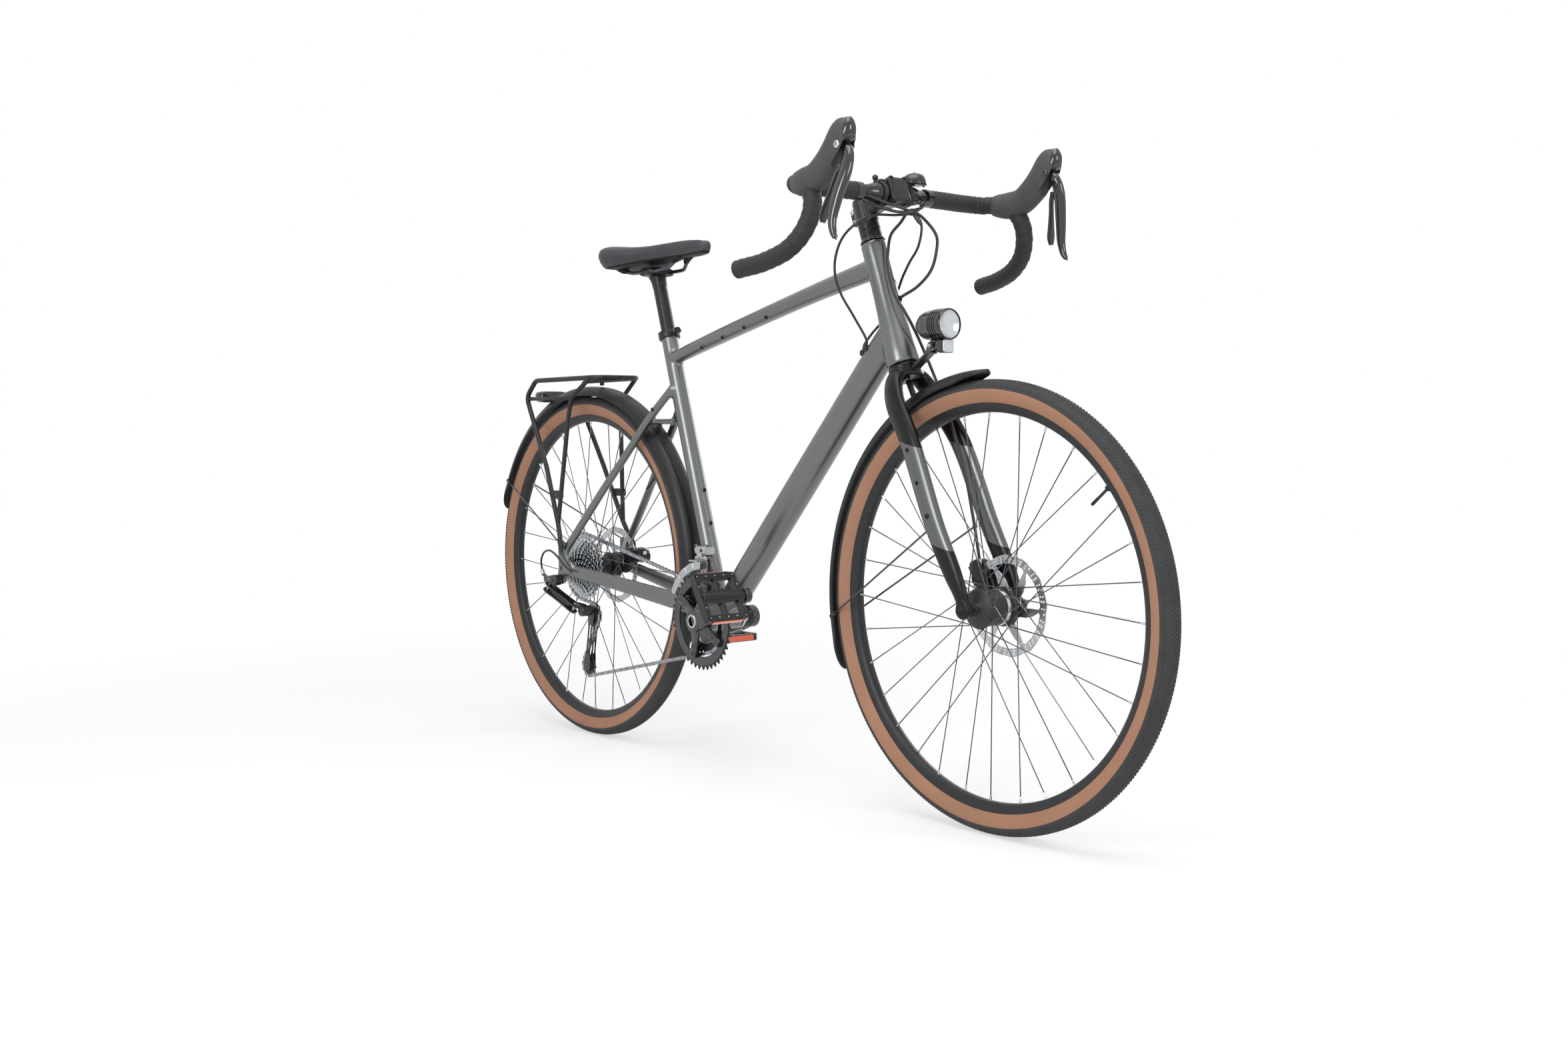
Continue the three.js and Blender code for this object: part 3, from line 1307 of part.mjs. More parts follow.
function crankLeft() {
  const hole = rod(shifted(bottomBracket, 0, -2 * spindleEnd, 0), bottomBracket,
    holeRadius(spindleRadius, crankEndSides), crankEndSides);
  return otherSide(cut(crankArm(crankAhead.clone().negate()), hole));
}

/** Both rings, tied by spacers behind the four spider arms. */
function chainrings() {
  const hole = circle(bottomBracket.x, bottomBracket.z, innerRingBore, tubeSides + 2);
  const inner = sprocketPlate(sprockets[0], cogThickness, fullTooth, [hole]);
  const outerHole = circle(bottomBracket.x, bottomBracket.z, outerRingBore, tubeSides + 2);
  const outer = plate(toothed(bottomBracket, outerRingTeeth, 0,
    gulletRadius(outerRingTeeth), plainTooth), cogThickness, -outerRingOffset, [outerHole]);
  const ties = spiderAngles.flatMap(angle => {
    const direction = point(Math.cos(radians(angle)), 0, Math.sin(radians(angle)));
    const spot = along(bottomBracket, direction, ringBoltCircle);
    return [
      spiderArm(angle, outerRingOffset, ringBoltCircle - 2 * ringBoltRadius,
        outerRingBore + 2 * overrun, spiderWidth, cogThickness),
      rod(shifted(spot, 0, -outerRingOffset, 0), shifted(spot, 0, -ringOffset, 0),
        ringBoltRadius, bossSides),
    ];
  });
  return join(inner, outer, ...ties);
}

const cupRadius = 20;
const cupSleeveRadius = 16;
const cupSleeve = 10;
const cupRim = 6;

/** Bearing cup on the left: a sleeve in the shell and a flange outside it. */
function bearingCup() {
  const bore = holeRadius(spindleRadius + runGap, tubeSides);
  const face = shellWidth / 2;
  return turned([
    [bore, face - cupSleeve], [cupSleeveRadius, face - cupSleeve], [cupSleeveRadius, face + seatGap],
    [cupRadius, face + seatGap], [cupRadius, face + cupRim], [bore, face + cupRim],
  ], tubeSides, bottomBracket);
}

const pedalLength = 96;
const pedalWidth = 92;
const pedalHeight = 15;
const pedalRim = 13;
const pedalStart = 84;
const pedalBarrelRadius = 10;
const pedalTilt = 60;
const reflectorHeight = 7;
const pedalSpindleStart = 68;

/** A right platform pedal, level, round its own spindle. */
function pedal(axis) {
  const low = point(axis.x - pedalLength / 2, -pedalStart - pedalWidth, axis.z - pedalHeight / 2);
  const high = point(axis.x + pedalLength / 2, -pedalStart, axis.z + pedalHeight / 2);
  const windows = [-1, 1].map(side => {
    const inner = axis.x + side * pedalBarrelRadius;
    const outer = axis.x + side * (pedalLength / 2 - pedalRim);
    return block(
      point(Math.min(inner, outer), -pedalStart - pedalWidth + pedalRim, low.z - overrun),
      point(Math.max(inner, outer), -pedalStart - pedalRim, high.z + overrun));
  });
  const barrel = rod(point(axis.x, -pedalStart - pedalWidth, axis.z),
    point(axis.x, -pedalStart + overrun, axis.z), pedalBarrelRadius, tubeSides);
  const spindle = rod(point(axis.x, -pedalStart, axis.z), point(axis.x, -pedalSpindleStart, axis.z),
    pedalHoleRadius, bossSides + 2);
  return join(cut(block(low, high), ...windows), barrel, spindle);
}

function turnAbout(body, axis, degrees) {
  return join(body).translate([-axis.x, -axis.y, -axis.z]).rotate([0, degrees, 0])
    .translate([axis.x, axis.y, axis.z]);
}

// Derailleurs

const frontBodyLow = [-164, -35, 396];
const frontBodyHigh = [-130, -8, 414];
const cagePivot = [-147, -30, 390];
const cageBarrelRadius = 4.5;
const cageBarrelHalf = 15;
const outerCage_polar = [[95, 92], [95, 108], [95, 124], [95, 140], [95, 152], [108, 153],
  [109.5, 140], [110, 124], [110, 108], [109, 92]];
const innerCage = [[-122, 348], [-150, 344], [-180, 336], [-215, 325], [-217, 332],
  [-200, 350], [-172, 374], [-140, 387], [-118, 386]];
const cageOuterOffset = 49.3;
const cageInnerOffset = 36.8;
const cageSheet = 1.4;
const cageTail = [-213, 328.5];
const cageBridge = [-140, 385.5];

function frontDerailleur() {
  const tubeFit = rod(bottomBracket, seatTubeEnd, seatTubeRadius + seatGap, tubeSides);
  const body = cut(block(point(...frontBodyLow), point(...frontBodyHigh)), tubeFit);
  const screw = rod(point(-138, -22, 412), point(-134, -24, 420), 3, bossSides);
  return join(body, screw);
}

function frontCage() {
  const outline = outerCage_polar.map(([r, angle]) => [
    bottomBracket.x + r * Math.cos(radians(angle)), bottomBracket.z + r * Math.sin(radians(angle)),
  ]);
  const outer = plate(outline.slice().reverse(), cageSheet, -cageOuterOffset);
  const inner = plate(innerCage.slice().reverse(), cageSheet, -cageInnerOffset);
  const across = ([x, z]) => rod(point(x, -cageOuterOffset, z), point(x, -cageInnerOffset, z), 2.4,
    bossSides);
  const [x, y, z] = cagePivot;
  const barrel = rod(point(x - cageBarrelHalf, y, z), point(x + cageBarrelHalf, y, z),
    cageBarrelRadius, bossSides + 2);
  const roof = block(point(x - cageBarrelHalf + 2, -cageOuterOffset, z - 6.5),
    point(x + cageBarrelHalf - 2, y, z - 2.5));
  return join(outer, inner, across(cageTail), across(cageBridge), barrel, roof);
}

const hangerBolt = [-572, 326];
const knuckleRadius = 11;
const knuckleInner = 79.7;
const knuckleOuter = 97;
const linkTop = [-603, -89, 309];
const linkFoot = [-549, -62, 269];
const lowerKnuckle = [-528, 263];
const lowerKnuckleInner = 38;
const lowerKnuckleOuter = 60;
const cableStop = [-629, -87, 337];
const linkPinRadius = 4;
const linkPinHalf = 13;

const linkAxis = point(0.6, 0, 0.8);

function upperKnuckle() {
  const [x, z] = hangerBolt;
  const barrel = rod(point(x, -knuckleOuter, z), point(x, -knuckleInner, z), knuckleRadius, tubeSides);
  const top = point(...linkTop);
  const arm = tube([[x, -89, z, 7, 9], [-592, -89, 326, 7, 8], [-612, -89, 327, 6.5, 7]]
    .map(([ax, ay, az, side, deep]) => ({ at: point(ax, ay, az), side, deep })), bossSides + 2);
  const stop = rod(point(-608, -88.5, 329), along(point(...cableStop), UP, -3), 3.6, bossSides);
  const fork = rod(along(top, linkAxis, -linkEyeHalf), along(top, linkAxis, linkPinHalf),
    linkPinRadius, bossSides);
  return join(barrel, arm, stop, fork);
}

/** The swinging link, with an eye for the pin at both ends. */
function swingLink() {
  const ends = [point(...linkTop), point(...linkFoot)];
  const holes = ends.map(p => rod(along(p, linkAxis, -2 * linkPinHalf),
    along(p, linkAxis, 2 * linkPinHalf), holeRadius(linkPinRadius, bossSides), bossSides));
  const eyes = ends.map(p => rod(along(p, linkAxis, -linkEyeHalf), along(p, linkAxis, linkEyeHalf),
    linkEyeRadius, bossSides + 2));
  return cut(join(rod(...ends, linkEyeHalf, bossSides), ...eyes), ...holes);
}

/** The lower knuckle, with the neck between the two bars and its pin through both. */
function lowerKnuckleBody() {
  const [x, z] = lowerKnuckle;
  const foot = point(...linkFoot);
  const barrel = rod(point(x, -lowerKnuckleOuter, z), point(x, -lowerKnuckleInner, z),
    knuckleRadius, tubeSides);
  const pin = rod(along(foot, linkAxis, -linkEyeHalf), along(foot, linkAxis, linkPinHalf),
    linkPinRadius, bossSides);
  const neck = rod(along(foot, linkAxis, linkPinHalf - linkPinRadius / 2),
    point(x, -lowerKnuckleInner - knuckleRadius, z + linkPinRadius), linkPinRadius, bossSides);
  return join(barrel, pin, neck);
}

/** Two plates round both jockey wheels, their pins, and the stub in the lower knuckle. */
function rearCage() {
  const [x, z] = lowerKnuckle;
  const sheets = [-1, 1].flatMap(side => {
    const y = -firstCogOffset + side * (cageHalfWidth + cagePlateSheet / 2);
    const span = tensionPulley.clone().sub(guidePulley);
    const middle = guidePulley.clone().add(tensionPulley).multiplyScalar(1 / 2);
    return [
      slab(middle.setY(y), span, span.length(), cagePlateSheet, 2 * cageArmWidth),
      plate(circle(tensionPulley.x, tensionPulley.z, cageArmWidth + rimWall, tubeSides),
        cagePlateSheet, y),
      plate(circle(guidePulley.x, guidePulley.z, cageArmWidth + rimWall, tubeSides),
        cagePlateSheet, y),
    ];
  });
  const outside = -firstCogOffset - cageHalfWidth - cagePlateSheet / 2;
  const inside = -firstCogOffset + cageHalfWidth + cagePlateSheet / 2;
  const wheelPins = [guidePulley, tensionPulley].map(p =>
    rod(point(p.x, outside, p.z), point(p.x, inside, p.z), pulleyPinRadius, bossSides));
  const stub = rod(point(x, outside, z), point(x, -lowerKnuckleInner + seatGap, z),
    cageArmWidth, tubeSides);
  return join(...sheets, ...wheelPins, stub);
}

function jockeyWheel(sprocket) {
  const sides = bossSides + 2;
  const bore = holeRadius(pulleyPinRadius + runGap, sides);
  const { at, y } = sprocket;
  const teeth = sprocketPlate(sprocket, cogThickness, fullTooth,
    [circle(at.x, at.z, pulleyBodyRadius - rimWall, sides)]);
  const body = turned([[bore, -pulleyBodyWidth / 2], [pulleyBodyRadius, -pulleyBodyWidth / 2],
    [pulleyBodyRadius, pulleyBodyWidth / 2], [bore, pulleyBodyWidth / 2]], sides, shifted(at, 0, y, 0));
  return join(teeth, body);
}

// Mudguards

/** A curved shell over part of a wheel; each end is drawn in a little. */
function guardShell(axle, crown, [from, to]) {
  const steps = Math.ceil((to - from) / guardStep);
  const rings = Array.from({ length: steps + 1 }, (_, i) => {
    const angle = radians(mix(from, to, i / steps));
    const width = (i === 0 || i === steps ? guardEnd_share : 1) * guardHalf;
    const outside = guard_shares.map(([y, drop]) => [y * width, crown - drop]);
    const inside = guard_shares.map(([y, drop]) =>
      [y * (width - guardSheet), crown - drop - guardSheet]);
    const mirror = list => list.map(([y, r]) => [-y, r]);
    return [...mirror(outside), ...outside.slice().reverse(), ...inside, ...mirror(inside).reverse()]
      .map(([y, r]) => point(axle.x + r * Math.cos(angle), y, axle.z + r * Math.sin(angle)));
  });
  return loft(rings);
}

const onCircle = (centre, r, degrees) => point(centre.x + r * Math.cos(radians(degrees)), 0,
  centre.z + r * Math.sin(radians(degrees)));

/** A wire stay on the right from the rim of a guard to an eyelet beside a dropout or leg. */
function stay(guardEnd, eyelet) {
  const eye = rod(shifted(eyelet, 0, -eyeletWidth, 0), eyelet, eyeletRadius, bossSides);
  const wire = rod(guardEnd, shifted(eyelet, 0, stayRadius / 2 - eyeletWidth, 0), stayRadius, bossSides - 1);
  return join(wire, eye);
}

/** A round lug that stands on the crown of a guard. */
const lug = (axle, from, to, angle) =>
  rod(onCircle(axle, from, angle), onCircle(axle, to, angle), lugRadius, bossSides);

function rearMudguard() {
  const end = onCircle(rearAxle, guardCrown - stayDrop, rearStayAngle).setY(-guardHalf);
  const wire = stay(end, point(...rearStayEye));
  const bridgeAt = onSeatstay(bridge_share);
  const bridgeAngle = THREE.MathUtils.radToDeg(
    Math.atan2(bridgeAt.z - rearAxle.z, bridgeAt.x - rearAxle.x));
  return join(guardShell(rearAxle, guardCrown, rearGuardAngles), wire, otherSide(wire),
    lug(rearAxle, guardCrown - guardSheet, seatstayLugReach, bridgeAngle));
}

function frontMudguard() {
  const end = onCircle(frontAxle, frontGuardCrown - stayDrop, frontStayAngle).setY(-guardHalf);
  const wire = stay(end, point(...frontStayEye));
  return join(guardShell(frontAxle, frontGuardCrown, frontGuardAngles), wire, otherSide(wire),
    lug(frontAxle, frontGuardCrown - guardSheet, forkLugReach, forkLugAngle));
}

// Rack and lights

function rack() {
  const points = list => list.map(p => point(...p));
  const side = join(
    rodAlong(bendRoute(points(rackRoute), rackBend), rackRadius, rackSides),
    rodAlong(bendRoute(points(rackFrontLeg), rackBend), rackLegRadius, rackSides),
    rodAlong(points(rackLowerRail), rackCrossRadius, bossSides),
    block(point(...rackPlateLow), point(...rackPlateHigh)));
  const crosses = rackCross.map(([x, y, z]) =>
    rod(point(x, -y, z), point(x, y, z), rackCrossRadius, bossSides));
  const [postX, postZ] = rackPost;
  const post = rod(point(postX, 0, postZ), point(postX, 0, rackCross[0][2]), rackLegRadius, bossSides);
  return join(side, otherSide(side), ...crosses, post);
}

function tailLight() {
  const [low, high] = [tailLightLow, tailLightHigh].map(p => point(...p));
  const body = tube([[0, 0.86], [0.25, 1], [0.8, 1], [1, 0.86]].map(([t, size]) => ({
    at: point(mix(low.x, high.x, t), 0, (low.z + high.z) / 2),
    side: size * high.y, deep: size * (high.z - low.z) / 2,
  })), tubeSides, 0.5);
  const [x, , z] = rackCross[1];
  const clampBore = rod(point(x, 2 * low.y, z), point(x, 2 * high.y, z),
    holeRadius(rackCrossRadius, bossSides), bossSides);
  return cut(body, clampBore);
}

function lamp() {
  const shell = turned(lamp_shares.map(([r, t]) => [r * lampRadius, t * lampRadius]), lampSides,
    point(...lampAt), point(1, 0, 0));
  const [x, z] = lampPivot;
  const neck = block(point(x - lampLugHalf, -lampLugHalf, z),
    point(x + lampLugHalf, lampLugHalf, z + lampRadius / 2));
  const eye = rod(point(x, -lampLugHalf, z), point(x, lampLugHalf, z), lampLugHalf + 1, bossSides + 2);
  return join(shell, neck, eye, block(point(...reflectorLow), point(...reflectorHigh)));
}

function lampLens() {
  const [x, y, z] = lampAt;
  const recess = -lampRecess_share * lampRadius + seatGap;
  return turned([[0, recess], [lensRadius, recess], [lensRadius, -lensRim], [lensRadius * 0.7, 0],
    [0, 0]], lampSides, point(x, y, z), point(1, 0, 0));
}

function lampBracket() {
  const strap = tube(lampBracketRoute.map(([x, y, z]) => ({
    at: point(x, y, z), side: lampBracketHalf, deep: lampStrapHalf,
  })), bossSides + 2, 0.5);
  const [x, z] = lampPivot;
  const ears = rod(point(x, -lampBracketHalf, z), point(x, lampBracketHalf, z),
    lampLugHalf + 1, bossSides + 2);
  const slotHalf = lampLugHalf + seatGap;
  const slot = block(point(x - 2 * lampRadius, -slotHalf, z - lampLugHalf - 2),
    point(x + 2 * lampRadius, slotHalf, z + lampRadius));
  const crown = rod(onHeadAxis(-2 * crownDrop), onHeadAxis(crownDrop),
    crownRaceRadius + seatGap, steererSides);
  return cut(join(strap, ears), slot, crown);
}

// Hoses and cables, each along the route it really takes

function hose(route, radius) {
  const curve = new THREE.CatmullRomCurve3(route.map(p => point(...p)));
  return rodAlong(curve.getPoints(Math.round(route.length * hoseStep_share)), radius, hoseSides);
}

/** A route that goes on squarely into the grommet of a port. */
const intoPort = (route, at, out) => [...route,
  ...[grommetLength, 2 * seatGap].map(t => along(at, out, t).toArray())];

/** A barrel adjuster on the straight part between two route points. */
function adjuster(route, [i, j]) {
  const [a, b] = [point(...route[i]), point(...route[j])];
  return rod(a, b, adjusterRadius, bossSides);
}

function controlCables() {
  const [dx, dy, dz] = tieHalf;
  const at = point(...tieAt);
  const tie = block(shifted(at, -dx, -dy, -dz), shifted(at, dx, dy, dz));
  return join(hose(intoPort(rearShiftRoute, cablePort, portUp), cableRadius),
    hose(intoPort(frontShiftRoute, innerCablePort, portUp), cableRadius),
    hose(intoPort(rearHoseRoute, headPort, headPortOut), hoseRadius), tie,
    adjuster(rearShiftRoute, rearAdjuster), adjuster(frontShiftRoute, frontAdjuster));
}

piece('frame', frame(), frameGreen);
piece('seat_collar', seatCollar(), satinBlack);
piece('seatpost', seatpost(), satinBlack);
piece('saddle_cushion', saddleCushion(), softBlack);
piece('saddle_base', saddleBase(), softBlack);
piece('fork', fork(), frameGreen);
piece('spacers', spacers(), satinBlack);
piece('stem', stem(), satinBlack);
piece('faceplate', faceplate(), satinBlack);
piece('steerer_cap', steererCap(), satinBlack);
piece('handlebar', handlebar(), satinBlack);
piece('bar_tape_right', barTape(), softBlack);
piece('bar_tape_left', otherSide(barTape()), softBlack);
piece('hood_right', hood(), rubberBlack);
piece('hood_left', otherSide(hood()), rubberBlack);
piece('brake_lever_right', lever(), satinBlack);
piece('brake_lever_left', otherSide(lever()), satinBlack);
piece('shift_paddle_right', paddle(), satinBlack);
piece('shift_paddle_left', otherSide(paddle()), satinBlack);
piece('bell', bell(), satinBlack);
piece('accessory_clamp', accessoryClamp(), satinBlack);
piece('front_tyre', tyre(frontAxle), tyreTan);
piece('front_rim', rim(frontAxle), satinBlack);
piece('front_hub', frontHub(), satinBlack);
piece('front_disc', brakeDisc(frontAxle, frontDiscOffset), silver);
piece('front_axle', throughAxle(frontAxle, frontHubWidth, forkDropoutThickness), darkSteel);
piece('front_calliper', frontCalliper(), satinBlack);
piece('rear_tyre', tyre(rearAxle), tyreTan);
piece('rear_rim', rim(rearAxle), satinBlack);
piece('rear_hub', rearHub(), satinBlack);
piece('rear_disc', brakeDisc(rearAxle, rearDiscOffset), silver);
piece('rear_axle', throughAxle(rearAxle, rearHubWidth, dropoutThickness), darkSteel);
piece('rear_calliper', rearCalliper(), satinBlack);
piece('cassette', cassette(), silver);
piece('chain', chain(), silver);
piece('crank_right', crankRight(), satinBlack);
piece('crank_left', crankLeft(), satinBlack);
piece('chainrings', chainrings(), darkSteel);
piece('bearing_cup_left', bearingCup(), silver);
piece('bearing_cup_right', otherSide(bearingCup()), silver);
piece('pedal_right', turnAbout(pedal(rightPedalAxis), rightPedalAxis, pedalTilt), softBlack);
piece('pedal_left', otherSide(pedal(leftPedalAxis)), softBlack);
piece('front_derailleur', frontDerailleur(), silver);
piece('front_derailleur_cage', frontCage(), silver);
piece('rear_derailleur_mount', upperKnuckle(), satinBlack);
piece('rear_derailleur_link', swingLink(), satinBlack);
piece('rear_derailleur_knuckle', lowerKnuckleBody(), satinBlack);
piece('rear_derailleur_cage', rearCage(), satinBlack);
piece('guide_pulley', jockeyWheel(sprockets[2]), softBlack);
piece('tension_pulley', jockeyWheel(sprockets[1]), softBlack);
piece('rear_mudguard', rearMudguard(), satinBlack);
piece('front_mudguard', frontMudguard(), satinBlack);
piece('rack', rack(), satinBlack);
piece('tail_light', tailLight(), satinBlack);
piece('lamp', lamp(), satinBlack);
piece('lamp_lens', lampLens(), clear);
piece('lamp_bracket', lampBracket(), satinBlack);
piece('front_brake_hose', hose(frontHoseRoute, hoseRadius), softBlack);
piece('control_cables', controlCables(), softBlack);
piece('gear_cable', hose(gearCableRoute, cableRadius), softBlack);

export default bicycle;
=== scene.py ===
# %% [markdown]
# A gravel bicycle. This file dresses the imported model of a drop-bar bicycle with mudguards,
# rack and lights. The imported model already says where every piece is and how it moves.
# Each cell below explains one piece of the real bicycle, then makes it as a worked-out surface
# and gives it its finish. Lengths are millimetres in the drawing and become metres in the scene.

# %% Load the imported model
import math
import bpy
import bmesh
import numpy as np
from mathutils import Matrix, Vector


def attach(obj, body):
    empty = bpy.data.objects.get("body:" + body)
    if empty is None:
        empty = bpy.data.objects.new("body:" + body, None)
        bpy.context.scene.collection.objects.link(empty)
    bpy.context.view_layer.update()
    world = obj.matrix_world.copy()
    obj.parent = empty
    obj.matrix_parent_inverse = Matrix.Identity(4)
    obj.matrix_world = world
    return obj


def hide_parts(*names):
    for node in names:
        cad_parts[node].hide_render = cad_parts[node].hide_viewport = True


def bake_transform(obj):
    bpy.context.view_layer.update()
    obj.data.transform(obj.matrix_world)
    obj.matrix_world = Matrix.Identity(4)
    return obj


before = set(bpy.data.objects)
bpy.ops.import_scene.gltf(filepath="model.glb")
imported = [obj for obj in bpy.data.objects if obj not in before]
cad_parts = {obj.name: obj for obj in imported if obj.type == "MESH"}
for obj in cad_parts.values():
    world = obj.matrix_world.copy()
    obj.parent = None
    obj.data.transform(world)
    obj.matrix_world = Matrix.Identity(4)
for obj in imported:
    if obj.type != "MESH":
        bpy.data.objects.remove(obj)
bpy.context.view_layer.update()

# %% [markdown]
# The drawing measures from the middle of the wheelbase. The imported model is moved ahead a
# little, so that its box is centred, and every point of the drawing gets the same move.

# %% From drawing to scene
CENTRING = 2.4887
MILLIMETRE = 0.001
LEFT = np.array((0.0, 1.0, 0.0))
UP = np.array((0.0, 0.0, 1.0))


def metres(points):
    """Scene metres of drawing millimetres: add the move ahead, then divide by a thousand."""
    return (np.asarray(points, float) + (CENTRING, 0, 0)) * MILLIMETRE


def unit(v):
    """The vector divided by its own length."""
    v = np.asarray(v, float)
    return v / np.linalg.norm(v, axis=-1, keepdims=True)


def spot(*xyz):
    """A point or direction of the drawing."""
    return np.array(xyz, float)


def full_turn(count):
    """Evenly spaced angles once round."""
    return np.linspace(0, 2 * math.pi, count, endpoint=False)


def in_plane(angle):
    """The direction at an angle in the bicycle's plane, from ahead (x) towards up (z)."""
    return spot(math.cos(angle), 0, math.sin(angle))


def polar(centre, radius, angle):
    """Flat points x = cx + r cos a and z = cz + r sin a."""
    return np.stack([centre[0] + radius * np.cos(angle), centre[1] + radius * np.sin(angle)], -1)


# %% [markdown]
# The camera stands low and ahead of the front wheel on the right, as in a shop photograph.
# Its place and axes came from the wheels' ellipses. It is made first, because everything
# that follows is judged through it.

# %% Camera
camera_data = bpy.data.cameras.new("shop_camera")
camera_data.lens = 37.18
camera_data.sensor_width = 36
camera_data.clip_end = 100
camera = bpy.data.objects.new("shop_camera", camera_data)
bpy.context.scene.collection.objects.link(camera)
view_right = unit((0.6281, 0.77808, -0.00945))
view_down = unit((0.03587, -0.04109, -0.99851))
view_ahead = unit((-0.77731, 0.62682, -0.05372))
turn = np.eye(4)
turn[:3, 0], turn[:3, 1], turn[:3, 2] = view_right, -view_down, -view_ahead
turn[:3, 3] = metres((2296.2, -1801.1, 617.4))
camera.matrix_world = Matrix(turn.tolist())
bpy.context.scene.camera = camera
bpy.context.scene.view_settings.view_transform = "Standard"
print("camera at", np.round(turn[:3, 3], 3))

# %% [markdown]
# Finishes, floor and world are built from shader nodes. One helper adds a node with all its
# settings. Another tells the rays that show a surface from those that only light it.

# %% Shader nodes
def add_node(tree, kind, feeds=None, numbers=None, **settings):
    """A new node: first its own settings, then its sockets' numbers and colours, then the
    links that feed its sockets from other nodes' outputs."""
    new = tree.nodes.new("ShaderNode" + kind)
    for key, value in settings.items():
        setattr(new, key, value)
    for key, value in (numbers or {}).items():
        new.inputs[key].default_value = value
    for key, source in (feeds or {}).items():
        tree.links.new(source, new.inputs[key])
    return new


def seen_ray(tree):
    """One for a ray from the camera, from a gloss or through glass, and zero for others."""
    rays = add_node(tree, "LightPath").outputs
    either = add_node(tree, "Math", {0: rays["Is Camera Ray"], 1: rays["Is Glossy Ray"]},
                      operation="MAXIMUM")
    return add_node(tree, "Math", {0: either.outputs[0], 1: rays["Is Transmission Ray"]},
                    operation="MAXIMUM").outputs[0]


def mixed(tree, share, first, second):
    """Two shaders, mixed by a share of the second."""
    return add_node(tree, "MixShader", {0: share, 1: first.outputs[0], 2: second.outputs[0]}).outputs[0]


# %% [markdown]
# Plain studio light: a pale world that fills the shadows, one wide soft lamp above and ahead,
# and others on both sides and ahead that draw long highlights along the tubes. The world shows
# pure white behind the object and in its gloss, and lights it at a lower strength.

# %% World and lamps
world = bpy.data.worlds.new("pale_studio")
world.use_nodes = True
bpy.context.scene.world = world
studio = world.node_tree
studio.nodes.clear()
filling = add_node(studio, "Background", numbers={"Color": (0.96, 0.98, 1.0, 1), "Strength": 0.5})
showing = add_node(studio, "Background", numbers={"Color": (1, 1, 1, 1), "Strength": 1.0})
add_node(studio, "OutputWorld", {"Surface": mixed(studio, seen_ray(studio), filling, showing)})


def lamp(name, at, aim, size, power):
    """A square soft lamp at one point, turned towards another; all in metres."""
    data = bpy.data.lights.new(name, "AREA")
    data.size, data.energy = size, power
    obj = bpy.data.objects.new(name, data)
    bpy.context.scene.collection.objects.link(obj)
    away = Vector(at) - Vector(aim)
    obj.rotation_mode = "QUATERNION"
    obj.rotation_quaternion = away.to_track_quat("Z", "Y")
    obj.location = at


lamp("lamp_above", (0.6, -0.6, 3.4), (0, 0, 0.5), 2.6, 62)
lamp("lamp_right", (0.9, -3.4, 1.7), (0, 0, 0.6), 1.4, 44)
lamp("lamp_left", (-0.6, 3.4, 1.8), (0, 0, 0.6), 1.6, 30)
lamp("lamp_ahead", (3.6, 0.4, 1.5), (0, 0, 0.6), 1.2, 30)

# %% [markdown]
# The floor is a pale disc. Near the tyres it is a plain surface that holds their shadow, and
# with distance it fades to the same white as the world, so no horizon shows.

# %% Floor
FLOOR_RADIUS, FLOOR_CORNERS = 30, 96
FADE_START, FADE_END, NEAREST_SHARE = 0.9, 2.6, 0.55
floor_mesh = bpy.data.meshes.new("studio_floor")
edge_angles = full_turn(FLOOR_CORNERS)
edge_points = FLOOR_RADIUS * np.stack([np.cos(edge_angles), np.sin(edge_angles), 0 * edge_angles], -1)
floor_mesh.from_pydata(edge_points.tolist(), [], [list(range(FLOOR_CORNERS))])
floor_obj = bpy.data.objects.new("studio_floor", floor_mesh)
bpy.context.scene.collection.objects.link(floor_obj)
floor_finish = bpy.data.materials.new("pale_floor")
floor_finish.use_nodes = True
ground = floor_finish.node_tree
ground.nodes.clear()
place = add_node(ground, "TexCoord")
distance = add_node(ground, "VectorMath", {0: place.outputs["Object"]}, operation="LENGTH")
fade = add_node(ground, "MapRange", {"Value": distance.outputs["Value"]},
                {"From Min": FADE_START, "From Max": FADE_END, "To Min": NEAREST_SHARE},
                interpolation_type="SMOOTHSTEP")
share = add_node(ground, "Math", {0: fade.outputs["Result"], 1: seen_ray(ground)},
                 operation="MULTIPLY")
plain = add_node(ground, "BsdfDiffuse", numbers={"Color": (0.93, 0.93, 0.93, 1)})
glow = add_node(ground, "Emission", numbers={"Strength": 1.0})
add_node(ground, "OutputMaterial", {"Surface": mixed(ground, share.outputs[0], plain, glow)})
floor_mesh.materials.append(floor_finish)

# %% [markdown]
# A finish on a real bicycle is never one flat colour. Paint has flakes, rubber has a grain,
# brushed steel has fine lines, and all of them vary a little in shade and in gloss. One
# helper makes such a finish: noise in the object's own space shades the colour between two
# near tints, a second noise spreads the roughness, and a third pushes the normals.

# %% Finishes
def linear(code):
    """Linear light of a colour written as six hex digits."""
    parts = np.array([int(code[i:i + 2], 16) for i in (1, 3, 5)]) / 255
    return np.where(parts <= 0.04045, parts / 12.92, ((parts + 0.055) / 1.055) ** 2.4)


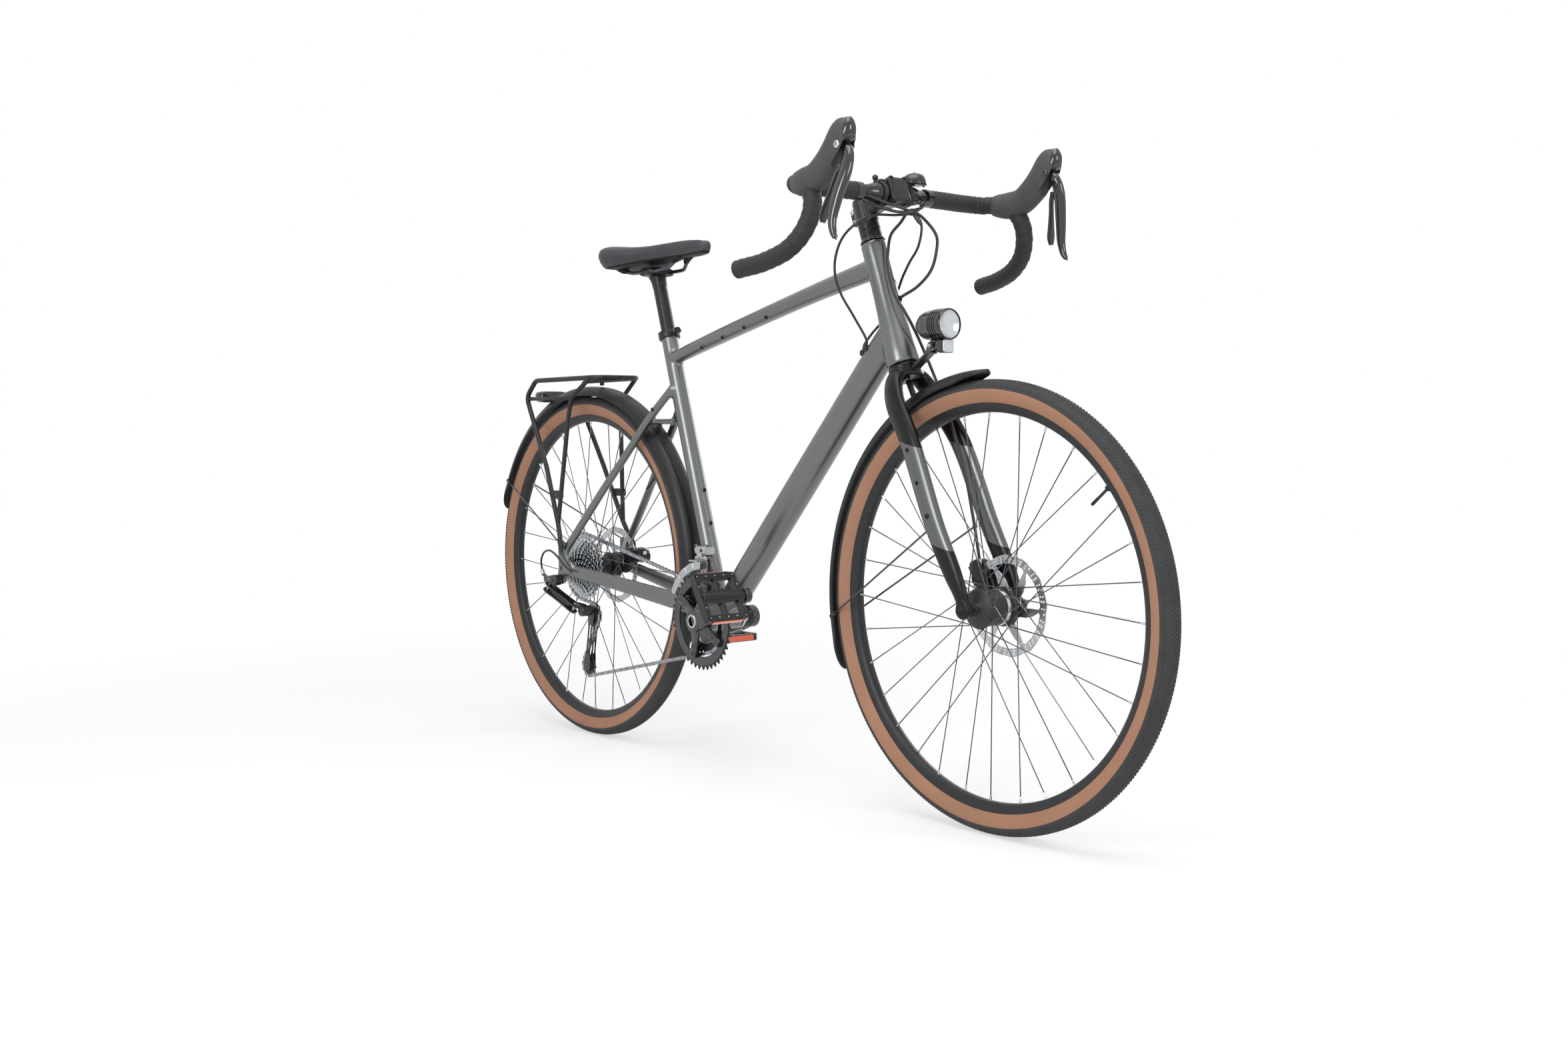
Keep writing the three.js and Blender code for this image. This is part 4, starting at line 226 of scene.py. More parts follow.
def finish(name, colour, rough, metal=0.0, shade=(25, 0.12), gloss=(60, 0.05), bump=None,
           coat=None, specular=0.5):
    """A node finish: colour runs between darker and lighter tints of itself, and roughness
    and height follow their own noise. shade and gloss are (scale, amount), and coat is
    (weight, roughness). bump is (scale, distance), then a strength, then True where small
    cells take the noise's place."""
    mat = bpy.data.materials.new(name)
    mat.use_nodes = True
    tree = mat.node_tree
    shader = tree.nodes["Principled BSDF"]
    base = linear(colour)
    place = add_node(tree, "TexCoord").outputs["Object"]

    def noise(scale, detail=3):
        """A noise over the object's own coordinates."""
        made_noise = add_node(tree, "TexNoise", {"Vector": place}, {"Scale": scale, "Detail": detail})
        return made_noise.outputs["Fac"]

    tints = add_node(tree, "ValToRGB", {"Fac": noise(shade[0], 5)})
    ends = ((0.3, base * (1 - shade[1])), (0.7, np.minimum(base * (1 + shade[1]), 1)))
    for element, (position, tint) in zip(tints.color_ramp.elements, ends):
        element.position = position
        element.color = (*tint, 1)
    tree.links.new(tints.outputs["Color"], shader.inputs["Base Color"])
    spread = add_node(tree, "MapRange", {"Value": noise(gloss[0])},
                      {"To Min": max(rough - gloss[1], 0.02), "To Max": min(rough + gloss[1], 1)})
    tree.links.new(spread.outputs["Result"], shader.inputs["Roughness"])
    if bump:
        scale, height, strength, cells = (*bump, *(0.6, False)[len(bump) - 2:])
        if cells:
            grain = add_node(tree, "TexVoronoi", {"Vector": place}, {"Scale": scale}).outputs["Distance"]
        else:
            grain = noise(scale, 6)
        push = add_node(tree, "Bump", {"Height": grain}, {"Distance": height, "Strength": strength})
        tree.links.new(push.outputs["Normal"], shader.inputs["Normal"])
    shader.inputs["Metallic"].default_value = metal
    shader.inputs["Specular IOR Level"].default_value = specular
    if coat:
        shader.inputs["Coat Weight"].default_value = coat[0]
        shader.inputs["Coat Roughness"].default_value = coat[1]
    return mat


satin_black = finish("satin_black", "#1b1c1e", 0.36, 0.35, (40, 0.15), (90, 0.06), (900, 0.00002))
gloss_black = finish("gloss_black", "#0d0e10", 0.16, 0.0, (30, 0.2), (40, 0.04), coat=(0.6, 0.06))
moulded_black = finish("moulded_black", "#1a1b1c", 0.5, 0.0, (60, 0.12), (200, 0.06),
                       (1600, 0.00005))
bright_metal = finish("bright_metal", "#c3c5c8", 0.22, 1.0, (50, 0.08), (120, 0.06),
                      (500, 0.00001))
dark_metal = finish("dark_metal", "#55585c", 0.34, 0.95, (60, 0.15), (120, 0.08),
                    (700, 0.00002))
print("finishes:", len(bpy.data.materials))

# %% [markdown]
# All new surfaces start as grids of points. The helpers below turn them into meshes: they
# list the quads between neighbouring grid points, close a skin with a pole at each end, sweep
# a ring along a path, and turn a profile round an axis.

# %% Grids and skins
def quads(rows, cols, loop_rows=False):
    """Corner numbers of the quads between row r, r+1 and column c, c+1 of a grid."""
    r = np.arange(rows if loop_rows else rows - 1)[:, None]
    c = np.arange(cols)[None, :]
    r2, c2 = (r + 1) % rows, (c + 1) % cols
    square = [r * cols + c, r * cols + c2, r2 * cols + c2, r2 * cols + c]
    return np.stack([q + 0 * square[2] for q in square], -1).reshape(-1, 4)


def skin(grid, look, loop=False, poles=None):
    """A closed skin over a grid of rings; without a loop each end ring closes to a pole."""
    rows, cols = grid.shape[:2]
    points, faces = grid.reshape(-1, 3), [quads(rows, cols, loop)]
    if not loop:
        first, last = poles if poles is not None else (grid[0].mean(0), grid[-1].mean(0))
        points = np.vstack([points, first, last])
        i, n = np.arange(cols), rows * cols
        j = (i + 1) % cols
        faces.append(np.stack([np.full(cols, n), j, i], -1))
        faces.append(np.stack([np.full(cols, n + 1), n - cols + i, n - cols + j], -1))
    return points, faces, look


def line_through(points, step):
    """A smooth line: a cubic between each two points, whose slopes come from the neighbours.
    Columns after the first three, such as radii, are carried along."""
    p = np.asarray(points, float)
    gaps = np.linalg.norm(np.diff(p[:, :3], axis=0), axis=1)
    knots = np.concatenate([[0], np.cumsum(np.sqrt(gaps))])
    slope = np.gradient(p, knots, axis=0)
    counts = np.maximum(np.ceil(gaps / step).astype(int), 1)
    u = np.concatenate([np.linspace(knots[i], knots[i + 1], n, endpoint=False)
                        for i, n in enumerate(counts)] + [knots[-1:]])
    i = np.clip(np.searchsorted(knots, u, side="right") - 1, 0, len(knots) - 2)
    h = (knots[i + 1] - knots[i])[:, None]
    t = (u[:, None] - knots[i][:, None]) / h
    return ((2 * t**3 - 3 * t**2 + 1) * p[i] + (t**3 - 2 * t**2 + t) * h * slope[i]
            + (3 * t**2 - 2 * t**3) * p[i + 1] + (t**3 - t**2) * h * slope[i + 1])


def flat_line(points, step):
    """A smooth line through flat points."""
    points = np.asarray(points, float)
    return line_through(np.column_stack([points, np.zeros(len(points))]), step)[:, :2]


def crosswise(route, across):
    """Two directions square to a route at each of its points: the first is nearly across."""
    ahead = unit(np.gradient(route, axis=0))
    side = unit(across - ahead * (ahead @ across)[:, None])
    return side, np.cross(ahead, side)


def carried(route):
    """The same for a route that bends any way: the first cross direction is carried on."""
    ahead = unit(np.gradient(route, axis=0))
    side = [unit(np.cross(ahead[0], UP if abs(ahead[0, 2]) < 0.8 else LEFT))]
    for a in ahead[1:]:
        side.append(unit(side[-1] - a * (side[-1] @ a)))
    side = np.array(side)
    return side, np.cross(ahead, side)


def raised(values, power):
    """Each value's size raised to a power, with its own sign."""
    return np.sign(values) * abs(values) ** power


def rings(route, side, deep, wide, tall, c, s):
    """Points route + wide c side + tall s deep, one ring for each point of the route."""
    wide, tall = [np.broadcast_to(np.asarray(v, float), len(route))[:, None, None] for v in (wide, tall)]
    return (route[:, None] + wide * c[None, :, None] * side[:, None]
            + tall * s[None, :, None] * deep[:, None])


def sweep(route, side_size, deep_size, look, around=24, fullness=1.0, across=LEFT, free=False):
    """Rings along a route: side times the cosine and deep times the sine, each raised to
    the fullness, so that a low fullness gives a rounded box."""
    route = np.asarray(route, float)
    side, deep = carried(route) if free else crosswise(route, across)
    a = full_turn(around)
    c, s = raised(np.cos(a), fullness), raised(np.sin(a), fullness)
    return skin(rings(route, side, deep, side_size, deep_size, c, s), look)


def loft(stations, look, around=32, fullness=1.0, step=5, across=LEFT):
    """A swept skin through stations of x, y, z, side size and deep size."""
    s = line_through(stations, step)
    return sweep(s[:, :3], s[:, 3], s[:, 4], look, around, fullness, across)


def rod(a, b, radius, look, around=16):
    """A round bar from one point to another, with softened ends."""
    a, b = np.asarray(a, float), np.asarray(b, float)
    length = np.linalg.norm(b - a)
    soft = min(0.18 * radius, length / 4)
    t = np.array([0, soft / length, 1 - soft / length, 1])
    r = np.array([radius - soft, radius, radius, radius - soft])
    return sweep(a + (b - a) * t[:, None], r, r, look, around, free=True)


def turned(profile, at, axis, look, around=64):
    """A profile of [radius, distance] turned round an axis; where a profile starts or ends
    on the axis it closes in a pole, and otherwise it closes on itself."""
    profile, at, axis = np.asarray(profile, float), np.asarray(at, float), unit(axis)
    first = unit(np.cross(axis, UP if abs(axis[2]) < 0.8 else LEFT))
    second = np.cross(axis, first)
    a = full_turn(around)[None, :, None]
    rows = profile[profile[:, 0] > 0]
    grid = (at + rows[:, None, :1] * (np.cos(a) * first + np.sin(a) * second)
            + rows[:, None, 1:] * axis)
    if len(rows) == len(profile):
        return skin(grid, look, loop=True)
    return skin(grid, look, poles=(at + profile[0, 1] * axis, at + profile[-1, 1] * axis))


def softened(corners, size, closed=True, extra=2):
    """Corners rounded off: each gives way to a short curve between its two edges."""
    c = np.asarray(corners, float)
    n, result = len(c), []
    for i in range(n):
        if not closed and i in (0, n - 1):
            result.append(c[i])
            continue
        back, ahead = c[i - 1] - c[i], c[(i + 1) % n] - c[i]
        cut = min(size, np.linalg.norm(back) / 2.2, np.linalg.norm(ahead) / 2.2)
        p, q = c[i] + unit(back) * cut, c[i] + unit(ahead) * cut
        for t in np.linspace(0, 1, extra + 1):
            result.append((1 - t) ** 2 * p + 2 * t * (1 - t) * c[i] + t * t * q)
    return np.array(result)


def hoop(at, axis, inner, outer, half, look, around, soft):
    """A ring with softened edges, as wide as two halves along its axis."""
    profile = softened([[inner, -half], [outer, -half], [outer, half], [inner, half]], soft)
    return turned(profile, at, axis, look, around)


def circle(x, z, radius, count=32):
    """A flat outline of a round hole or rim."""
    return polar((x, z), radius, full_turn(count))


# %% [markdown]
# Cogs, discs and cage plates are cut from sheet. Blender fills a flat curve with holes by
# itself and can bevel its edge, which is the quickest way to a plate with many holes. The
# helper reads the filled curve back as points and faces, so it joins the other parts.

# %% Plates and the mesh maker
made = {}


def points_of(mesh):
    """A mesh's points as rows of an array."""
    values = np.zeros(len(mesh.vertices) * 3)
    mesh.vertices.foreach_get("co", values)
    return values.reshape(-1, 3)


def plate(outlines, thickness, offset, look, edge=0.25):
    """A plate in the plane of the bicycle: the first outline is the rim, others are holes."""
    data = bpy.data.curves.new("outline", "CURVE")
    data.dimensions, data.fill_mode = "2D", "BOTH"
    data.extrude, data.bevel_depth = max(thickness / 2 - edge, 0.01), edge
    data.bevel_resolution, data.offset = 0, -edge
    for line in outlines:
        spline = data.splines.new("POLY")
        spline.points.add(len(line) - 1)
        flat = np.column_stack([line, np.zeros(len(line)), np.ones(len(line))])
        spline.points.foreach_set("co", flat.ravel())
        spline.use_cyclic_u = True
    holder = bpy.data.objects.new("outline", data)
    mesh = bpy.data.meshes.new_from_object(holder)
    co = points_of(mesh)
    faces = [tuple(f.vertices) for f in mesh.polygons]
    bpy.data.objects.remove(holder)
    bpy.data.meshes.remove(mesh)
    bpy.data.curves.remove(data)
    return np.stack([co[:, 0], offset + co[:, 2], co[:, 1]], -1), [faces], look


def mirrored(part):
    """The same part on the other side of the bicycle: y changes sign and faces turn over."""
    points, groups, look = part
    flipped = [[tuple(f)[::-1] for f in g] for g in groups]
    return np.asarray(points) * (1, -1, 1), flipped, look


def both_sides(*parts):
    """Parts and their mirror images."""
    return [*parts, *[mirrored(part) for part in parts]]


def piece(name, parts, body, nodes=(), slot=None, angle=38, merge=True):
    """One object from parts of points, faces and finish, riding on a body."""
    looks, points, faces, marks, start = [], [], [], [], 0
    for part_points, groups, look in parts:
        if look not in looks:
            looks.append(look)
        for group in groups:
            rows = (np.asarray(group) + start).tolist() if isinstance(group, np.ndarray) else \
                [[i + start for i in f] for f in group]
            faces += rows
            marks += [looks.index(look)] * len(rows)
        points.append(np.asarray(part_points, float))
        start += len(part_points)
    mesh = bpy.data.meshes.new(name)
    mesh.from_pydata(metres(np.vstack(points)).tolist(), [], faces)
    for look in looks:
        mesh.materials.append(look)
    mesh.polygons.foreach_set("material_index", marks)
    work = bmesh.new()
    work.from_mesh(mesh)
    if merge:
        bmesh.ops.remove_doubles(work, verts=work.verts, dist=0.000002)
    bmesh.ops.recalc_face_normals(work, faces=work.faces)
    work.to_mesh(mesh)
    work.free()
    mesh.shade_smooth()
    mesh.set_sharp_from_angle(angle=math.radians(angle))
    obj = bpy.data.objects.new(name, mesh)
    bpy.context.scene.collection.objects.link(obj)
    if body:
        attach(obj, body)
    if nodes:
        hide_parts(*nodes)
    made[name] = len(mesh.polygons)
    return obj


def pair(name, parts, body, node, slot, **rest):
    """The left piece and its mirror image on the right; braces stand for the side's name."""
    piece(name + "_left", parts, body.format("left"), [node.format("left")], slot, **rest)
    piece(name + "_right", [mirrored(part) for part in parts], body.format("right"),
          [node.format("right")], slot, **rest)


# %% [markdown]
# Each wheel is a 622 millimetre rim with a 40 millimetre tyre. The casing of a real tyre is
# a round bag, brown at the sides where the cloth shows and black where the tread lies. Here
# a closed section goes once round the axle, and the columns of that grid pick the finish.

# %% Wheel finishes
tread_rubber = finish("tread_rubber", "#343434", 0.78, 0, (30, 0.15), (80, 0.08), (900, 0.0001))
tan_side = finish("tan_side", "#9c7158", 0.72, 0, (14, 0.07), (60, 0.06), (1500, 0.00006))
rim_black = finish("rim_black", "#202123", 0.42, 0.3, (40, 0.1), (90, 0.07), (800, 0.00002))
spoke_steel = finish("spoke_steel", "#5c5f63", 0.3, 1.0, (90, 0.15), (90, 0.08))
disc_steel = finish("disc_steel", "#b9bbbd", 0.3, 1.0, (25, 0.06), (200, 0.1), (900, 0.00002))

# %% Tyres
AXLE_HEIGHT = 350.0
FRONT_AXLE, REAR_AXLE = spot(567.5, 0, AXLE_HEIGHT), spot(-567.5, 0, AXLE_HEIGHT)
CASING_HALF = [[7.6, 311.6], [10.5, 313.2], [14.2, 317], [17.6, 322.5], [19.6, 328.5],
               [20, 333.5], [19.1, 338.6], [16.6, 343.2], [12.6, 346.4], [7.2, 348.3],
               [0, 348.9]]
BEADS = [[6.0, 311.4], [0, 311.4], [-6.0, 311.4]]
TREAD_EDGE, TYRE_RADIUS, TREAD_HEIGHT = 334.2, 350, 1.7
KNOBS_ROUND, KNOB_NARROWING = 344, 0.72
# Rows of knobs: distance from the middle, whether shifted half a step, half size, foot radius.
KNOB_ROWS = [(0.0, 0, 2.5, 348.6), (4.9, 1, 2.5, 348.2), (9.6, 0, 2.6, 346.9),
             (13.9, 1, 2.7, 344.3), (17.3, 0, 2.6, 340.9)]


def tyre(axle):
    """Casing: the section (y, r) goes round the axle, x = r cos a and z = r sin a. Tread
    blocks stand on it in rows; each is a six-sided block that narrows outward."""
    half = np.array(CASING_HALF)
    section = np.vstack([flat_line(np.vstack([half * (-1, 1), half[-2::-1]]), 2.2), BEADS])
    a = full_turn(240)[:, None]
    y, r = section[:, 0][None], section[:, 1][None]
    grid = np.stack([axle[0] + r * np.cos(a), y + 0 * a, axle[2] + r * np.sin(a)], -1)
    points, faces = grid.reshape(-1, 3), quads(*grid.shape[:2], loop_rows=True)
    column = faces[:, 0] % len(section)
    dark = (section[:, 1] > TREAD_EDGE)[column]
    parts = [(points, [faces[dark]], tread_rubber), (points, [faces[~dark]], tan_side)]
    blocks = []
    for y0, odd, size, foot in KNOB_ROWS:
        lean = math.asin(min(y0 / 19.5, 0.9)) * 0.82
        for sign in ((1, -1) if y0 else (1,)):
            angle = (np.arange(KNOBS_ROUND) + 0.5 * odd) * 2 * math.pi / KNOBS_ROUND
            out_r, out_y = math.cos(lean), sign * math.sin(lean)
            radial = np.stack([np.cos(angle), 0 * angle, np.sin(angle)], -1)
            tangent = np.stack([-np.sin(angle), 0 * angle, np.cos(angle)], -1)
            normal = radial * out_r + LEFT * out_y
            across = LEFT * out_r - radial * out_y
            base = axle + radial * foot + LEFT * sign * y0
            corner = full_turn(6)
            flat = (np.cos(corner)[None, :, None] * tangent[:, None]
                    + np.sin(corner)[None, :, None] * across[:, None])
            height = min(TREAD_HEIGHT, TYRE_RADIUS - foot)
            low = base[:, None] + flat * size
            high = base[:, None] + flat * size * KNOB_NARROWING + normal[:, None] * height
            blocks.append(np.concatenate([low, high], 1))
    blocks = np.concatenate(blocks)
    first = np.arange(len(blocks))[:, None] * 12
    i = np.arange(6)
    walls = np.stack([i, (i + 1) % 6, (i + 1) % 6 + 6, i + 6], -1)
    sides = (first[:, :, None] + walls[None]).reshape(-1, 4)
    tops, floors = first + i + 6, first + i[::-1]
    parts.append((blocks.reshape(-1, 3), [sides, tops, floors], tread_rubber))
    return parts


piece("tyre_front", tyre(FRONT_AXLE), "front_wheel", ["front_tyre"], "tread_rubber")
piece("tyre_rear", tyre(REAR_AXLE), "rear_wheel", ["rear_tyre"], "tread_rubber")
print("tyre faces:", made["tyre_front"])

# %% [markdown]
# The rim is a hollow black hoop with a softened inner edge. Its section turns round the
# axle. A round valve stands inward, with a threaded stem, a lock ring and a small cap, and
# a silver nipple ends each spoke.

# %% Rims
VALVE_ANGLE = math.radians(39.4)


def rim_hoop(axle):
    """A rim: half of its section as [radius, distance from the middle], mirrored and turned."""
    half = [[299.6, 0], [299.8, 4.2], [301.4, 7.2], [305.5, 9.4], [311.0, 11.3], [316.0, 12.4],
            [317.4, 12.3], [317.6, 11.4], [314.0, 10.4], [311.2, 8.6]]
    section = np.array([[r, -y] for r, y in half[:0:-1]] + half)
    section = np.vstack([section, [[310.0, 6.5], [309.6, 0], [310.0, -6.5]]])
    hoop = turned(section, axle, LEFT, rim_black, 200)
    stem = turned([[0, 257.6], [1.6, 257.6], [2.5, 258.6], [2.5, 272], [1.9, 273.6]]
                  + [[2.0 + 0.35 * (k % 2), 274 + 0.9 * k] for k in range(22)]
                  + [[4.6, 294.6], [4.6, 298.6], [3.2, 299.8], [3.0, 301.2], [0, 301.2]],
                  axle, in_plane(VALVE_ANGLE), satin_black, 20)
    return [hoop, stem]


piece("rim_front", rim_hoop(FRONT_AXLE), "front_wheel", ["front_rim"], "black_metal")
piece("rim_rear", rim_hoop(REAR_AXLE), "rear_wheel", ["rear_rim"], "black_metal")

# %% [markdown]
# Thirty-two spokes cross three times on each side. A spoke leaves the flange a quarter turn
# round from where it meets the rim, alternately ahead and behind. Two arrays of end points
# give all the spokes at once, and each spoke is an eight-sided bar.

# %% Spokes and hubs
SPOKES_A_SIDE, RIM_INSIDE = 16, 300.2


def bars(starts, ends, radii, look, around=8):
    """Many straight bars at once; radii lists the radius at each ring from start to end."""
    axis = unit(ends - starts)
    side = unit(np.cross(axis, UP + 0.01 * LEFT))
    deep = np.cross(axis, side)
    a = full_turn(around)
    ring = (np.cos(a)[None, :, None] * side[:, None] + np.sin(a)[None, :, None] * deep[:, None])
    t = np.array([s for s, _ in radii])[None, :, None, None]
    r = np.array([q for _, q in radii])[None, :, None, None]
    grid = (starts[:, None, None] + t * (ends - starts)[:, None, None] + r * ring[:, None])
    n, rows = grid.shape[:2]
    one = quads(rows, around)
    caps = [np.arange(around)[::-1], np.arange(around) + (rows - 1) * around]
    first = (np.arange(n) * rows * around)[:, None, None]
    walls = (first + one[None]).reshape(-1, 4)
    lids = np.concatenate([first[:, 0] + c for c in caps])
    return grid.reshape(-1, 3), [walls, lids], look


def laced(axle, flange_y, flange_r, phase):
    """Spokes from rim angles to flange angles three crossings on, with their nipples."""
    i = np.arange(SPOKES_A_SIDE)
    odd = np.where(i % 2, -1, 1)
    at_rim = phase + i * 2 * math.pi / SPOKES_A_SIDE
    at_hub = at_rim + odd * 3 * 2 * math.pi / SPOKES_A_SIDE
    hub_end = axle + np.stack([flange_r * np.cos(at_hub), flange_y + 1.3 * odd,
                               flange_r * np.sin(at_hub)], -1)
    rim_end = axle + np.stack([RIM_INSIDE * np.cos(at_rim),
                               np.full(SPOKES_A_SIDE, np.sign(flange_y) * 2.0),
                               RIM_INSIDE * np.sin(at_rim)], -1)
    length = np.linalg.norm(rim_end - hub_end, axis=1).mean()
    nipple = 1 - 10 / length
    wires = bars(hub_end, rim_end, [(0, 1.0), (0.2, 1.0), (0.22, 0.9), (0.8, 0.9), (0.82, 1.0),
                                    (nipple, 1.0)], spoke_steel)
    nuts = bars(hub_end, rim_end, [(nipple, 1.4), (nipple + 0.006, 1.9), (1, 1.9)], bright_metal)
    heads = bars(hub_end - LEFT * (odd * 1.0)[:, None], hub_end + LEFT * (odd * 1.6)[:, None],
                 [(0, 1.2), (0.6, 1.9), (1, 1.3)], spoke_steel)
    return [wires, nuts, heads]


half_gap = math.pi / SPOKES_A_SIDE
front_shell = [[6.4, -49.6], [9.6, -49.6], [10, -49], [10, -38], [11.5, -36.5], [21, -33.5],
               [27, -31], [30.4, -28.4], [31, -27.4], [31, -24.6], [30.2, -23.8], [27.6, -22.6]]
dynamo = softened(front_shell + [[28, -21.5], [28, 21.5], [27.6, 22.6], [30.2, 23.8],
                                 [31, 24.6], [31, 27.4], [30, 28.4], [24, 36.4], [14.6, 36.9],
                                 [14.6, 39.4], [17.6, 39.6], [18, 40], [17.6, 41.4],
                                 [10.2, 41.6], [10, 42], [10, 49.2], [9.6, 49.6], [6.4, 49.6]],
                  0.8)
band = [[28.1, 8.2], [28.5, 8.6], [28.5, 14.4], [28.1, 14.8], [27.4, 14.8], [27.4, 8.2]]
parts = [turned(dynamo, FRONT_AXLE, LEFT, moulded_black, 72),
         turned(band, FRONT_AXLE, LEFT, bright_metal, 72)]
parts += laced(FRONT_AXLE, -26, 29, 0) + laced(FRONT_AXLE, 26, 29, half_gap)
parts.append(rod((577.5, -33, 351), (577.5, -46, 351), 3.2, moulded_black))
piece("hub_front", parts, "front_wheel", ["front_hub"], "dark_steel")

rear_shell = softened([[6.4, -19.5], [26, -19.5], [27, -18.5], [27, -15.5], [25.6, -14.4],
                       [18.4, -12.4], [17, -9], [15.6, 0], [17, 27], [18.6, 31], [26, 33.6],
                       [27, 34.6], [27, 37.4], [26, 38.4], [17.6, 40.4], [17.4, 46],
                       [24, 53.4], [14.6, 53.8], [14.6, 56.2], [17.6, 56.6], [17.6, 58.2],
                       [10.2, 58.6], [10, 70.2], [9.6, 70.6], [6.4, 70.6]], 0.8)
parts = [turned(rear_shell, REAR_AXLE, LEFT, satin_black, 72)]
parts += laced(REAR_AXLE, -17, 25, 0) + laced(REAR_AXLE, 36, 25, half_gap)
piece("hub_rear", parts, "rear_wheel", ["rear_hub"], "dark_steel")
print("hub and spoke faces:", made["hub_front"], made["hub_rear"])

# %% [markdown]
# A brake disc is laser-cut steel: a wavy outer edge, rows of drilled holes in the band that
# the pads sweep, and slim arms that lean back to a black middle. The wave is a sine of the
# angle with twelve lobes, and the holes sit where its phase says.

# %% Brake discs
DISC_ARMS, DISC_HOLES = 6, 48
# One window between two arms: share of the way to the next arm, and radius.
DISC_WINDOW = [[0.05, 66.4], [0.24, 66.4], [0.45, 66.4], [0.66, 66.4], [0.86, 66.4], [0.93, 63.5],
               [0.84, 52], [0.76, 40], [0.70, 30.5], [0.62, 27.6], [0.4, 27], [0.24, 27.6],
               [0.16, 30.5], [0.13, 40], [0.07, 52], [0.0, 63.5]]


def disc(axle, offset):
    """Outline r = 78.9 + 0.9 sin 12 a + 0.35 sin 24 a; arms are what curved windows leave."""
    a, centre = full_turn(288), axle[[0, 2]]
    lines = [polar(centre, 78.9 + 0.9 * np.sin(12 * a) + 0.35 * np.sin(24 * a), a),
             circle(*centre, 15, 48)]
    for k in range(DISC_HOLES):
        for j, r in enumerate((74.4, 69.9)):
            at = 2 * math.pi * k / DISC_HOLES + (0.5 * (k % 2) + 0.25 * j) * 0.05
            if k % 8 != 7 or j == 0:
                lines.append(circle(*polar(centre, r, at), 1.85 if k % 2 else 1.55, 10))
    share, radius = np.array(DISC_WINDOW).T
    lean = 0.22 * (66.4 - radius) / 40
    lines += [polar(centre, radius, (k + share - lean) * math.pi / 3) for k in range(DISC_ARMS)]
    hold = softened([[15.2, offset + 0.9], [23.6, offset + 0.9], [23.6, offset + 1.5],
                     [15.2, offset + 2.2]], 0.3)
    rivets = []
    for k in range(DISC_ARMS):
        rivet = axle + LEFT * offset + in_plane((k + 0.03) * math.pi / 3) * 26
        rivets.append(rod(rivet - LEFT * 1.2, rivet + LEFT * 1.2, 2.4, dark_metal, 12))
    return [plate(lines, 1.8, offset, disc_steel, 0.2),
            turned(hold, axle, LEFT, satin_black, 48), *rivets]


piece("disc_front", disc(FRONT_AXLE, 38), "front_wheel", ["front_disc"], "steel")
piece("disc_rear", disc(REAR_AXLE, 55), "rear_wheel", ["rear_disc"], "steel")


def through_axle(axle, hub_half, leg, name, body, node):
    """The axle ends in a drilled black head on the left and a threaded end on the right."""
    f = hub_half + 0.3 + leg
    head = softened([[5.2, f + 3.6], [5.2, f + 6.2], [5.6, f + 7], [8.4, f + 7], [9.5, f + 5.8],
                     [9.5, f + 1.0], [9.1, f + 0.3], [6, f + 0.3], [6, f]], 0.4, extra=1)
    bar = np.vstack([[[0, -f], [5.4, -f], [6, -f + 0.7], [6, f]], head[::-1],
                     [[5.2, f + 3.4], [0, f + 3.4]]])
    piece(name, [turned(bar, axle, LEFT, satin_black, 40)], body, [node], "dark_steel")


through_axle(FRONT_AXLE, 50, 15, "axle_front", "steerer", "front_axle")
through_axle(REAR_AXLE, 71, 8, "axle_rear", "chassis", "rear_axle")
print("wheels:", {k: v for k, v in made.items() if "disc" in k or "axle" in k})

# %% [markdown]
# The frame is welded aluminium, and on this bicycle the welds are smoothed, so one tube
# flows into the next. Each tube is swept on its own, with a section that changes along it.
# All the tubes then go through one voxel remesh, which gives a single skin, and a few
# rounds of smoothing turn the creases where tubes meet into soft fillets.

# %% Frame axes
BOTTOM_BRACKET = spot(-120.927, 0, 277)
SEAT_UP = unit((-math.cos(math.radians(73)), 0, math.sin(math.radians(73))))
SEAT_AHEAD = spot(SEAT_UP[2], 0, -SEAT_UP[0])
HEAD_UP = unit((-math.cos(math.radians(70.4)), 0, math.sin(math.radians(70.4))))
HEAD_AHEAD = spot(HEAD_UP[2], 0, -HEAD_UP[0])
HEAD_BOTTOM = spot(375.8, 0, 727.9)
DROPOUT_Y = 75.3


def on_seat(height):
    """The point on the seat tube's axis at a height above the ground."""
    return BOTTOM_BRACKET + SEAT_UP * (height - BOTTOM_BRACKET[2]) / SEAT_UP[2]


def on_head(distance):
    """The point on the head tube's axis at a distance from its lower end."""
    return HEAD_BOTTOM + HEAD_UP * distance


frame_paint = finish("frame_paint", "#6e716f", 0.3, 0.88, (9, 0.05), (500, 0.06),
                     (2600, 0.00001, 0.25), coat=(0.25, 0.32))
boss_black = finish("boss_black", "#141516", 0.45, 0.4, (60, 0.1), (90, 0.06))
SEAT_TUBE_END = on_seat(815)


SMOOTHING = 0.55


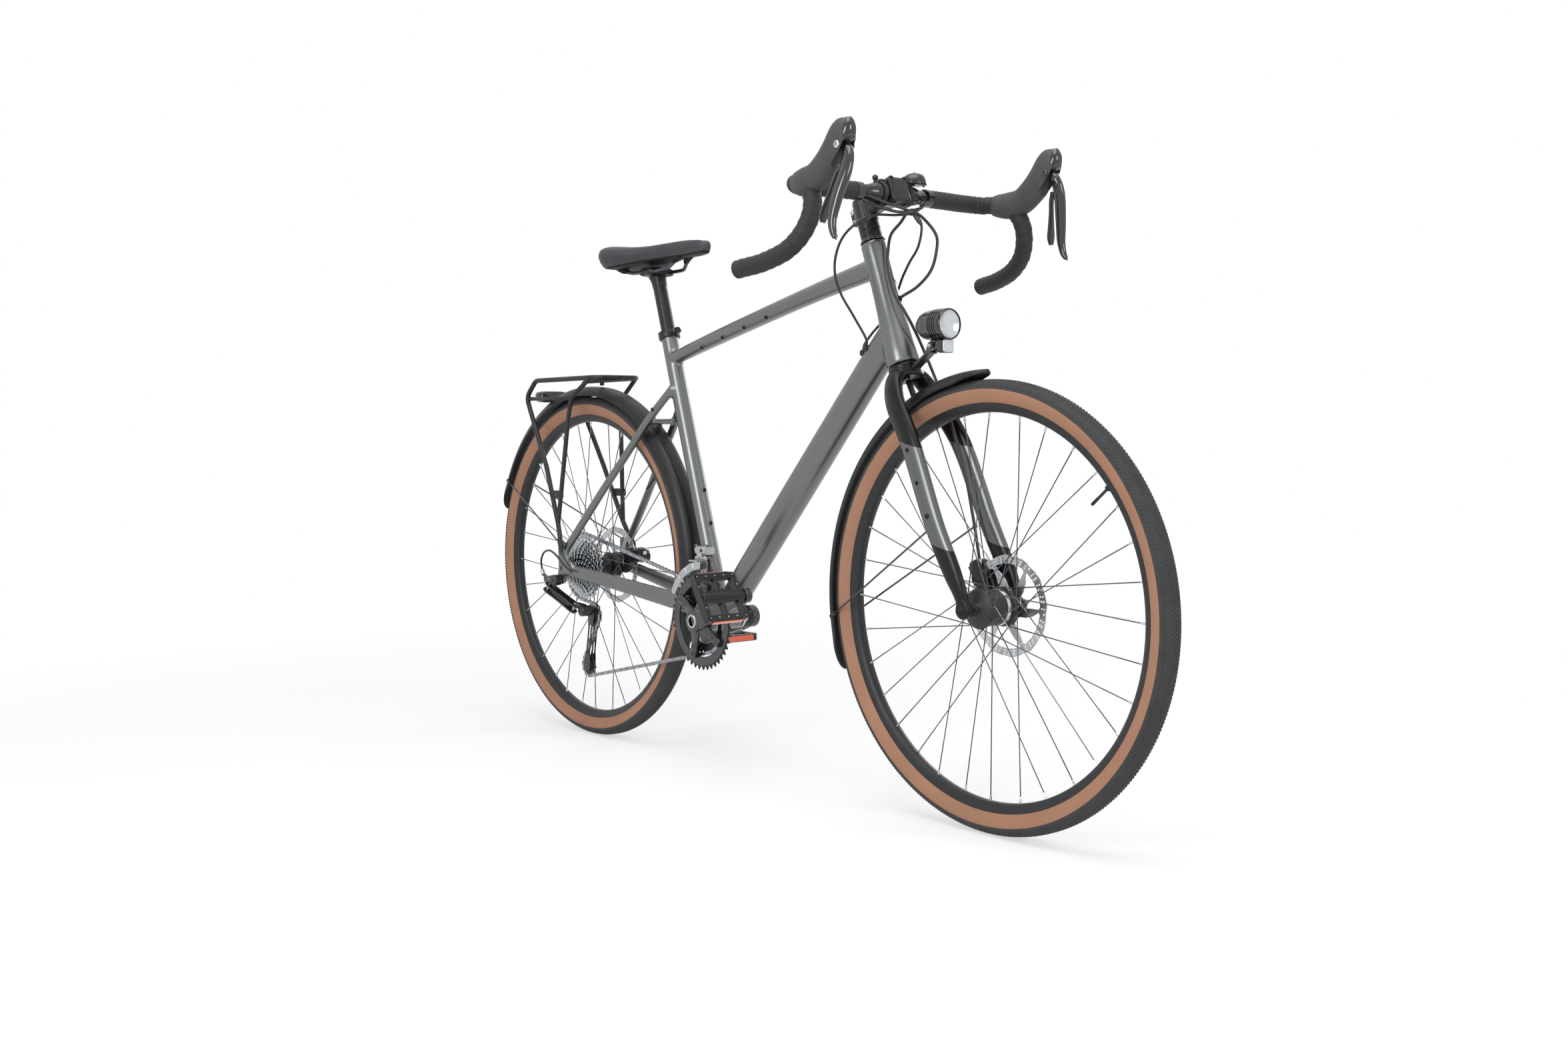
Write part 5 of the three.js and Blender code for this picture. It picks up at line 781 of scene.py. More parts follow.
def remeshed(name, parts, voxel, rounds, look, body, nodes, slot, extra=()):
    """One smooth skin over overlapping parts: a voxel remesh, then rounds of smoothing."""
    rough = piece(name + "_rough", parts, None, merge=False)
    mod = rough.modifiers.new("skin", "REMESH")
    mod.mode, mod.voxel_size = "VOXEL", voxel * MILLIMETRE
    flow = rough.modifiers.new("flow", "SMOOTH")
    flow.factor, flow.iterations = SMOOTHING, rounds
    deps = bpy.context.evaluated_depsgraph_get()
    mesh = bpy.data.meshes.new_from_object(rough.evaluated_get(deps))
    bpy.data.objects.remove(rough)
    points = points_of(mesh) / MILLIMETRE - (CENTRING, 0, 0)
    faces = np.zeros(len(mesh.polygons) * 4, int)
    mesh.polygons.foreach_get("vertices", faces)
    made.pop(name + "_rough")
    bpy.data.meshes.remove(mesh)
    skin_part = (points, [faces.reshape(-1, 4)], look)
    return piece(name, [skin_part, *extra], body, nodes, slot, angle=60, merge=False)


# %% [markdown]
# A main tube runs from a point inside one neighbour to a point inside the other. The top
# tube arches a little, and the stays bow out round the tyre and the crank.

# %% Tube shapes
def main_tube(start, end, side, deep, arch, shares):
    """Stations at shares t of the way: at = start + t (end - start) + arch sin(pi t) up."""
    rows = []
    for t, wide, tall in shares:
        at = start + (end - start) * t + UP * arch * math.sin(math.pi * t)
        rows.append([*at, side * wide, deep * tall])
    return loft(rows, frame_paint, 40, step=6)


def stay_pair(rows, around, fullness=1.0):
    """A stay on each side, from stations on the left."""
    left = loft(rows, frame_paint, around, fullness, step=4)
    return [mirrored(left), left]


chain_start = BOTTOM_BRACKET + UP * 15
chainstay_rows = []
for t, out_share, wide, tall in ((0, 0.33, 1.1, 0.95), (0.14, 0.425, 1, 1.06),
                                 (0.32, 0.52, 0.96, 1), (0.64, 0.73, 0.96, 0.85),
                                 (0.93, 0.945, 0.9, 0.76)):
    at = chain_start + (REAR_AXLE - chain_start) * t
    chainstay_rows.append([at[0], out_share * DROPOUT_Y, at[2], wide * 7.3, tall * 17])
seat_start, seat_foot = on_seat(712), REAR_AXLE + (8.8, 0, 35.2)
SEATSTAY = [(0, 0.17), (0.12, 0.34), (0.22, 0.46), (0.35, 0.54), (0.65, 0.77), (1, 0.985)]


def on_seatstay(t):
    """The point on the right seatstay at a share of its length."""
    out_share = np.interp(t, *zip(*SEATSTAY))
    at = seat_start + (seat_foot - seat_start) * t
    return spot(at[0], -out_share * DROPOUT_Y, at[2])


seatstay_rows = [[*(on_seatstay(t) * (1, -1, 1)), 8, 8] for t, _ in SEATSTAY]
dropout_shares = [(-0.7, -0.5), (-0.62, 0.5), (-0.65, 2.5), (0, 2.7), (0.85, 2.05),
                  (0.9, 0.95), (1.8, 0.6), (1.8, -0.6), (0.6, -0.8)]
hanger_shares = [(0.3, -1.45), (-0.75, -1.6), (-1.05, -1)]


def dropout(sign):
    """The flat plate that holds the rear axle; the right one carries the gear hanger."""
    shares = dropout_shares + (hanger_shares if sign < 0 else [])
    line = softened([(REAR_AXLE[0] + 22 * x, REAR_AXLE[2] + 22 * z) for x, z in shares], 5)
    return plate([line], 8, sign * DROPOUT_Y, frame_paint, 0.8)


head_shares = [[0, 0], [27.4, 0], [28, 0.8], [28, 19], [27.2, 30], [24.4, 62], [22.4, 95],
               [21.2, 130], [21, 170], [21, 215], [20.4, 216], [0, 216]]
head_profile = np.vstack([[0, 0], flat_line(head_shares[1:-1], 6), [0, 216]])
head_tube = turned(head_profile, HEAD_BOTTOM, HEAD_UP, frame_paint, 64)
bridge_at = on_seatstay(0.2)
low_bridge = BOTTOM_BRACKET + (-452.5 * 0.135, 75.3 * 0.39, 15)
tubes = [
    head_tube,
    rod(BOTTOM_BRACKET, SEAT_TUBE_END, 16.5, frame_paint, 40),
    rod(BOTTOM_BRACKET - LEFT * 34, BOTTOM_BRACKET + LEFT * 34, 21, frame_paint, 48),
    main_tube(BOTTOM_BRACKET + UP * 4.2, on_head(62), 25.5, 25.5, 0,
              [(0, 1, 0.8), (0.1, 1, 1), (0.86, 1, 1), (1, 0.82, 1.05)]),
    main_tube(on_seat(766), on_head(174), 17, 18, 5,
              [(0, 0.86, 0.68), (0.2, 1, 0.74), (0.72, 1.05, 0.84), (1, 1, 1)]),
    *stay_pair(chainstay_rows, 32, 0.85), *stay_pair(seatstay_rows, 28),
    dropout(-1), dropout(1),
    rod(bridge_at, bridge_at * (1, -1, 1), 6, frame_paint, 24),
    rod(low_bridge, low_bridge * (1, -1, 1), 6, frame_paint, 24),
]

# %% [markdown]
# Threaded bosses with small black screws stand under the top tube, on the seat tube and on
# the stays. A screw here is a turned head with a sunk socket, so its outline and its
# socket both show in close views.

# %% Screws and ports
def screw(at, out, radius, look, height=2.4):
    """A round-headed screw: a dome profile whose top sinks into a socket."""
    key = radius * 0.5
    dome = softened([[radius * 0.98, -1.2], [radius, 0], [radius * 0.93, height * 0.7],
                     [radius * 0.7, height], [key + 0.35, height]], 0.3, closed=False)
    return turned(np.vstack([[0, -1.2], dome, [key, height - 0.3], [key, height * 0.3],
                             [0, height * 0.3]]), at, out, look, 24)


def boss(surface, out, size, lift, radius, look, sink=2, height=2.4):
    """A threaded boss: a short round foot that stands out of a tube, and its screw."""
    return [rod(surface - out * sink, surface + out * lift, size, look, 20),
            screw(surface + out * lift, out, radius, boss_black, height)]


TOP_START, TOP_END = on_seat(766), on_head(174)
boss_down = unit((0, -math.cos(math.radians(40)), -math.sin(math.radians(40))))
details = []
for t in (0.19, 0.3, 0.41, 0.52):
    centre = TOP_START + (TOP_END - TOP_START) * t + UP * 5 * math.sin(math.pi * t)
    surface = centre + (0, boss_down[1] * 17, boss_down[2] * 14.4)
    details += boss(surface, boss_down, 4.6, 0.7, 4.1, frame_paint)
for height in (449, 511):
    surface = on_seat(height) + SEAT_AHEAD * 16.5
    details += boss(surface, SEAT_AHEAD, 4.6, 0.8, 4.1, frame_paint, height=2.2)
for sign in (-1, 1):
    surface = on_seatstay(0.13) * (1, -sign, 1) + LEFT * sign * 8
    details += boss(surface, LEFT * sign, 4.5, 0.6, 4, frame_paint)
PORT_UP = unit((0.35, -0.2, 0.92))
HEAD_PORT_OUT = unit((0.92, 0, 0.39))
CABLE_PORT, INNER_PORT, HEAD_PORT = spot(306, -19, 763), spot(292, -13, 756), spot(361.1, 5, 837.8)
for at, out in ((CABLE_PORT, PORT_UP), (INNER_PORT, PORT_UP), (HEAD_PORT, HEAD_PORT_OUT)):
    sleeve = softened([[2.7, -8], [6, -8], [6, -1.2], [5, 0], [2.7, 0]], 0.5)
    details.append(turned(sleeve, at, out, moulded_black, 28))
remeshed("frame_tubes", tubes, 2.6, 6, frame_paint, "chassis", ["frame"], "frame_paint", details)
print("frame faces:", made["frame_tubes"])

# %% [markdown]
# The collar clamps the post. It is a black ring with a split ear and one bolt, and it gets
# a lip that sits on the end of the tube. The bearing cups beside the cranks are turned
# from bright alloy with shallow splines that a tool grips.

# %% Seat collar and bearing cups
ring = softened([[16.8, -9.8], [20.4, -9.8], [20.8, -9.2], [20.8, 3.4], [20.2, 4.2],
                 [13.9, 4.2], [13.9, 0.3], [16.8, 0.3]], 0.5)
mid = SEAT_TUBE_END - SEAT_UP * 2.8
ear = loft([[*(mid + SEAT_AHEAD * (18.5 + s)), w, 5.6] for s, w in
            ((0, 6.8), (4, 7), (9, 6.8), (13.2, 5.8))], satin_black, 32, 0.55, 2)
bolt_at = mid + SEAT_AHEAD * 26.5
piece("seat_clamp", [turned(ring, SEAT_TUBE_END, SEAT_UP, satin_black, 64), ear,
                     rod(bolt_at - LEFT * 9.2, bolt_at + LEFT * 9.2, 2.9, dark_metal, 20),
                     screw(bolt_at - LEFT * 8.2, -LEFT, 3.9, dark_metal, 2.6)],
      "chassis", ["seat_collar"], "black_metal")
flutes = 19.55 + 0.42 * np.tanh(3 * np.sin(16 * full_turn(192)))
for sign, name, look in ((1, "left", bright_metal), (-1, "right", dark_metal)):
    grid = []
    for r, y in ((12.6, 24), (16, 24), (16, 34.3), (flutes, 34.3), (flutes, 38.8), (18.2, 40),
                 (12.6, 40)):
        flat = polar(BOTTOM_BRACKET[[0, 2]], r, full_turn(192))
        grid.append(np.stack([flat[:, 0], np.full(192, sign * y), flat[:, 1]], -1))
    piece("bearing_" + name, [skin(np.array(grid), look, loop=True)], "chassis",
          ["bearing_cup_" + name], "silver_metal")

# %% [markdown]
# The fork has a tapering crown, two blades that bend inward over the tyre, and thick ends
# that hold the axle. Black paint covers the crown and the blade ends, and the frame colour
# lies between, made darker here than on the frame as painted shade. The finish picks the
# colour from the height in the fork's own space, with a slanted edge like the real masked paint.

# %% Fork
# The middle colour is the frame's paint made darker: painted shade, because the blades face away from the
# light.
fork_paint_painted_shade = finish("fork_paint_painted_shade", "#626563", 0.3, 0.88, (9, 0.05), (500, 0.06),
                    (2600, 0.00001, 0.25), coat=(0.25, 0.32))
tree = fork_paint_painted_shade.node_tree
fork_shader = tree.nodes["Principled BSDF"]
apart = add_node(tree, "SeparateXYZ", {0: add_node(tree, "TexCoord").outputs["Object"]})
slant = add_node(tree, "Math", {0: apart.outputs["X"], 2: apart.outputs["Z"]}, {1: 0.25},
                 operation="MULTIPLY_ADD")
black_zones = [add_node(tree, "Math", {0: slant.outputs[0]}, {1: height}, operation=way).outputs[0]
               for height, way in ((0.7150, "GREATER_THAN"), (0.5760, "LESS_THAN"))]
either_end = add_node(tree, "Math", dict(enumerate(black_zones)), operation="MAXIMUM")
two_tone = add_node(tree, "Mix", {"Factor": either_end.outputs[0],
                                  "A": fork_shader.inputs["Base Color"].links[0].from_socket},
                    {"B": (0.012, 0.0125, 0.013, 1)}, data_type="RGBA")
tree.links.new(two_tone.outputs["Result"], fork_shader.inputs["Base Color"])

FORK_LEG = [[380, 14, 714, 13, 15], [386, 31, 703, 12, 17], [401, 45, 672, 10.5, 19.5],
            [445, 55, 608.6, 10.5, 19.5], [506.7, 60, 475, 10, 18.5], [545, 60, 404, 9, 17],
            [560, 59, 374, 8, 13], [565, 57.4, 354, 6.6, 11]]
leg = loft([[x, -y, z, s, d] for x, y, z, s, d in FORK_LEG], fork_paint_painted_shade, 36, 0.92, 4)
crown = turned([[0, -24], [25.6, -24], [27, -22.4], [27, -2], [26.4, -0.7], [0, -0.7]],
               HEAD_BOTTOM, HEAD_UP, fork_paint_painted_shade, 56)
tip = turned([[0, -65.3], [12.8, -65.3], [14, -64], [14, -51.4], [12.8, -50.3], [0, -50.3]],
             FRONT_AXLE, LEFT, fork_paint_painted_shade, 48)
fork_bits = []
for t in (0.12, 0.5, 0.88):
    a, b = np.array(FORK_LEG[3][:3]), np.array(FORK_LEG[4][:3])
    at = a + (b - a) * t
    for sign in (-1, 1):
        face = spot(at[0], sign * (at[1] + 10.0), at[2])
        fork_bits += boss(face, LEFT * sign, 4.9, 0.8, 3.7, boss_black, sink=3, height=1.7)
steerer_tube = rod(on_head(-10), on_head(287), 14.2, dark_metal, 32)
remeshed("fork_blades", [leg, mirrored(leg), crown, tip, mirrored(tip)], 1.7, 7, fork_paint_painted_shade,
         "steerer", ["fork"], "frame_paint", fork_bits + [steerer_tube])
print("fork faces:", made["fork_blades"])

# %% [markdown]
# The handlebar is a round tube that swells in the middle, where the stem grips it. Next to
# the stem it has fine ribs for grip. It runs out, ahead and down on each side into the drops.

# %% Handlebar
BAR_CENTRE = spot(350, 0, 1005)
BAR = [(350, 0, 1005, 15.9), (350, 40, 1005, 15.9), (350, 58, 1005, 11.9), (347, 150, 1004, 11.9),
       (346, 187, 1004, 11.9), (354, 205, 1003, 11.9), (374, 213, 1002, 11.9),
       (396, 219, 997, 11.9), (415, 225, 982, 11.9), (423, 231, 955, 11.9), (413, 240, 922, 11.9),
       (385, 249, 897, 11.9), (340, 259, 882, 11.9), (289, 268, 875, 11.9)]
bar_black = finish("bar_black", "#111214", 0.22, 0.2, (40, 0.2), (60, 0.05), coat=(0.5, 0.12))
half_bar = line_through(BAR, 4)
bar_line = np.vstack([half_bar[:0:-1] * (1, -1, 1, 1), half_bar])
rib = softened([[15.7, -0.5], [16.15, -0.3], [16.15, 0.3], [15.7, 0.5]], 0.2)
ribs = both_sides(*[turned(rib, BAR_CENTRE + LEFT * y, LEFT, bar_black, 56)
                    for y in np.arange(24, 36, 1.5)])
bar_tube = sweep(bar_line[:, :3], bar_line[:, 3], bar_line[:, 3], bar_black, 36, free=True)
piece("drop_bar", [bar_tube, *ribs], "steerer", ["handlebar"], "black_metal")

# %% [markdown]
# Tape is one long strip wound round the bar with an overlap. Each turn starts on the edge of
# the turn before it, so the surface rises along the strip and steps down at its edge. The
# grid gives every point its place along the winding, and the height follows that share. The
# tops are wound tighter than the drops, and a plug with a rim closes the end.

# %% Bar tape
tape_rubber = finish("tape_rubber", "#222324", 0.62, 0.0, (45, 0.14), (150, 0.07),
                     (2100, 0.00012, 0.7), specular=0.4)


def wound(side):
    """Tape: radius = 13.85 + 0.85 ramp + sag. The ramp rises over 0.86 of each turn and steps
    down over the rest, and the sag is a slow wave round the bar."""
    s = half_bar[half_bar[:, 1] > 66.7]
    fine = line_through(s[:, :3], 1.15)
    across, deep = carried(fine)
    run = np.concatenate([[0], np.cumsum(np.linalg.norm(np.diff(fine, axis=0), axis=1))])
    turns = np.interp(run, [0, 130, 175, run[-1]],
                      [0, 12.4, 15.6, 15.6 + (run[-1] - 175) / 15.5])
    a = full_turn(44)
    share = np.mod(turns[:, None] - side * a[None, :] / (2 * math.pi), 1)
    ramp = np.where(share < 0.86, share / 0.86, (1 - share) / 0.14)
    sag = 0.12 * np.sin(3 * a[None, :] + run[:, None] / 9)
    radius = 13.85 + 0.85 * ramp + sag
    ends = np.clip(np.minimum(run, run[-1] - run) / 1.6, 0, 1)
    radius = 12.2 + (radius - 12.2) * np.sqrt(ends)[:, None]
    grid = (fine[:, None] + radius[..., None] * (np.cos(a)[:, None] * across[:, None]
            + np.sin(a)[:, None] * deep[:, None]))
    grid = grid * (1, side, 1)
    plug_out = unit(fine[-1] - fine[-3]) * (1, side, 1)
    plug = turned(softened([[0, -2], [11, -2], [14.2, 0.3], [14.4, 2.6], [12.4, 3.6], [4.2, 4],
                            [3.6, 3.2], [0, 3.2]], 0.5, closed=False),
                  fine[-1] * (1, side, 1), plug_out, moulded_black, 40)
    band = fine[:14] * (1, side, 1)
    strip = sweep(band, 14.75, 14.75, gloss_black, 44, free=True)
    return [skin(grid, tape_rubber), plug, strip]


for side, name in ((-1, "right"), (1, "left")):
    piece("wrap_" + name, wound(side), "steerer", ["bar_tape_" + name], "bar_wrap", angle=55)

# %% [markdown]
# The rubber hood rises from the bar to a rounded knob. Above the lever the body shows as a
# glossy cap. The hood is a sweep with a rounded box section. Where the lever and the paddle
# swing, the points of its rings are pushed back, which leaves a slot in its front.

# %% Hoods
hood_rubber = finish("hood_rubber", "#404142", 0.6, 0.0, (50, 0.1), (160, 0.06),
                     (1500, 0.00008, 0.6), specular=0.4)
panel_grey = finish("panel_grey", "#4a4c4f", 0.35, 0.3, (40, 0.1), (60, 0.05))
HOOD = [[374, 213, 1001.5, 16.2, 16.8], [380, 215, 1000.5, 18.2, 18.8], [400, 221, 999, 19.5, 22],
        [425, 224, 1003, 17.5, 22], [448, 224, 1017, 16.5, 23], [468, 224, 1035, 16.5, 24],
        [482, 224, 1052, 16, 25], [486, 224, 1060, 15.4, 23.6], [489.2, 224, 1067.4, 13.8, 20.2],
        [491.6, 224, 1073.4, 11.2, 15.6], [493.2, 224, 1077, 8, 10.2],
        [494.2, 224, 1079.2, 4, 4.6]]
HOOD_Y = 224
SLOT_HALF_WIDTH, SLOT_TOP = 11.6, 1050.4


def hood():
    """The hood's skin with a slot for the lever: ring points inside the slot's outline are
    pushed back on the slot's floor line."""
    s = line_through(HOOD, 1.5)
    across, deep = crosswise(s[:, :3], LEFT)
    a = full_turn(96)
    c, t = raised(np.cos(a), 0.86), raised(np.sin(a), 0.86)
    grid = rings(s[:, :3], across, deep, s[:, 3], s[:, 4], c, t)
    front = np.interp(grid[..., 2], [1000, 1040, 1050], [472.0, 475.5, 487.6])
    inside = ((abs(grid[..., 1] - HOOD_Y) < SLOT_HALF_WIDTH) & (grid[..., 2] < SLOT_TOP)
              & (grid[..., 0] > front))
    grid[..., 0] = np.where(inside, front, grid[..., 0])
    # Fine raised lines on both sides give the palm a hold.
    along = np.arange(len(s))[:, None] / len(s)
    zone = np.clip((abs(c) - 0.72) / 0.15, 0, 1) * np.clip(1 - abs(along - 0.36) / 0.17, 0, 1)
    wave = 0.28 * np.sin(grid[..., 0] * 1.6 + grid[..., 2] * 1.1) * zone
    grid = grid + (wave * np.sign(c))[..., None] * across[:, None]
    return skin(grid, hood_rubber)


def hood_parts():
    """The left hood with its glossy cap, the panel in it and the covers of the pivot."""
    cap = loft([[489, 224, 1047.5, 13.8, 5], [493.2, 224, 1053, 14, 11.5],
                [497.6, 224, 1063, 12.6, 12], [499.4, 224, 1072, 9.8, 9.4],
                [499.4, 224, 1080, 4.8, 4.6]], gloss_black, 40, 0.8, 2)
    panel = loft([[503.7, 224, 1056, 5, 1.9], [505.9, 224, 1061.5, 7, 2.3],
                  [506.9, 224, 1067, 5, 1.9]], panel_grey, 28, 0.6, 1.5)
    bits = [hood(), cap, panel]
    for way in (-1, 1):
        at = spot(489, HOOD_Y + way * 15.6, 1041)
        bits.append(turned(softened([[0, -3], [5.6, -3], [5.8, 0], [4.9, 0.9], [2.6, 0.9],
                                     [2.5, -0.5], [0, -0.5]], 0.3, closed=False),
                           at, (0, way, 0), dark_metal if way < 0 else bright_metal, 28))
    return bits


pair("hood_rubber", hood_parts(), "steerer", "hood_{}", "soft_rubber", angle=34)

# %% [markdown]
# A brake lever is a long pressed blade: wide where the fingers pull, with a crown along its
# front, a hooked tip and a round barrel on the pivot. Behind it hangs the shift paddle.

# %% Levers and paddles
LEVER = [[492, 224, 1042, 7, 7], [500, 225, 1028, 7.6, 9], [502, 230, 1009, 8, 10.5],
         [494, 243, 962, 7.4, 9.5], [490, 249, 930, 6.2, 7.5], [494, 250.5, 911, 5, 5.5],
         [501, 251, 901, 3.5, 3.5]]
PADDLE = [[487.9, 231, 1008, 4, 4], [483, 233, 1000, 4.5, 2.8], [478, 238, 980, 5, 2.6],
          [473, 243, 958, 7, 2.4], [469, 247, 940, 8.5, 2.2], [468, 249, 929, 5, 2]]
lever_gloss = finish("lever_gloss", "#0b0c0d", 0.13, 0.0, (30, 0.2), (40, 0.03), coat=(0.8, 0.05))
paddle_grey = finish("paddle_grey", "#2d2f31", 0.32, 0.1, (60, 0.1), (60, 0.05), coat=(0.3, 0.2))


def blade():
    """The lever's section: rounded in front, and flatter behind where fingers rest."""
    s = line_through(LEVER, 1.6)
    across, deep = crosswise(s[:, :3], LEFT)
    deep = np.where(deep[:, :1] < 0, -deep, deep)
    a = full_turn(40)
    c, t = raised(np.cos(a), 0.8), np.sin(a)
    t = np.where(t < 0, -abs(t) ** 0.6 * 0.78, abs(t) ** 0.95)
    ends = np.clip(np.arange(len(s))[::-1] / 2.5, 0.35, 1)
    return skin(rings(s[:, :3], across, deep, ends * s[:, 3], ends * s[:, 4], c, t), lever_gloss)


lever_parts = [blade(), rod((489, 216.4, 1041), (489, 231.6, 1041), 6.4, satin_black, 32)]
paddle_parts = [loft(PADDLE, paddle_grey, 28, 0.7, 2),
                rod((487.6, 227.4, 1009), (487.6, 234.6, 1009), 3.9, dark_metal, 20)]
pair("lever_blade", lever_parts, "lever_{}", "brake_lever_{}", "gloss_black", angle=50)
pair("paddle_blade", paddle_parts, "paddle_{}", "shift_paddle_{}", "black_plastic")

# %% [markdown]
# The stem clamps the fork's tube behind and the bar ahead. Its shell is forged, so the two
# barrels and the arm between them flow together: these parts go through the same remesh as
# the frame. Its split face, bolts, spacers and cap are made on top.

# %% Stem, spacers and cap
stem_black = finish("stem_black", "#17181a", 0.3, 0.3, (50, 0.15), (90, 0.06), (900, 0.00002),
                    coat=(0.25, 0.2))
STEM_MIDDLE = on_head(271.1)
STEM_AHEAD = unit(BAR_CENTRE - STEM_MIDDLE)
STEM_UP = np.cross(STEM_AHEAD, LEFT)
reach = np.linalg.norm(BAR_CENTRE - STEM_MIDDLE)
barrel = turned(softened([[14.4, 252.9], [18.3, 252.9], [18.9, 253.7], [18.9, 288.6],
                          [18.3, 289.4], [14.4, 289.4]], 0.8), HEAD_BOTTOM, HEAD_UP, stem_black, 56)
arm = loft([[*(STEM_MIDDLE + STEM_AHEAD * 8), 13.4, 15.2],
            [*(STEM_MIDDLE + STEM_AHEAD * (reach * 0.5)), 13.4, 13.6],
            [*(BAR_CENTRE - STEM_AHEAD * 14), 19, 17]], stem_black, 40, 0.6, 3)
yoke = turned(softened([[16, -20.6], [20, -20.6], [20.3, -20.2], [20.3, 20.2], [20, 20.6],
                        [16, 20.6]], 0.6), BAR_CENTRE, LEFT, stem_black, 56)
ear_at = STEM_MIDDLE - HEAD_AHEAD * 21
ear = loft([[*(ear_at + HEAD_UP * h), s, 6.8] for h, s in
            ((-14.2, 7.4), (-12, 8.8), (12, 8.8), (14.2, 7.4))], stem_black, 32, 0.45, 3)
pinch = []
for h in (-8.5, 8.5):
    at = ear_at + HEAD_UP * h - HEAD_AHEAD * 1
    pinch += [rod(at - LEFT * 9.3, at + LEFT * 9.3, 3.3, bright_metal, 24),
              screw(at - LEFT * 8.6, -LEFT, 4.2, bright_metal, 1.9)]
remeshed("stem_shell", [barrel, arm, yoke, ear], 1.05, 5, stem_black, "steerer", ["stem"],
         "black_metal", pinch)
print("stem faces:", made["stem_shell"])
face_shell = loft([[*(BAR_CENTRE + STEM_AHEAD * 16.2 + STEM_UP * h), w, d] for h, w, d in
                   ((-21.5, 17, 2.2), (-18, 20, 4.3), (-10, 20.6, 5), (0, 20.6, 5.4),
                    (10, 20.6, 5), (18, 20, 4.3), (21.5, 17, 2.2))],
                  stem_black, 40, 0.45, 2)
bolts = []
for y in (-14, 14):
    for h in (-18.1, 18.1):
        at = BAR_CENTRE + LEFT * y + STEM_UP * h + STEM_AHEAD * 17.6
        bolts.append(turned(softened([[0, -14], [4.4, -14], [5, -10], [5, 2.6], [4.4, 3.3],
                                      [2.2, 3.3], [2.1, 1], [0, 1]], 0.3, closed=False),
                            at, STEM_AHEAD, satin_black, 28))
piece("stem_face", [face_shell, *bolts], "steerer", ["faceplate"], "black_metal")
RING_PROFILES = [([[14.6, 216.4], [20.2, 216.4], [21, 217.2], [21, 219.4], [19.2, 220.8],
                   [14.6, 220.8]], gloss_black),
                 ([[14.6, 221], [18.6, 221], [18.6, 223.7], [14.6, 223.7]], gloss_black)]
for low, high in ((224, 237.3), (237.7, 252.4)):
    RING_PROFILES.append(([[14.6, low], [17.6, low], [18, low + 0.5], [18, high - 0.5],
                           [17.6, high], [14.6, high]], satin_black))
spacer_rings = [turned(softened(profile, 0.4), HEAD_BOTTOM, HEAD_UP, look, 56)
                for profile, look in RING_PROFILES]
piece("headset_rings", spacer_rings, "steerer", ["spacers"], "black_metal")
lid = softened([[0, 289.8], [17.6, 289.8], [17.9, 290.6], [17.5, 293], [14.6, 295.4], [5.4, 295.6],
                [4.9, 293.6], [0, 293.6]], 0.5, closed=False)
lid_screw = screw(on_head(293.4), HEAD_UP, 4.2, dark_metal, 1.6)
piece("headset_lid", [turned(lid, HEAD_BOTTOM, HEAD_UP, gloss_black, 56), lid_screw], "steerer",
      ["steerer_cap"], "black_metal")

# %% [markdown]
# A small bell sits left of the stem: a domed cup on a strap, with a hammer at its side. Right
# of the stem a second strap holds a pod and a ball joint for a head unit.

# %% Bell and accessory clamp
bell_gloss = finish("bell_gloss", "#0c0d0e", 0.3, 0.0, (40, 0.2), (50, 0.03), coat=(0.25, 0.15))


def strap(y, look):
    """A clamp round the bar's middle at a distance to the left."""
    return turned(softened([[16.05, y - 3.9], [19, y - 3.9], [19.3, y - 3.2], [19.3, y + 3.2],
                            [19, y + 3.9], [16.05, y + 3.9]], 0.5), BAR_CENTRE, LEFT, look, 56)


def block(low, high, look, fullness=0.35):
    """A softened box between two corners, as a sweep upward."""
    low, high = np.array(low, float), np.array(high, float)
    mid, half = (low + high) / 2, (high - low) / 2
    soft = min(1.2, half[2] * 0.5, half[0] * 0.4, half[1] * 0.4)
    rows = [(-half[2], -soft), (-half[2] + soft * 0.3, -soft * 0.3), (-half[2] + soft, 0),
            (half[2] - soft, 0), (half[2] - soft * 0.3, -soft * 0.3), (half[2], -soft)]
    route = np.array([[mid[0], mid[1], mid[2] + z] for z, _ in rows])
    cut = np.array([c for _, c in rows])
    return sweep(route, half[1] + cut, half[0] + cut, look, 44, fullness)


dome = [[0, 0.2], [20.4, 0.2], [21.3, 0.6], [21.4, 1.4], [21, 3]]
dome += [[21 * math.cos(t) ** 0.75, 3 + 16.4 * math.sin(t)] for t in np.linspace(0.15, 1.5, 12)]
dome += [[2.6, 19.6], [2.4, 20.4], [1.2, 21], [0, 21]]
bell_foot = block((345, 24.2, 1021.4), (359, 43.6, 1024.6), satin_black)
hammer = loft([[352, 66, 1025, 2.6, 1.2], [352, 68.6, 1026, 3.4, 1.4], [352, 70.4, 1030, 2.4, 1.2]],
              satin_black, 20, 0.8, 1, across=UP)
piece("bell_cup", [strap(28, satin_black), bell_foot,
                   turned(dome, (352, 47, 1023.6), UP, bell_gloss, 72), hammer],
      "steerer", ["bell"], "black_metal")
pod = loft([[330, -30, 981, 6, 4], [345, -30, 983, 7, 5], [357, -30, 984, 5, 4]],
           moulded_black, 32, 0.7, 2)
ball = turned([[5 * math.sin(t), -5 * math.cos(t)] for t in np.linspace(0, math.pi, 15)],
              (340, -28, 1031), UP, moulded_black, 28)
pod_foot = block((338, -32, 1021), (358, -24, 1027), moulded_black)
piece("head_unit_clamp", [strap(-28, moulded_black), pod_foot, ball, pod,
                          rod((352, -33.2, 1024), (352, -22.8, 1024), 2.4, dark_metal, 20)],
      "steerer", ["accessory_clamp"], "black_plastic")
print("cockpit pieces:", len(made))

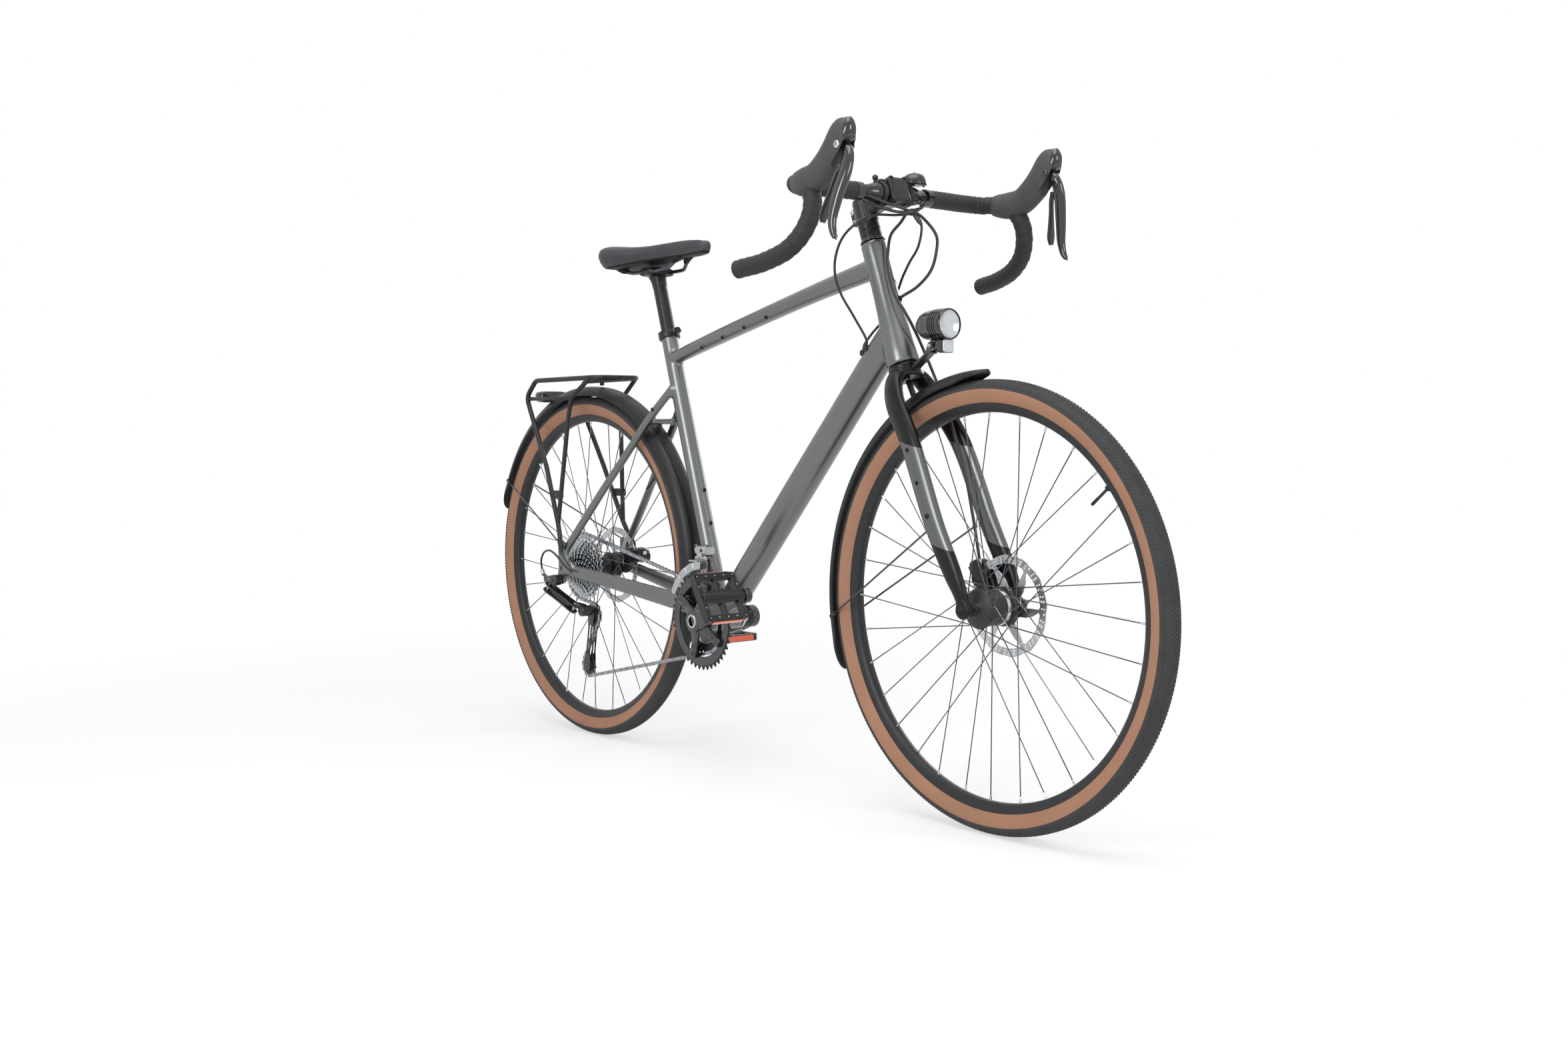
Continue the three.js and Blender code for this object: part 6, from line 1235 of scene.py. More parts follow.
# %% [markdown]
# The saddle cushion is foam under a stretched cover. Its plan is narrow at the nose and wide
# behind, and a shallow channel runs down its middle. The surface follows the same shares as
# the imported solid. A few millimetres of give are added where a cover pulls over foam: a
# seam line round the edge, and slight hollows between the wings and the nose.

# %% Saddle cushion
saddle_cover = finish("saddle_cover", "#343438", 0.5, 0.0, (40, 0.12), (120, 0.06),
                      (1900, 0.0001, 0.6, True), specular=0.42)
saddle_trim = finish("saddle_trim", "#0e0f10", 0.62, 0.0, (40, 0.15), (80, 0.05), specular=0.25)
CUSHION = np.array([[0, .08, .28, .52], [.03, .16, .1, .66], [.12, .24, 0, .72],
                    [.25, .27, -.05, .74], [.4, .36, -.03, .76], [.55, .56, .02, .82],
                    [.68, .8, 0, .92], [.8, .97, -.1, 1.02], [.9, 1, -.18, 1.06],
                    [.97, .88, -.16, .98], [1, .62, -.02, .7]])
SADDLE_NOSE, SADDLE_TOP, SADDLE_LENGTH, SADDLE_HALF, SADDLE_DEPTH = -155, 985, 280, 76, 34
SADDLE_SIZE = (SADDLE_LENGTH, SADDLE_HALF, SADDLE_DEPTH, SADDLE_DEPTH)
SECTION = [[.84, 0], [.97, .3], [1, .56], [.93, .82], [.76, .95], [.5, 1], [.24, .975], [0, .95]]


def cushion_rings(shares):
    """Rings across the saddle: y = half width times the section's share, and z between the
    under side and the crown."""
    t, wide, drop, floor = shares.T
    half = wide * SADDLE_HALF
    crown, under = SADDLE_TOP - drop * SADDLE_DEPTH, SADDLE_TOP - floor * SADDLE_DEPTH
    fine = flat_line(SECTION, 0.05)
    edge = np.vstack([[0.42, 0], [0.66, 0], fine[:-1]])
    ring = np.vstack([edge, fine[-1:], edge[::-1] * (-1, 1), [[0, 0]]])
    y, z = ring.T
    groove = np.exp(-(y / 0.13) ** 2) * (z > 0.6)
    dip = 2.6 * np.clip(np.sin(math.pi * np.clip((t - 0.12) / 0.8, 0, 1)), 0, 1)
    stitch = 0.5 * np.exp(-((z - 0.3) / 0.045) ** 2)
    grid = np.zeros((len(t), len(ring), 3))
    grid[..., 0] = (SADDLE_NOSE - SADDLE_LENGTH * t)[:, None]
    grid[..., 1] = half[:, None] * y - np.sign(y) * stitch
    grid[..., 2] = under[:, None] + (crown - under)[:, None] * z - dip[:, None] * groove
    return grid


cushion = cushion_rings(line_through(CUSHION * SADDLE_SIZE, 3) / SADDLE_SIZE)
cushion_obj = piece("saddle_pad", [skin(cushion, saddle_cover)], "saddle", ["saddle_cushion"],
                    "soft_rubber", angle=80)

# %% [markdown]
# Under the cushion a moulded shell carries two steel rails. The rails run level in the
# middle, where the post clamps them, and rise into the shell at both ends.

# %% Saddle base and rails
upper, lower = [], []
for t, wide, drop, floor in line_through(CUSHION[1:-1] * SADDLE_SIZE, 6):
    half, top = 0.8 * wide, SADDLE_TOP - floor - 0.35
    y = np.linspace(-1, 1, 15)
    dish = 1.2 * (1 - y * y)
    x = np.full(15, SADDLE_NOSE - t)
    upper.append(np.stack([x, half * y, np.full(15, top)], -1))
    lower.append(np.stack([x, half * y * 0.98, top - 2.4 - dish], -1)[::-1])
shell = skin(np.concatenate([upper, lower], 1), saddle_trim)
RAIL = [[-236, -12, 955], [-258, -19, 939], [-268, -22, 937], [-367, -22, 937], [-378, -24, 938],
        [-401, -30, 944.5]]
rail_line = line_through(RAIL, 3)
rail = sweep(rail_line, 3.5, 3.5, dark_metal, 20, free=True)
socket_front = loft([[-226, -11, 958.4, 6.4, 3.6], [-238, -12.6, 955, 6.2, 5.6],
                     [-247, -15, 949.4, 5, 5]], saddle_trim, 24, 0.8, 2)
socket_back = loft([[-386, -26.6, 941.6, 5, 5], [-396, -29, 944, 6.4, 6], [-407, -31, 947.4, 7.4, 4.6]],
                   saddle_trim, 24, 0.8, 2)
piece("saddle_shell", [shell, *both_sides(rail, socket_front, socket_back)], "saddle",
      ["saddle_base"], "black_metal")

# %% Seat post
POST_END = SEAT_TUBE_END + SEAT_UP * 118
HEAD_X = POST_END[0] - 4.5
post = rod(SEAT_TUBE_END - SEAT_UP * 190, POST_END, 13.55, satin_black, 44)
cradle = loft([[HEAD_X + 23 * s, 0, 935.5, 29 * w, 7.4 * d] for s, w, d in
               ((-1, 0.8, 0.55), (-0.7, 1, 1), (0, 1, 1.1), (0.7, 1, 1), (1, 0.8, 0.55))],
              satin_black, 44, 0.45, 2)
clip = loft([[HEAD_X + 14 * s, 0, 943.4, 27 * w, 2.6] for s, w in
             ((-1, 0.8), (-0.6, 1), (0.6, 1), (1, 0.8))], satin_black, 40, 0.5, 2)
neck = loft([[*(POST_END - SEAT_UP * 22), 13.5, 13.5], [*(POST_END - SEAT_UP * 8), 14.4, 15],
             [HEAD_X, 0, 934, 17, 17]], satin_black, 40, 0.85, 2)
post_bolts = [rod((HEAD_X + s, 0, 921), (HEAD_X + s, 0, 947), 2.8, dark_metal, 20) for s in (17, -17)]
post_nut = rod((HEAD_X + 17, -6, 921), (HEAD_X + 17, 6, 921), 4, dark_metal, 20)
piece("seat_post", [post, cradle, clip, neck, *post_bolts, post_nut], "saddle", ["seatpost"],
      "black_metal")
print("saddle pad faces:", made["saddle_pad"])

# %% [markdown]
# A roller chain has twelve point seven millimetres from pin to pin. Its path wraps the large
# rear cog, the guide pulley the other way round, the tension pulley and the small ring in
# front. Straight runs are the tangents between those circles. The pitch is stretched by less
# than a hundredth, so that whole links close the loop. Cogs and chain use the same path, so
# teeth fall between the rollers.

# %% The chain's path
PITCH = 12.7
RING_Y, COG_Y, OUTER_RING_Y = -43.0, -24.6, -50
RING_TEETH, OUTER_TEETH, PULLEY_TEETH = 30, 44, 11
COG_TEETH = (34, 30, 27, 25, 23, 21, 19, 17, 15, 13, 11)
CHAIN_AXES = {"ring": (BOTTOM_BRACKET[0], BOTTOM_BRACKET[2]), "tension": (-552, 147),
              "guide": (-532, 253), "cog": (-567.5, 350)}
# The wheels in the chain's order: name, teeth, plane, and the way the path goes round.
WRAPS = [("ring", RING_TEETH, RING_Y, 1), ("tension", PULLEY_TEETH, COG_Y, 1),
         ("guide", PULLEY_TEETH, COG_Y, -1), ("cog", COG_TEETH[0], COG_Y, 1)]


def pitch_radius(teeth):
    """Radius of the circle through the pins: half the pitch over the sine of half a step."""
    return PITCH / (2 * math.sin(math.pi / teeth))


def tangent(first, second):
    """Points where a straight run leaves one circle and meets the next. For the turning
    senses a and b, the normal n solves n . d = a r1 - b r2 with d the centre line."""
    (c1, r1, s1), (c2, r2, s2) = first, second
    d = np.array(c2, float) - c1
    length = np.linalg.norm(d)
    u = d / length
    side = np.array([-u[1], u[0]])
    k = (s1 * r1 - s2 * r2) / length
    n = u * k + side * math.sqrt(1 - k * k)
    return np.array(c1) + n * s1 * r1, np.array(c2) + n * s2 * r2


def chain_path():
    """The loop's points in order, each [x, y, z]: arcs by angle and straight runs whose y
    moves from one wheel's plane to the next."""
    circles = [(CHAIN_AXES[n], pitch_radius(t), s) for n, t, _, s in WRAPS]
    count = len(WRAPS)
    runs = [tangent(circles[i], circles[(i + 1) % count]) for i in range(count)]
    points = []
    for i in range(count):
        centre, radius, sense = circles[i]
        y, next_y = WRAPS[i][2], WRAPS[(i + 1) % count][2]
        start, stop = runs[i - 1][1] - centre, runs[i][0] - centre
        a0, a1 = math.atan2(start[1], start[0]), math.atan2(stop[1], stop[0])
        turn = (a1 - a0) % (2 * math.pi)
        if sense > 0:
            turn -= 2 * math.pi
        for t in np.linspace(0, 1, 60):
            x, z = polar(centre, radius, a0 + turn * t)
            points.append([x, y, z])
        for t in np.linspace(0, 1, 60)[1:-1]:
            x, z = runs[i][0] + (runs[i][1] - runs[i][0]) * t
            points.append([x, y + (next_y - y) * np.clip((t - 0.1) / 0.8, 0, 1), z])
    return np.array(points)


loop = chain_path()
closed = np.vstack([loop, loop[:1]])
run = np.concatenate([[0], np.cumsum(np.linalg.norm(np.diff(closed[:, [0, 2]], axis=0), axis=1))])
links = 2 * round(run[-1] / PITCH / 2)
places = (np.arange(links) + 0.5) * run[-1] / links
pins = np.stack([np.interp(places, run, closed[:, k]) for k in range(3)], -1)
print("chain links:", links, "pitch:", round(run[-1] / links, 3))


def pins_on(name, teeth):
    """Pins that lie on a wheel, in the order of the path, which starts on the chainring."""
    away = np.linalg.norm(pins[:, [0, 2]] - np.array(CHAIN_AXES[name]), axis=1)
    return np.flatnonzero(abs(away - pitch_radius(teeth)) < 0.25)


def tooth_angle(name, teeth):
    """Angle of the point midway between two neighbouring pins on a wheel."""
    near = pins_on(name, teeth)
    k = near[len(near) // 2]
    mid = (pins[k] + pins[(k + 1) % links])[[0, 2]] / 2 - np.array(CHAIN_AXES[name])
    return math.atan2(mid[1], mid[0])


# %% [markdown]
# Each link is two waisted plates. Inner and outer pairs take turns, and a pin with a roller
# goes through every joint.

# %% Chain
chain_steel = finish("chain_steel", "#9a9da1", 0.26, 1.0, (90, 0.12), (150, 0.08), (900, 0.00001))
roller_steel = finish("roller_steel", "#6f7275", 0.3, 1.0, (90, 0.12), (150, 0.08))
HALF_TALL, HALF_PIN = 4.1, 3.35


def link(k):
    """Two plates, each with round ends about both pins and a waist of two thirds between
    them, and the pin and roller at the link's first joint."""
    a, b = pins[k], pins[(k + 1) % links]
    along = unit((b - a) * (1, 0, 1))
    over = spot(-along[2], 0, along[0])
    reach = np.linalg.norm((b - a)[[0, 2]]) / 2
    shape = [(-reach + HALF_TALL * math.cos(angle), HALF_TALL * math.sin(angle))
             for angle in np.linspace(math.pi / 2 + 0.55, 3 * math.pi / 2 - 0.55, 7)]
    shape.append((0, -HALF_TALL * 0.66))
    shape = np.array(shape + [(-x, -y) for x, y in shape]) * 0.976
    parts = []
    inside = 1.15 if k % 2 else 2.15
    for way in (-1, 1):
        rows = [(a + b) / 2 + shape[:, :1] * along + shape[:, 1:] * over + LEFT * way * off
                for off in (inside, inside + 0.85)]
        parts.append(skin(np.array(rows), chain_steel))
    return [*parts, rod(a - LEFT * HALF_PIN, a + LEFT * HALF_PIN, 1.75, roller_steel, 10),
            rod(a - LEFT * 1.15, a + LEFT * 1.15, 3.7, roller_steel, 12)]


chain_parts = [link(k) for k in range(links)]

# %% [markdown]
# The loop is split where it has to follow the derailleur. The links round both pulleys ride
# on the cage. The short run up to the cassette is made one link to a piece, and the lower run
# in two halves; these pieces ride on no body.

# %% Chain pieces
def chain_piece(name, first, last, body=None, between=None):
    """Links first to last - 1 as one piece, on a body if one is given. With between the piece
    rides on no body and is baked in place; the bodies that between names are not used.
    """
    parts = [part for k in range(first, last) for part in chain_parts[k % links]]
    obj = piece(name, parts, body, ["chain"], "steel", angle=35)
    if between:
        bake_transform(obj)


leaves_ring, meets_tension = pins_on("ring", RING_TEETH).max(), pins_on("tension", PULLEY_TEETH).min()
leaves_guide = pins_on("guide", PULLEY_TEETH).max()
lower_middle = (leaves_ring + meets_tension) // 2
CAGE_TO_FRAME = ["rear_shifter_cage", "rear_shifter_knuckle", "rear_shifter_link",
                 "rear_shifter_mount", "chassis"]
chain_piece("chain_lower_front", leaves_ring, lower_middle, between=("chassis", "rear_shifter_mount"))
chain_piece("chain_lower_rear", lower_middle, meets_tension,
            between=("rear_shifter_knuckle", "rear_shifter_cage"))
chain_piece("chain_in_cage", meets_tension, leaves_guide, body="rear_shifter_cage")
for i, bodies in enumerate(zip(CAGE_TO_FRAME, CAGE_TO_FRAME[1:])):
    chain_piece(f"chain_riser_{i + 1}", leaves_guide + i, leaves_guide + i + 1, between=bodies)
chain_piece("roller_chain", leaves_guide + 4, links + leaves_ring, body="chassis")
print("chain split at links:", leaves_ring, lower_middle, meets_tension, leaves_guide)

# %% [markdown]
# A tooth is a rounded wedge between two roller seats. The outline below lists, for each
# tooth, the seat, the flank and the tip by angle and radius.

# %% Toothed outlines
def toothed(centre, teeth, start, tip=3.1, skip=None):
    """Outline of a toothed wheel: seats at pitch radius - 3.9, tips at pitch radius + tip."""
    radius, step = pitch_radius(teeth), 2 * math.pi / teeth
    low = radius - 3.9
    rising = [(-0.5, low), (-0.38, low + 0.5), (-0.27, low + 2.4), (-0.17, radius + 0.9)]
    line = []
    for i in range(teeth):
        top = radius + tip * (0.55 if skip and i % skip == 0 else 1)
        tooth = rising + [(-0.08, top), (0.08, top)] + [(-share, r) for share, r in rising[:0:-1]]
        line += [polar(centre, r, start + (i + share) * step) for share, r in tooth]
    return np.array(line)


def wheel_of_bars(centre, hub, rim_in, arms, width, turn):
    """Windows between straight arms: each is a ring segment with arm edges cut parallel."""
    windows = []
    for i in range(arms):
        a0, a1 = turn + i * 2 * math.pi / arms, turn + (i + 1) * 2 * math.pi / arms
        inner = math.asin(min(width / 2 / hub, 0.95))
        outer = width / 2 / rim_in
        far = [(rim_in, a) for a in np.linspace(a0 + outer, a1 - outer, 9)]
        near = [(hub, a) for a in np.linspace(a1 - inner, a0 + inner, 5)]
        line = [polar(centre, r, a) for r, a in far + near]
        windows.append(softened(line, 1.6))
    return windows


# %% [markdown]
# The cassette is eleven cogs, from thirty-four teeth down to eleven, with spacers between
# them. The large cogs have windows, as real ones do to save weight.

# %% Cassette
cog_steel = finish("cog_steel", "#b4b7ba", 0.24, 1.0, (60, 0.1), (120, 0.07), (700, 0.00001))
hub_spot = CHAIN_AXES["cog"]
cogs = []
for i, teeth in enumerate(COG_TEETH):
    start = 0.2 * i if i else tooth_angle("cog", teeth)
    outlines = [toothed(hub_spot, teeth, start, 1.7 if i else 3.1, 5 if i else None)]
    if pitch_radius(teeth) > 38:
        outlines += wheel_of_bars(hub_spot, 23.5, pitch_radius(teeth) - 10.5, 7, 5, start)
    outlines.append(circle(*hub_spot, 17.2, 48))
    cogs.append(plate(outlines, 1.75, COG_Y - 3.9 * i, cog_steel, 0.3))
core = softened([[11, -23.5], [17.4, -23.5], [17.5, -23], [17.5, -66.2], [16.8, -66.8], [14.4, -67.1],
                 [10.2, -67.1], [10.2, -70.2], [9.6, -70.6], [7, -70.6], [7, -60], [11, -60]], 0.5)
core_part = turned(core, REAR_AXLE, LEFT, dark_metal, 56)
splines = [rod(REAR_AXLE + in_plane(a) * 12.6 - LEFT * 67.5, REAR_AXLE + in_plane(a) * 12.6 - LEFT * 66.4,
               0.9, dark_metal, 8) for a in full_turn(18)]
piece("cog_stack", [*cogs, core_part, *splines], "gear_block", ["cassette"], "steel", angle=30)
print("cassette faces:", made["cog_stack"])

# %% [markdown]
# The crankset: a forged right arm with a four-armed spider, two rings, a hollow spindle and
# a left arm. The satin grey coat of the arms is darker on the edges of the spider.

# %% Crankset
crank_grey = finish("crank_grey", "#434446", 0.3, 0.75, (30, 0.08), (80, 0.05), (900, 0.00001),
                    coat=(0.35, 0.18))
ring_black = finish("ring_black", "#1d1e20", 0.32, 0.6, (60, 0.12), (120, 0.06), (900, 0.00001))
CRANK_LENGTH = 175
CRANK_AHEAD = in_plane(math.radians(20))
SPIDER = [in_plane(math.radians(d)) for d in (72.5, 147.5, -107.5, -32.5)]
BB = (BOTTOM_BRACKET[0], BOTTOM_BRACKET[2])


def crank_arm(sign):
    """An arm from the spindle to the pedal's eye; sign 1 points ahead on the right side."""
    rows = []
    for t, y, side, deep in ((0, 64, 8.5, 19), (0.1, 64.4, 8.4, 19.2), (0.2, 65, 8, 17.4),
                             (0.5, 68, 6.5, 13.8), (0.86, 71.6, 6.4, 12.6), (1, 73, 6.3, 12.9)):
        at = BOTTOM_BRACKET + sign * CRANK_AHEAD * CRANK_LENGTH * t
        rows.append([at[0], -sign * y, at[2], side, deep])
    eye = BOTTOM_BRACKET + sign * CRANK_AHEAD * CRANK_LENGTH
    boss_profile = softened([[12.6, 55.7], [20, 55.7], [21, 56.6], [21, 70.4], [19.6, 72.2],
                             [12.6, 72.4]], 0.8)
    eye_profile = softened([[5.3, 66.7], [12.4, 66.7], [13.4, 67.6], [13.4, 78], [12.4, 79.3],
                            [5.3, 79.3]], 0.8)
    return [loft(rows, crank_grey, 44, 0.72, 3),
            turned(boss_profile, BOTTOM_BRACKET, -LEFT * sign, crank_grey, 64),
            turned(eye_profile, eye, -LEFT * sign, crank_grey, 48)]


SPIDER_STATIONS = ((14, 59, 13.5, 5), (26, 58, 11.5, 4.6), (40, 56, 9, 4.2), (56, 55.2, 8.2, 4),
                   (68, 55.2, 8.2, 3.9), (72.5, 55.2, 7, 3.2))
spider_parts = [loft([[*(BOTTOM_BRACKET + way * r - LEFT * y), thick, wide]
                      for r, y, wide, thick in SPIDER_STATIONS], crank_grey, 36, 0.6, 2.5)
                for way in SPIDER]
tube = turned(softened([[9.4, -50], [11.9, -50], [11.9, 72.8], [11.4, 73.8], [9.4, 73.8]], 0.4),
              BOTTOM_BRACKET, LEFT, bright_metal, 48)
tube_end = turned(softened([[9.2, 71], [12.4, 71], [12.9, 72.2], [12.4, 73.6], [9.2, 73.6]], 0.5),
                  BOTTOM_BRACKET, -LEFT, bright_metal, 56)
plug = turned([[0, 60], [9.3, 60], [9.3, 66], [0, 66.5]], BOTTOM_BRACKET, -LEFT, gloss_black, 40)
piece("crank_drive", [*crank_arm(1), *spider_parts, tube, tube_end, plug], "crankset",
      ["crank_right"], "black_metal", angle=44)
pinch_bolts = []
for t in (0.105, 0.165):
    at = BOTTOM_BRACKET - CRANK_AHEAD * CRANK_LENGTH * t + LEFT * 64.6
    tall = np.cross(CRANK_AHEAD, LEFT)
    pinch_bolts.append(screw(at - tall * 16.5, -tall, 3.8, dark_metal, 3.2))
piece("crank_plain", [*crank_arm(-1), *pinch_bolts], "crankset", ["crank_left"], "black_metal",
      angle=44)

# %% Chainrings
inner_line = toothed(BB, RING_TEETH, tooth_angle("ring", RING_TEETH), 3.1)
inner_ring = plate([inner_line, circle(*BB, 43.2, 96)], 1.9, RING_Y, ring_black, 0.35)
outer_line = toothed(BB, OUTER_TEETH, 0.05, 3.0)
outer_ring = plate([outer_line, circle(*BB, 67.2, 128)], 2.1, OUTER_RING_Y, ring_black, 0.4)
face_ring = plate([circle(*BB, pitch_radius(OUTER_TEETH) - 5.2, 128), circle(*BB, 68.4, 128)],
                  0.8, OUTER_RING_Y - 1.3, crank_grey, 0.2)
ring_bits = [inner_ring, outer_ring, face_ring]
for way in SPIDER:
    rows = [[*(BOTTOM_BRACKET + way * r + LEFT * y), s, w] for r, y, s, w in
            ((43.6, -43.4, 1.1, 7.6), (51, -44.2, 1.9, 8.2), (58, -47.6, 1.9, 8), (69.5, -50, 1.1, 7.4))]
    ring_bits.append(loft(rows, ring_black, 28, 0.55, 2))
    for r, head_y in ((52, 59.1), (66.5, 58.9)):
        at = BOTTOM_BRACKET + way * r
        ring_bits.append(screw(at - LEFT * head_y, -LEFT, 4.2, dark_metal, 1.7))
        ring_bits.append(rod(at - LEFT * 42, at - LEFT * 59, 3.6, dark_metal, 16))
piece("chainring_set", ring_bits, "crankset", ["chainrings"], "dark_steel", angle=32)

# %% [markdown]
# The pedals are broad cages with windows and small pins, and each carries an orange
# reflector in front and behind. The right one hangs tilted, as in the photograph.

# %% Pedals
pedal_black = finish("pedal_black", "#17181a", 0.42, 0.1, (60, 0.15), (120, 0.06), (1100, 0.00004))
amber = finish("amber_reflector", "#d4500c", 0.12, 0.0, (200, 0.12), (60, 0.03), coat=(0.8, 0.04))


def pedal_bar(x0, x1, y0, y1, z=6.9, edge=0.45, look=pedal_black):
    """A softened box of a pedal, level about the axle."""
    half = (abs(x1 - x0) / 2, abs(y1 - y0) / 2)
    route = np.array([[(x0 + x1) / 2, (y0 + y1) / 2, h] for h in (-z, -z + 0.9, z - 0.9, z)])
    cut = np.array([0.9, 0, 0, 0.9])
    return sweep(route, half[1] - cut, half[0] - cut, look, 36, edge)


def flat_pedal(tilt):
    """A pedal centred on the origin, with its axle along y and its near end at y = 84."""
    sleeve = softened([[5.3, 80], [9.4, 80], [10, 81], [10, 168], [9, 169.4], [5.3, 169.4]], 0.5)
    axle = [[0, 67.4], [5.1, 67.4], [5.1, 78], [8.6, 78.6], [8.6, 81.4], [5.1, 82], [5.1, 175], [0, 175]]
    parts = [pedal_bar(-46, -34, 86, 174), pedal_bar(34, 46, 86, 174), pedal_bar(-44, 44, 84.4, 96),
             pedal_bar(-44, 44, 164, 175.6), pedal_bar(-40, 40, 126, 134, 6),
             pedal_bar(-13, 13, 92, 168, 7.2, 0.7), turned(sleeve, (0, 0, 0), LEFT, pedal_black, 36),
             turned(axle, (0, 0, 0), LEFT, bright_metal, 24)]
    for x in (-1, 1):
        parts.append(pedal_bar(x * 46.6 - 0.9, x * 46.6 + 0.9, 98, 162, 5.3, 0.3, amber))
    pins_at = [(x * 39.5, y) for x in (-1, 1) for y in np.arange(92, 172, 19)]
    pins_at += [(x, y) for y in (89, 170) for x in (-20, 20)]
    parts += [rod((x, y, -7.9), (x, y, 7.9), 1.35, bright_metal, 8) for x, y in pins_at]
    c, s = math.cos(tilt), math.sin(tilt)
    turn = np.array([[c, 0, s], [0, 1, 0], [-s, 0, c]])
    return [(np.asarray(p) @ turn.T, g, look) for p, g, look in parts]


def moved(parts, at, side):
    """Parts carried to a place, on the left for side 1 and on the right for side -1."""
    own = parts if side > 0 else [mirrored(part) for part in parts]
    return [(np.asarray(points) + at, groups, look) for points, groups, look in own]


right_eye = BOTTOM_BRACKET + CRANK_AHEAD * CRANK_LENGTH
left_eye = BOTTOM_BRACKET - CRANK_AHEAD * CRANK_LENGTH
piece("flat_pedal_right", moved(flat_pedal(math.radians(60)), right_eye, -1), "right_pedal",
      ["pedal_right"], "black_plastic")
piece("flat_pedal_left", moved(flat_pedal(0), left_eye, 1), "left_pedal", ["pedal_left"],
      "black_plastic")
print("drive pieces:", len(made))

# %% [markdown]
# The front derailleur is a forged body on the seat tube and a cage of two curved plates
# that pushes the chain over. The plates are joined by a roof and a tail pin.

# %% Front derailleur
forged_silver = finish("forged_silver", "#aeb0b2", 0.3, 0.95, (60, 0.08), (120, 0.07), (600, 0.00002))
body_block = loft([[-162, -21, 404, 12.6, 7.4], [-156, -21.5, 405, 13.4, 8.6], [-140, -22, 405, 13.4, 8.8],
                   [-131, -22, 404, 12, 7.4]], forged_silver, 44, 0.5, 2)
arm_outer = loft([[-150, -30, 402, 4.4, 8], [-149, -32, 394, 4, 6.8], [-147, -31, 388, 3.6, 5.4]],
                 forged_silver, 32, 0.7, 2)
cable_arm = loft([[-156, -30, 408, 3.2, 4], [-160, -32, 413, 2.8, 3.4], [-163, -33, 413.5, 2.4, 2.6]],
                 dark_metal, 24, 0.8, 1.5)
piece("front_changer", [body_block, arm_outer, cable_arm,
                        screw((-138, -22, 413.4), UP, 3, dark_metal, 2),
                        screw((-134, -24, 413.2), UP, 2.6, dark_metal, 2),
                        screw((-140, -35.2, 405), -LEFT, 3.6, dark_metal, 1.8)],
      "chassis", ["front_derailleur"], "silver_metal", angle=34)
outer_shape = [(95, 92), (95, 108), (95, 124), (95, 140), (95, 152), (101.5, 155.5), (108, 153),
               (109.5, 140), (110, 124), (110, 108), (109, 92)]
outer_line = softened([polar(BB, r, math.radians(a)) for r, a in outer_shape], 4, extra=3)
inner_shape = [(-122, 348), (-150, 344), (-180, 336), (-215, 325), (-217, 332), (-200, 350),
               (-172, 374), (-140, 387), (-118, 386)]
cage_parts = [plate([outer_line], 1.5, -49.3, forged_silver, 0.3),
              plate([softened(inner_shape, 5, extra=3)], 1.4, -36.8, forged_silver, 0.3),
              rod((-213, -50.2, 328.5), (-213, -35.8, 328.5), 2.5, forged_silver, 20),
              rod((-140, -49.8, 385.5), (-140, -36.3, 385.5), 2.4, forged_silver, 20),
              rod((-162, -30, 390), (-132, -30, 390), 4.5, forged_silver, 28),
              loft([[-161, -39.5, 385.6, 9.6, 1.7], [-158, -39.5, 385.8, 9.8, 2.1],
                    [-137, -39.5, 385.8, 9.8, 2.1], [-134, -39.5, 385.6, 9.6, 1.7]],
                   forged_silver, 32, 0.45, 2)]
for a in (104, 118, 132):
    (x0, z0), (x1, z1) = [polar(BB, r, math.radians(a)) for r in (98, 107)]
    cage_parts.append(rod((x0, -50.4, z0), (x1, -50.4, z1), 0.9, forged_silver, 10))
piece("front_changer_cage", cage_parts, "front_shifter", ["front_derailleur_cage"], "steel", angle=34)

# %% [markdown]
# The rear derailleur hangs from the hanger bolt. An upper knuckle, two parallel link plates,
# a lower knuckle and a long cage with two toothed pulleys make up its chain of movement.

# %% Rear derailleur
changer_black = finish("changer_black", "#191a1c", 0.3, 0.3, (60, 0.12), (100, 0.06), (900, 0.00002),
                       coat=(0.3, 0.15))
LINK_AXIS = unit((0.6, 0, 0.8))
LINK_TOP, LINK_FOOT = spot(-603, -89, 309), spot(-549, -62, 269)


def knuckle(x, z, near, far):
    """A round knuckle along y with a turned rim and a bolt with a sunk socket."""
    profile = softened([[2.9, -1.4], [5.4, -1.4], [5.8, 0], [9.6, 0], [11, -1.4], [11, near - far + 1],
                        [10, near - far], [2.9, near - far]], 0.5)
    return [turned(profile, (x, -far, z), -LEFT, changer_black, 56),
            turned([[0, -3], [5, -3], [5, 0.2], [4.4, 0.8], [2.8, 0.8], [2.6, -1.6], [0, -1.6]],
                   (x, -far, z), -LEFT, dark_metal, 36)]


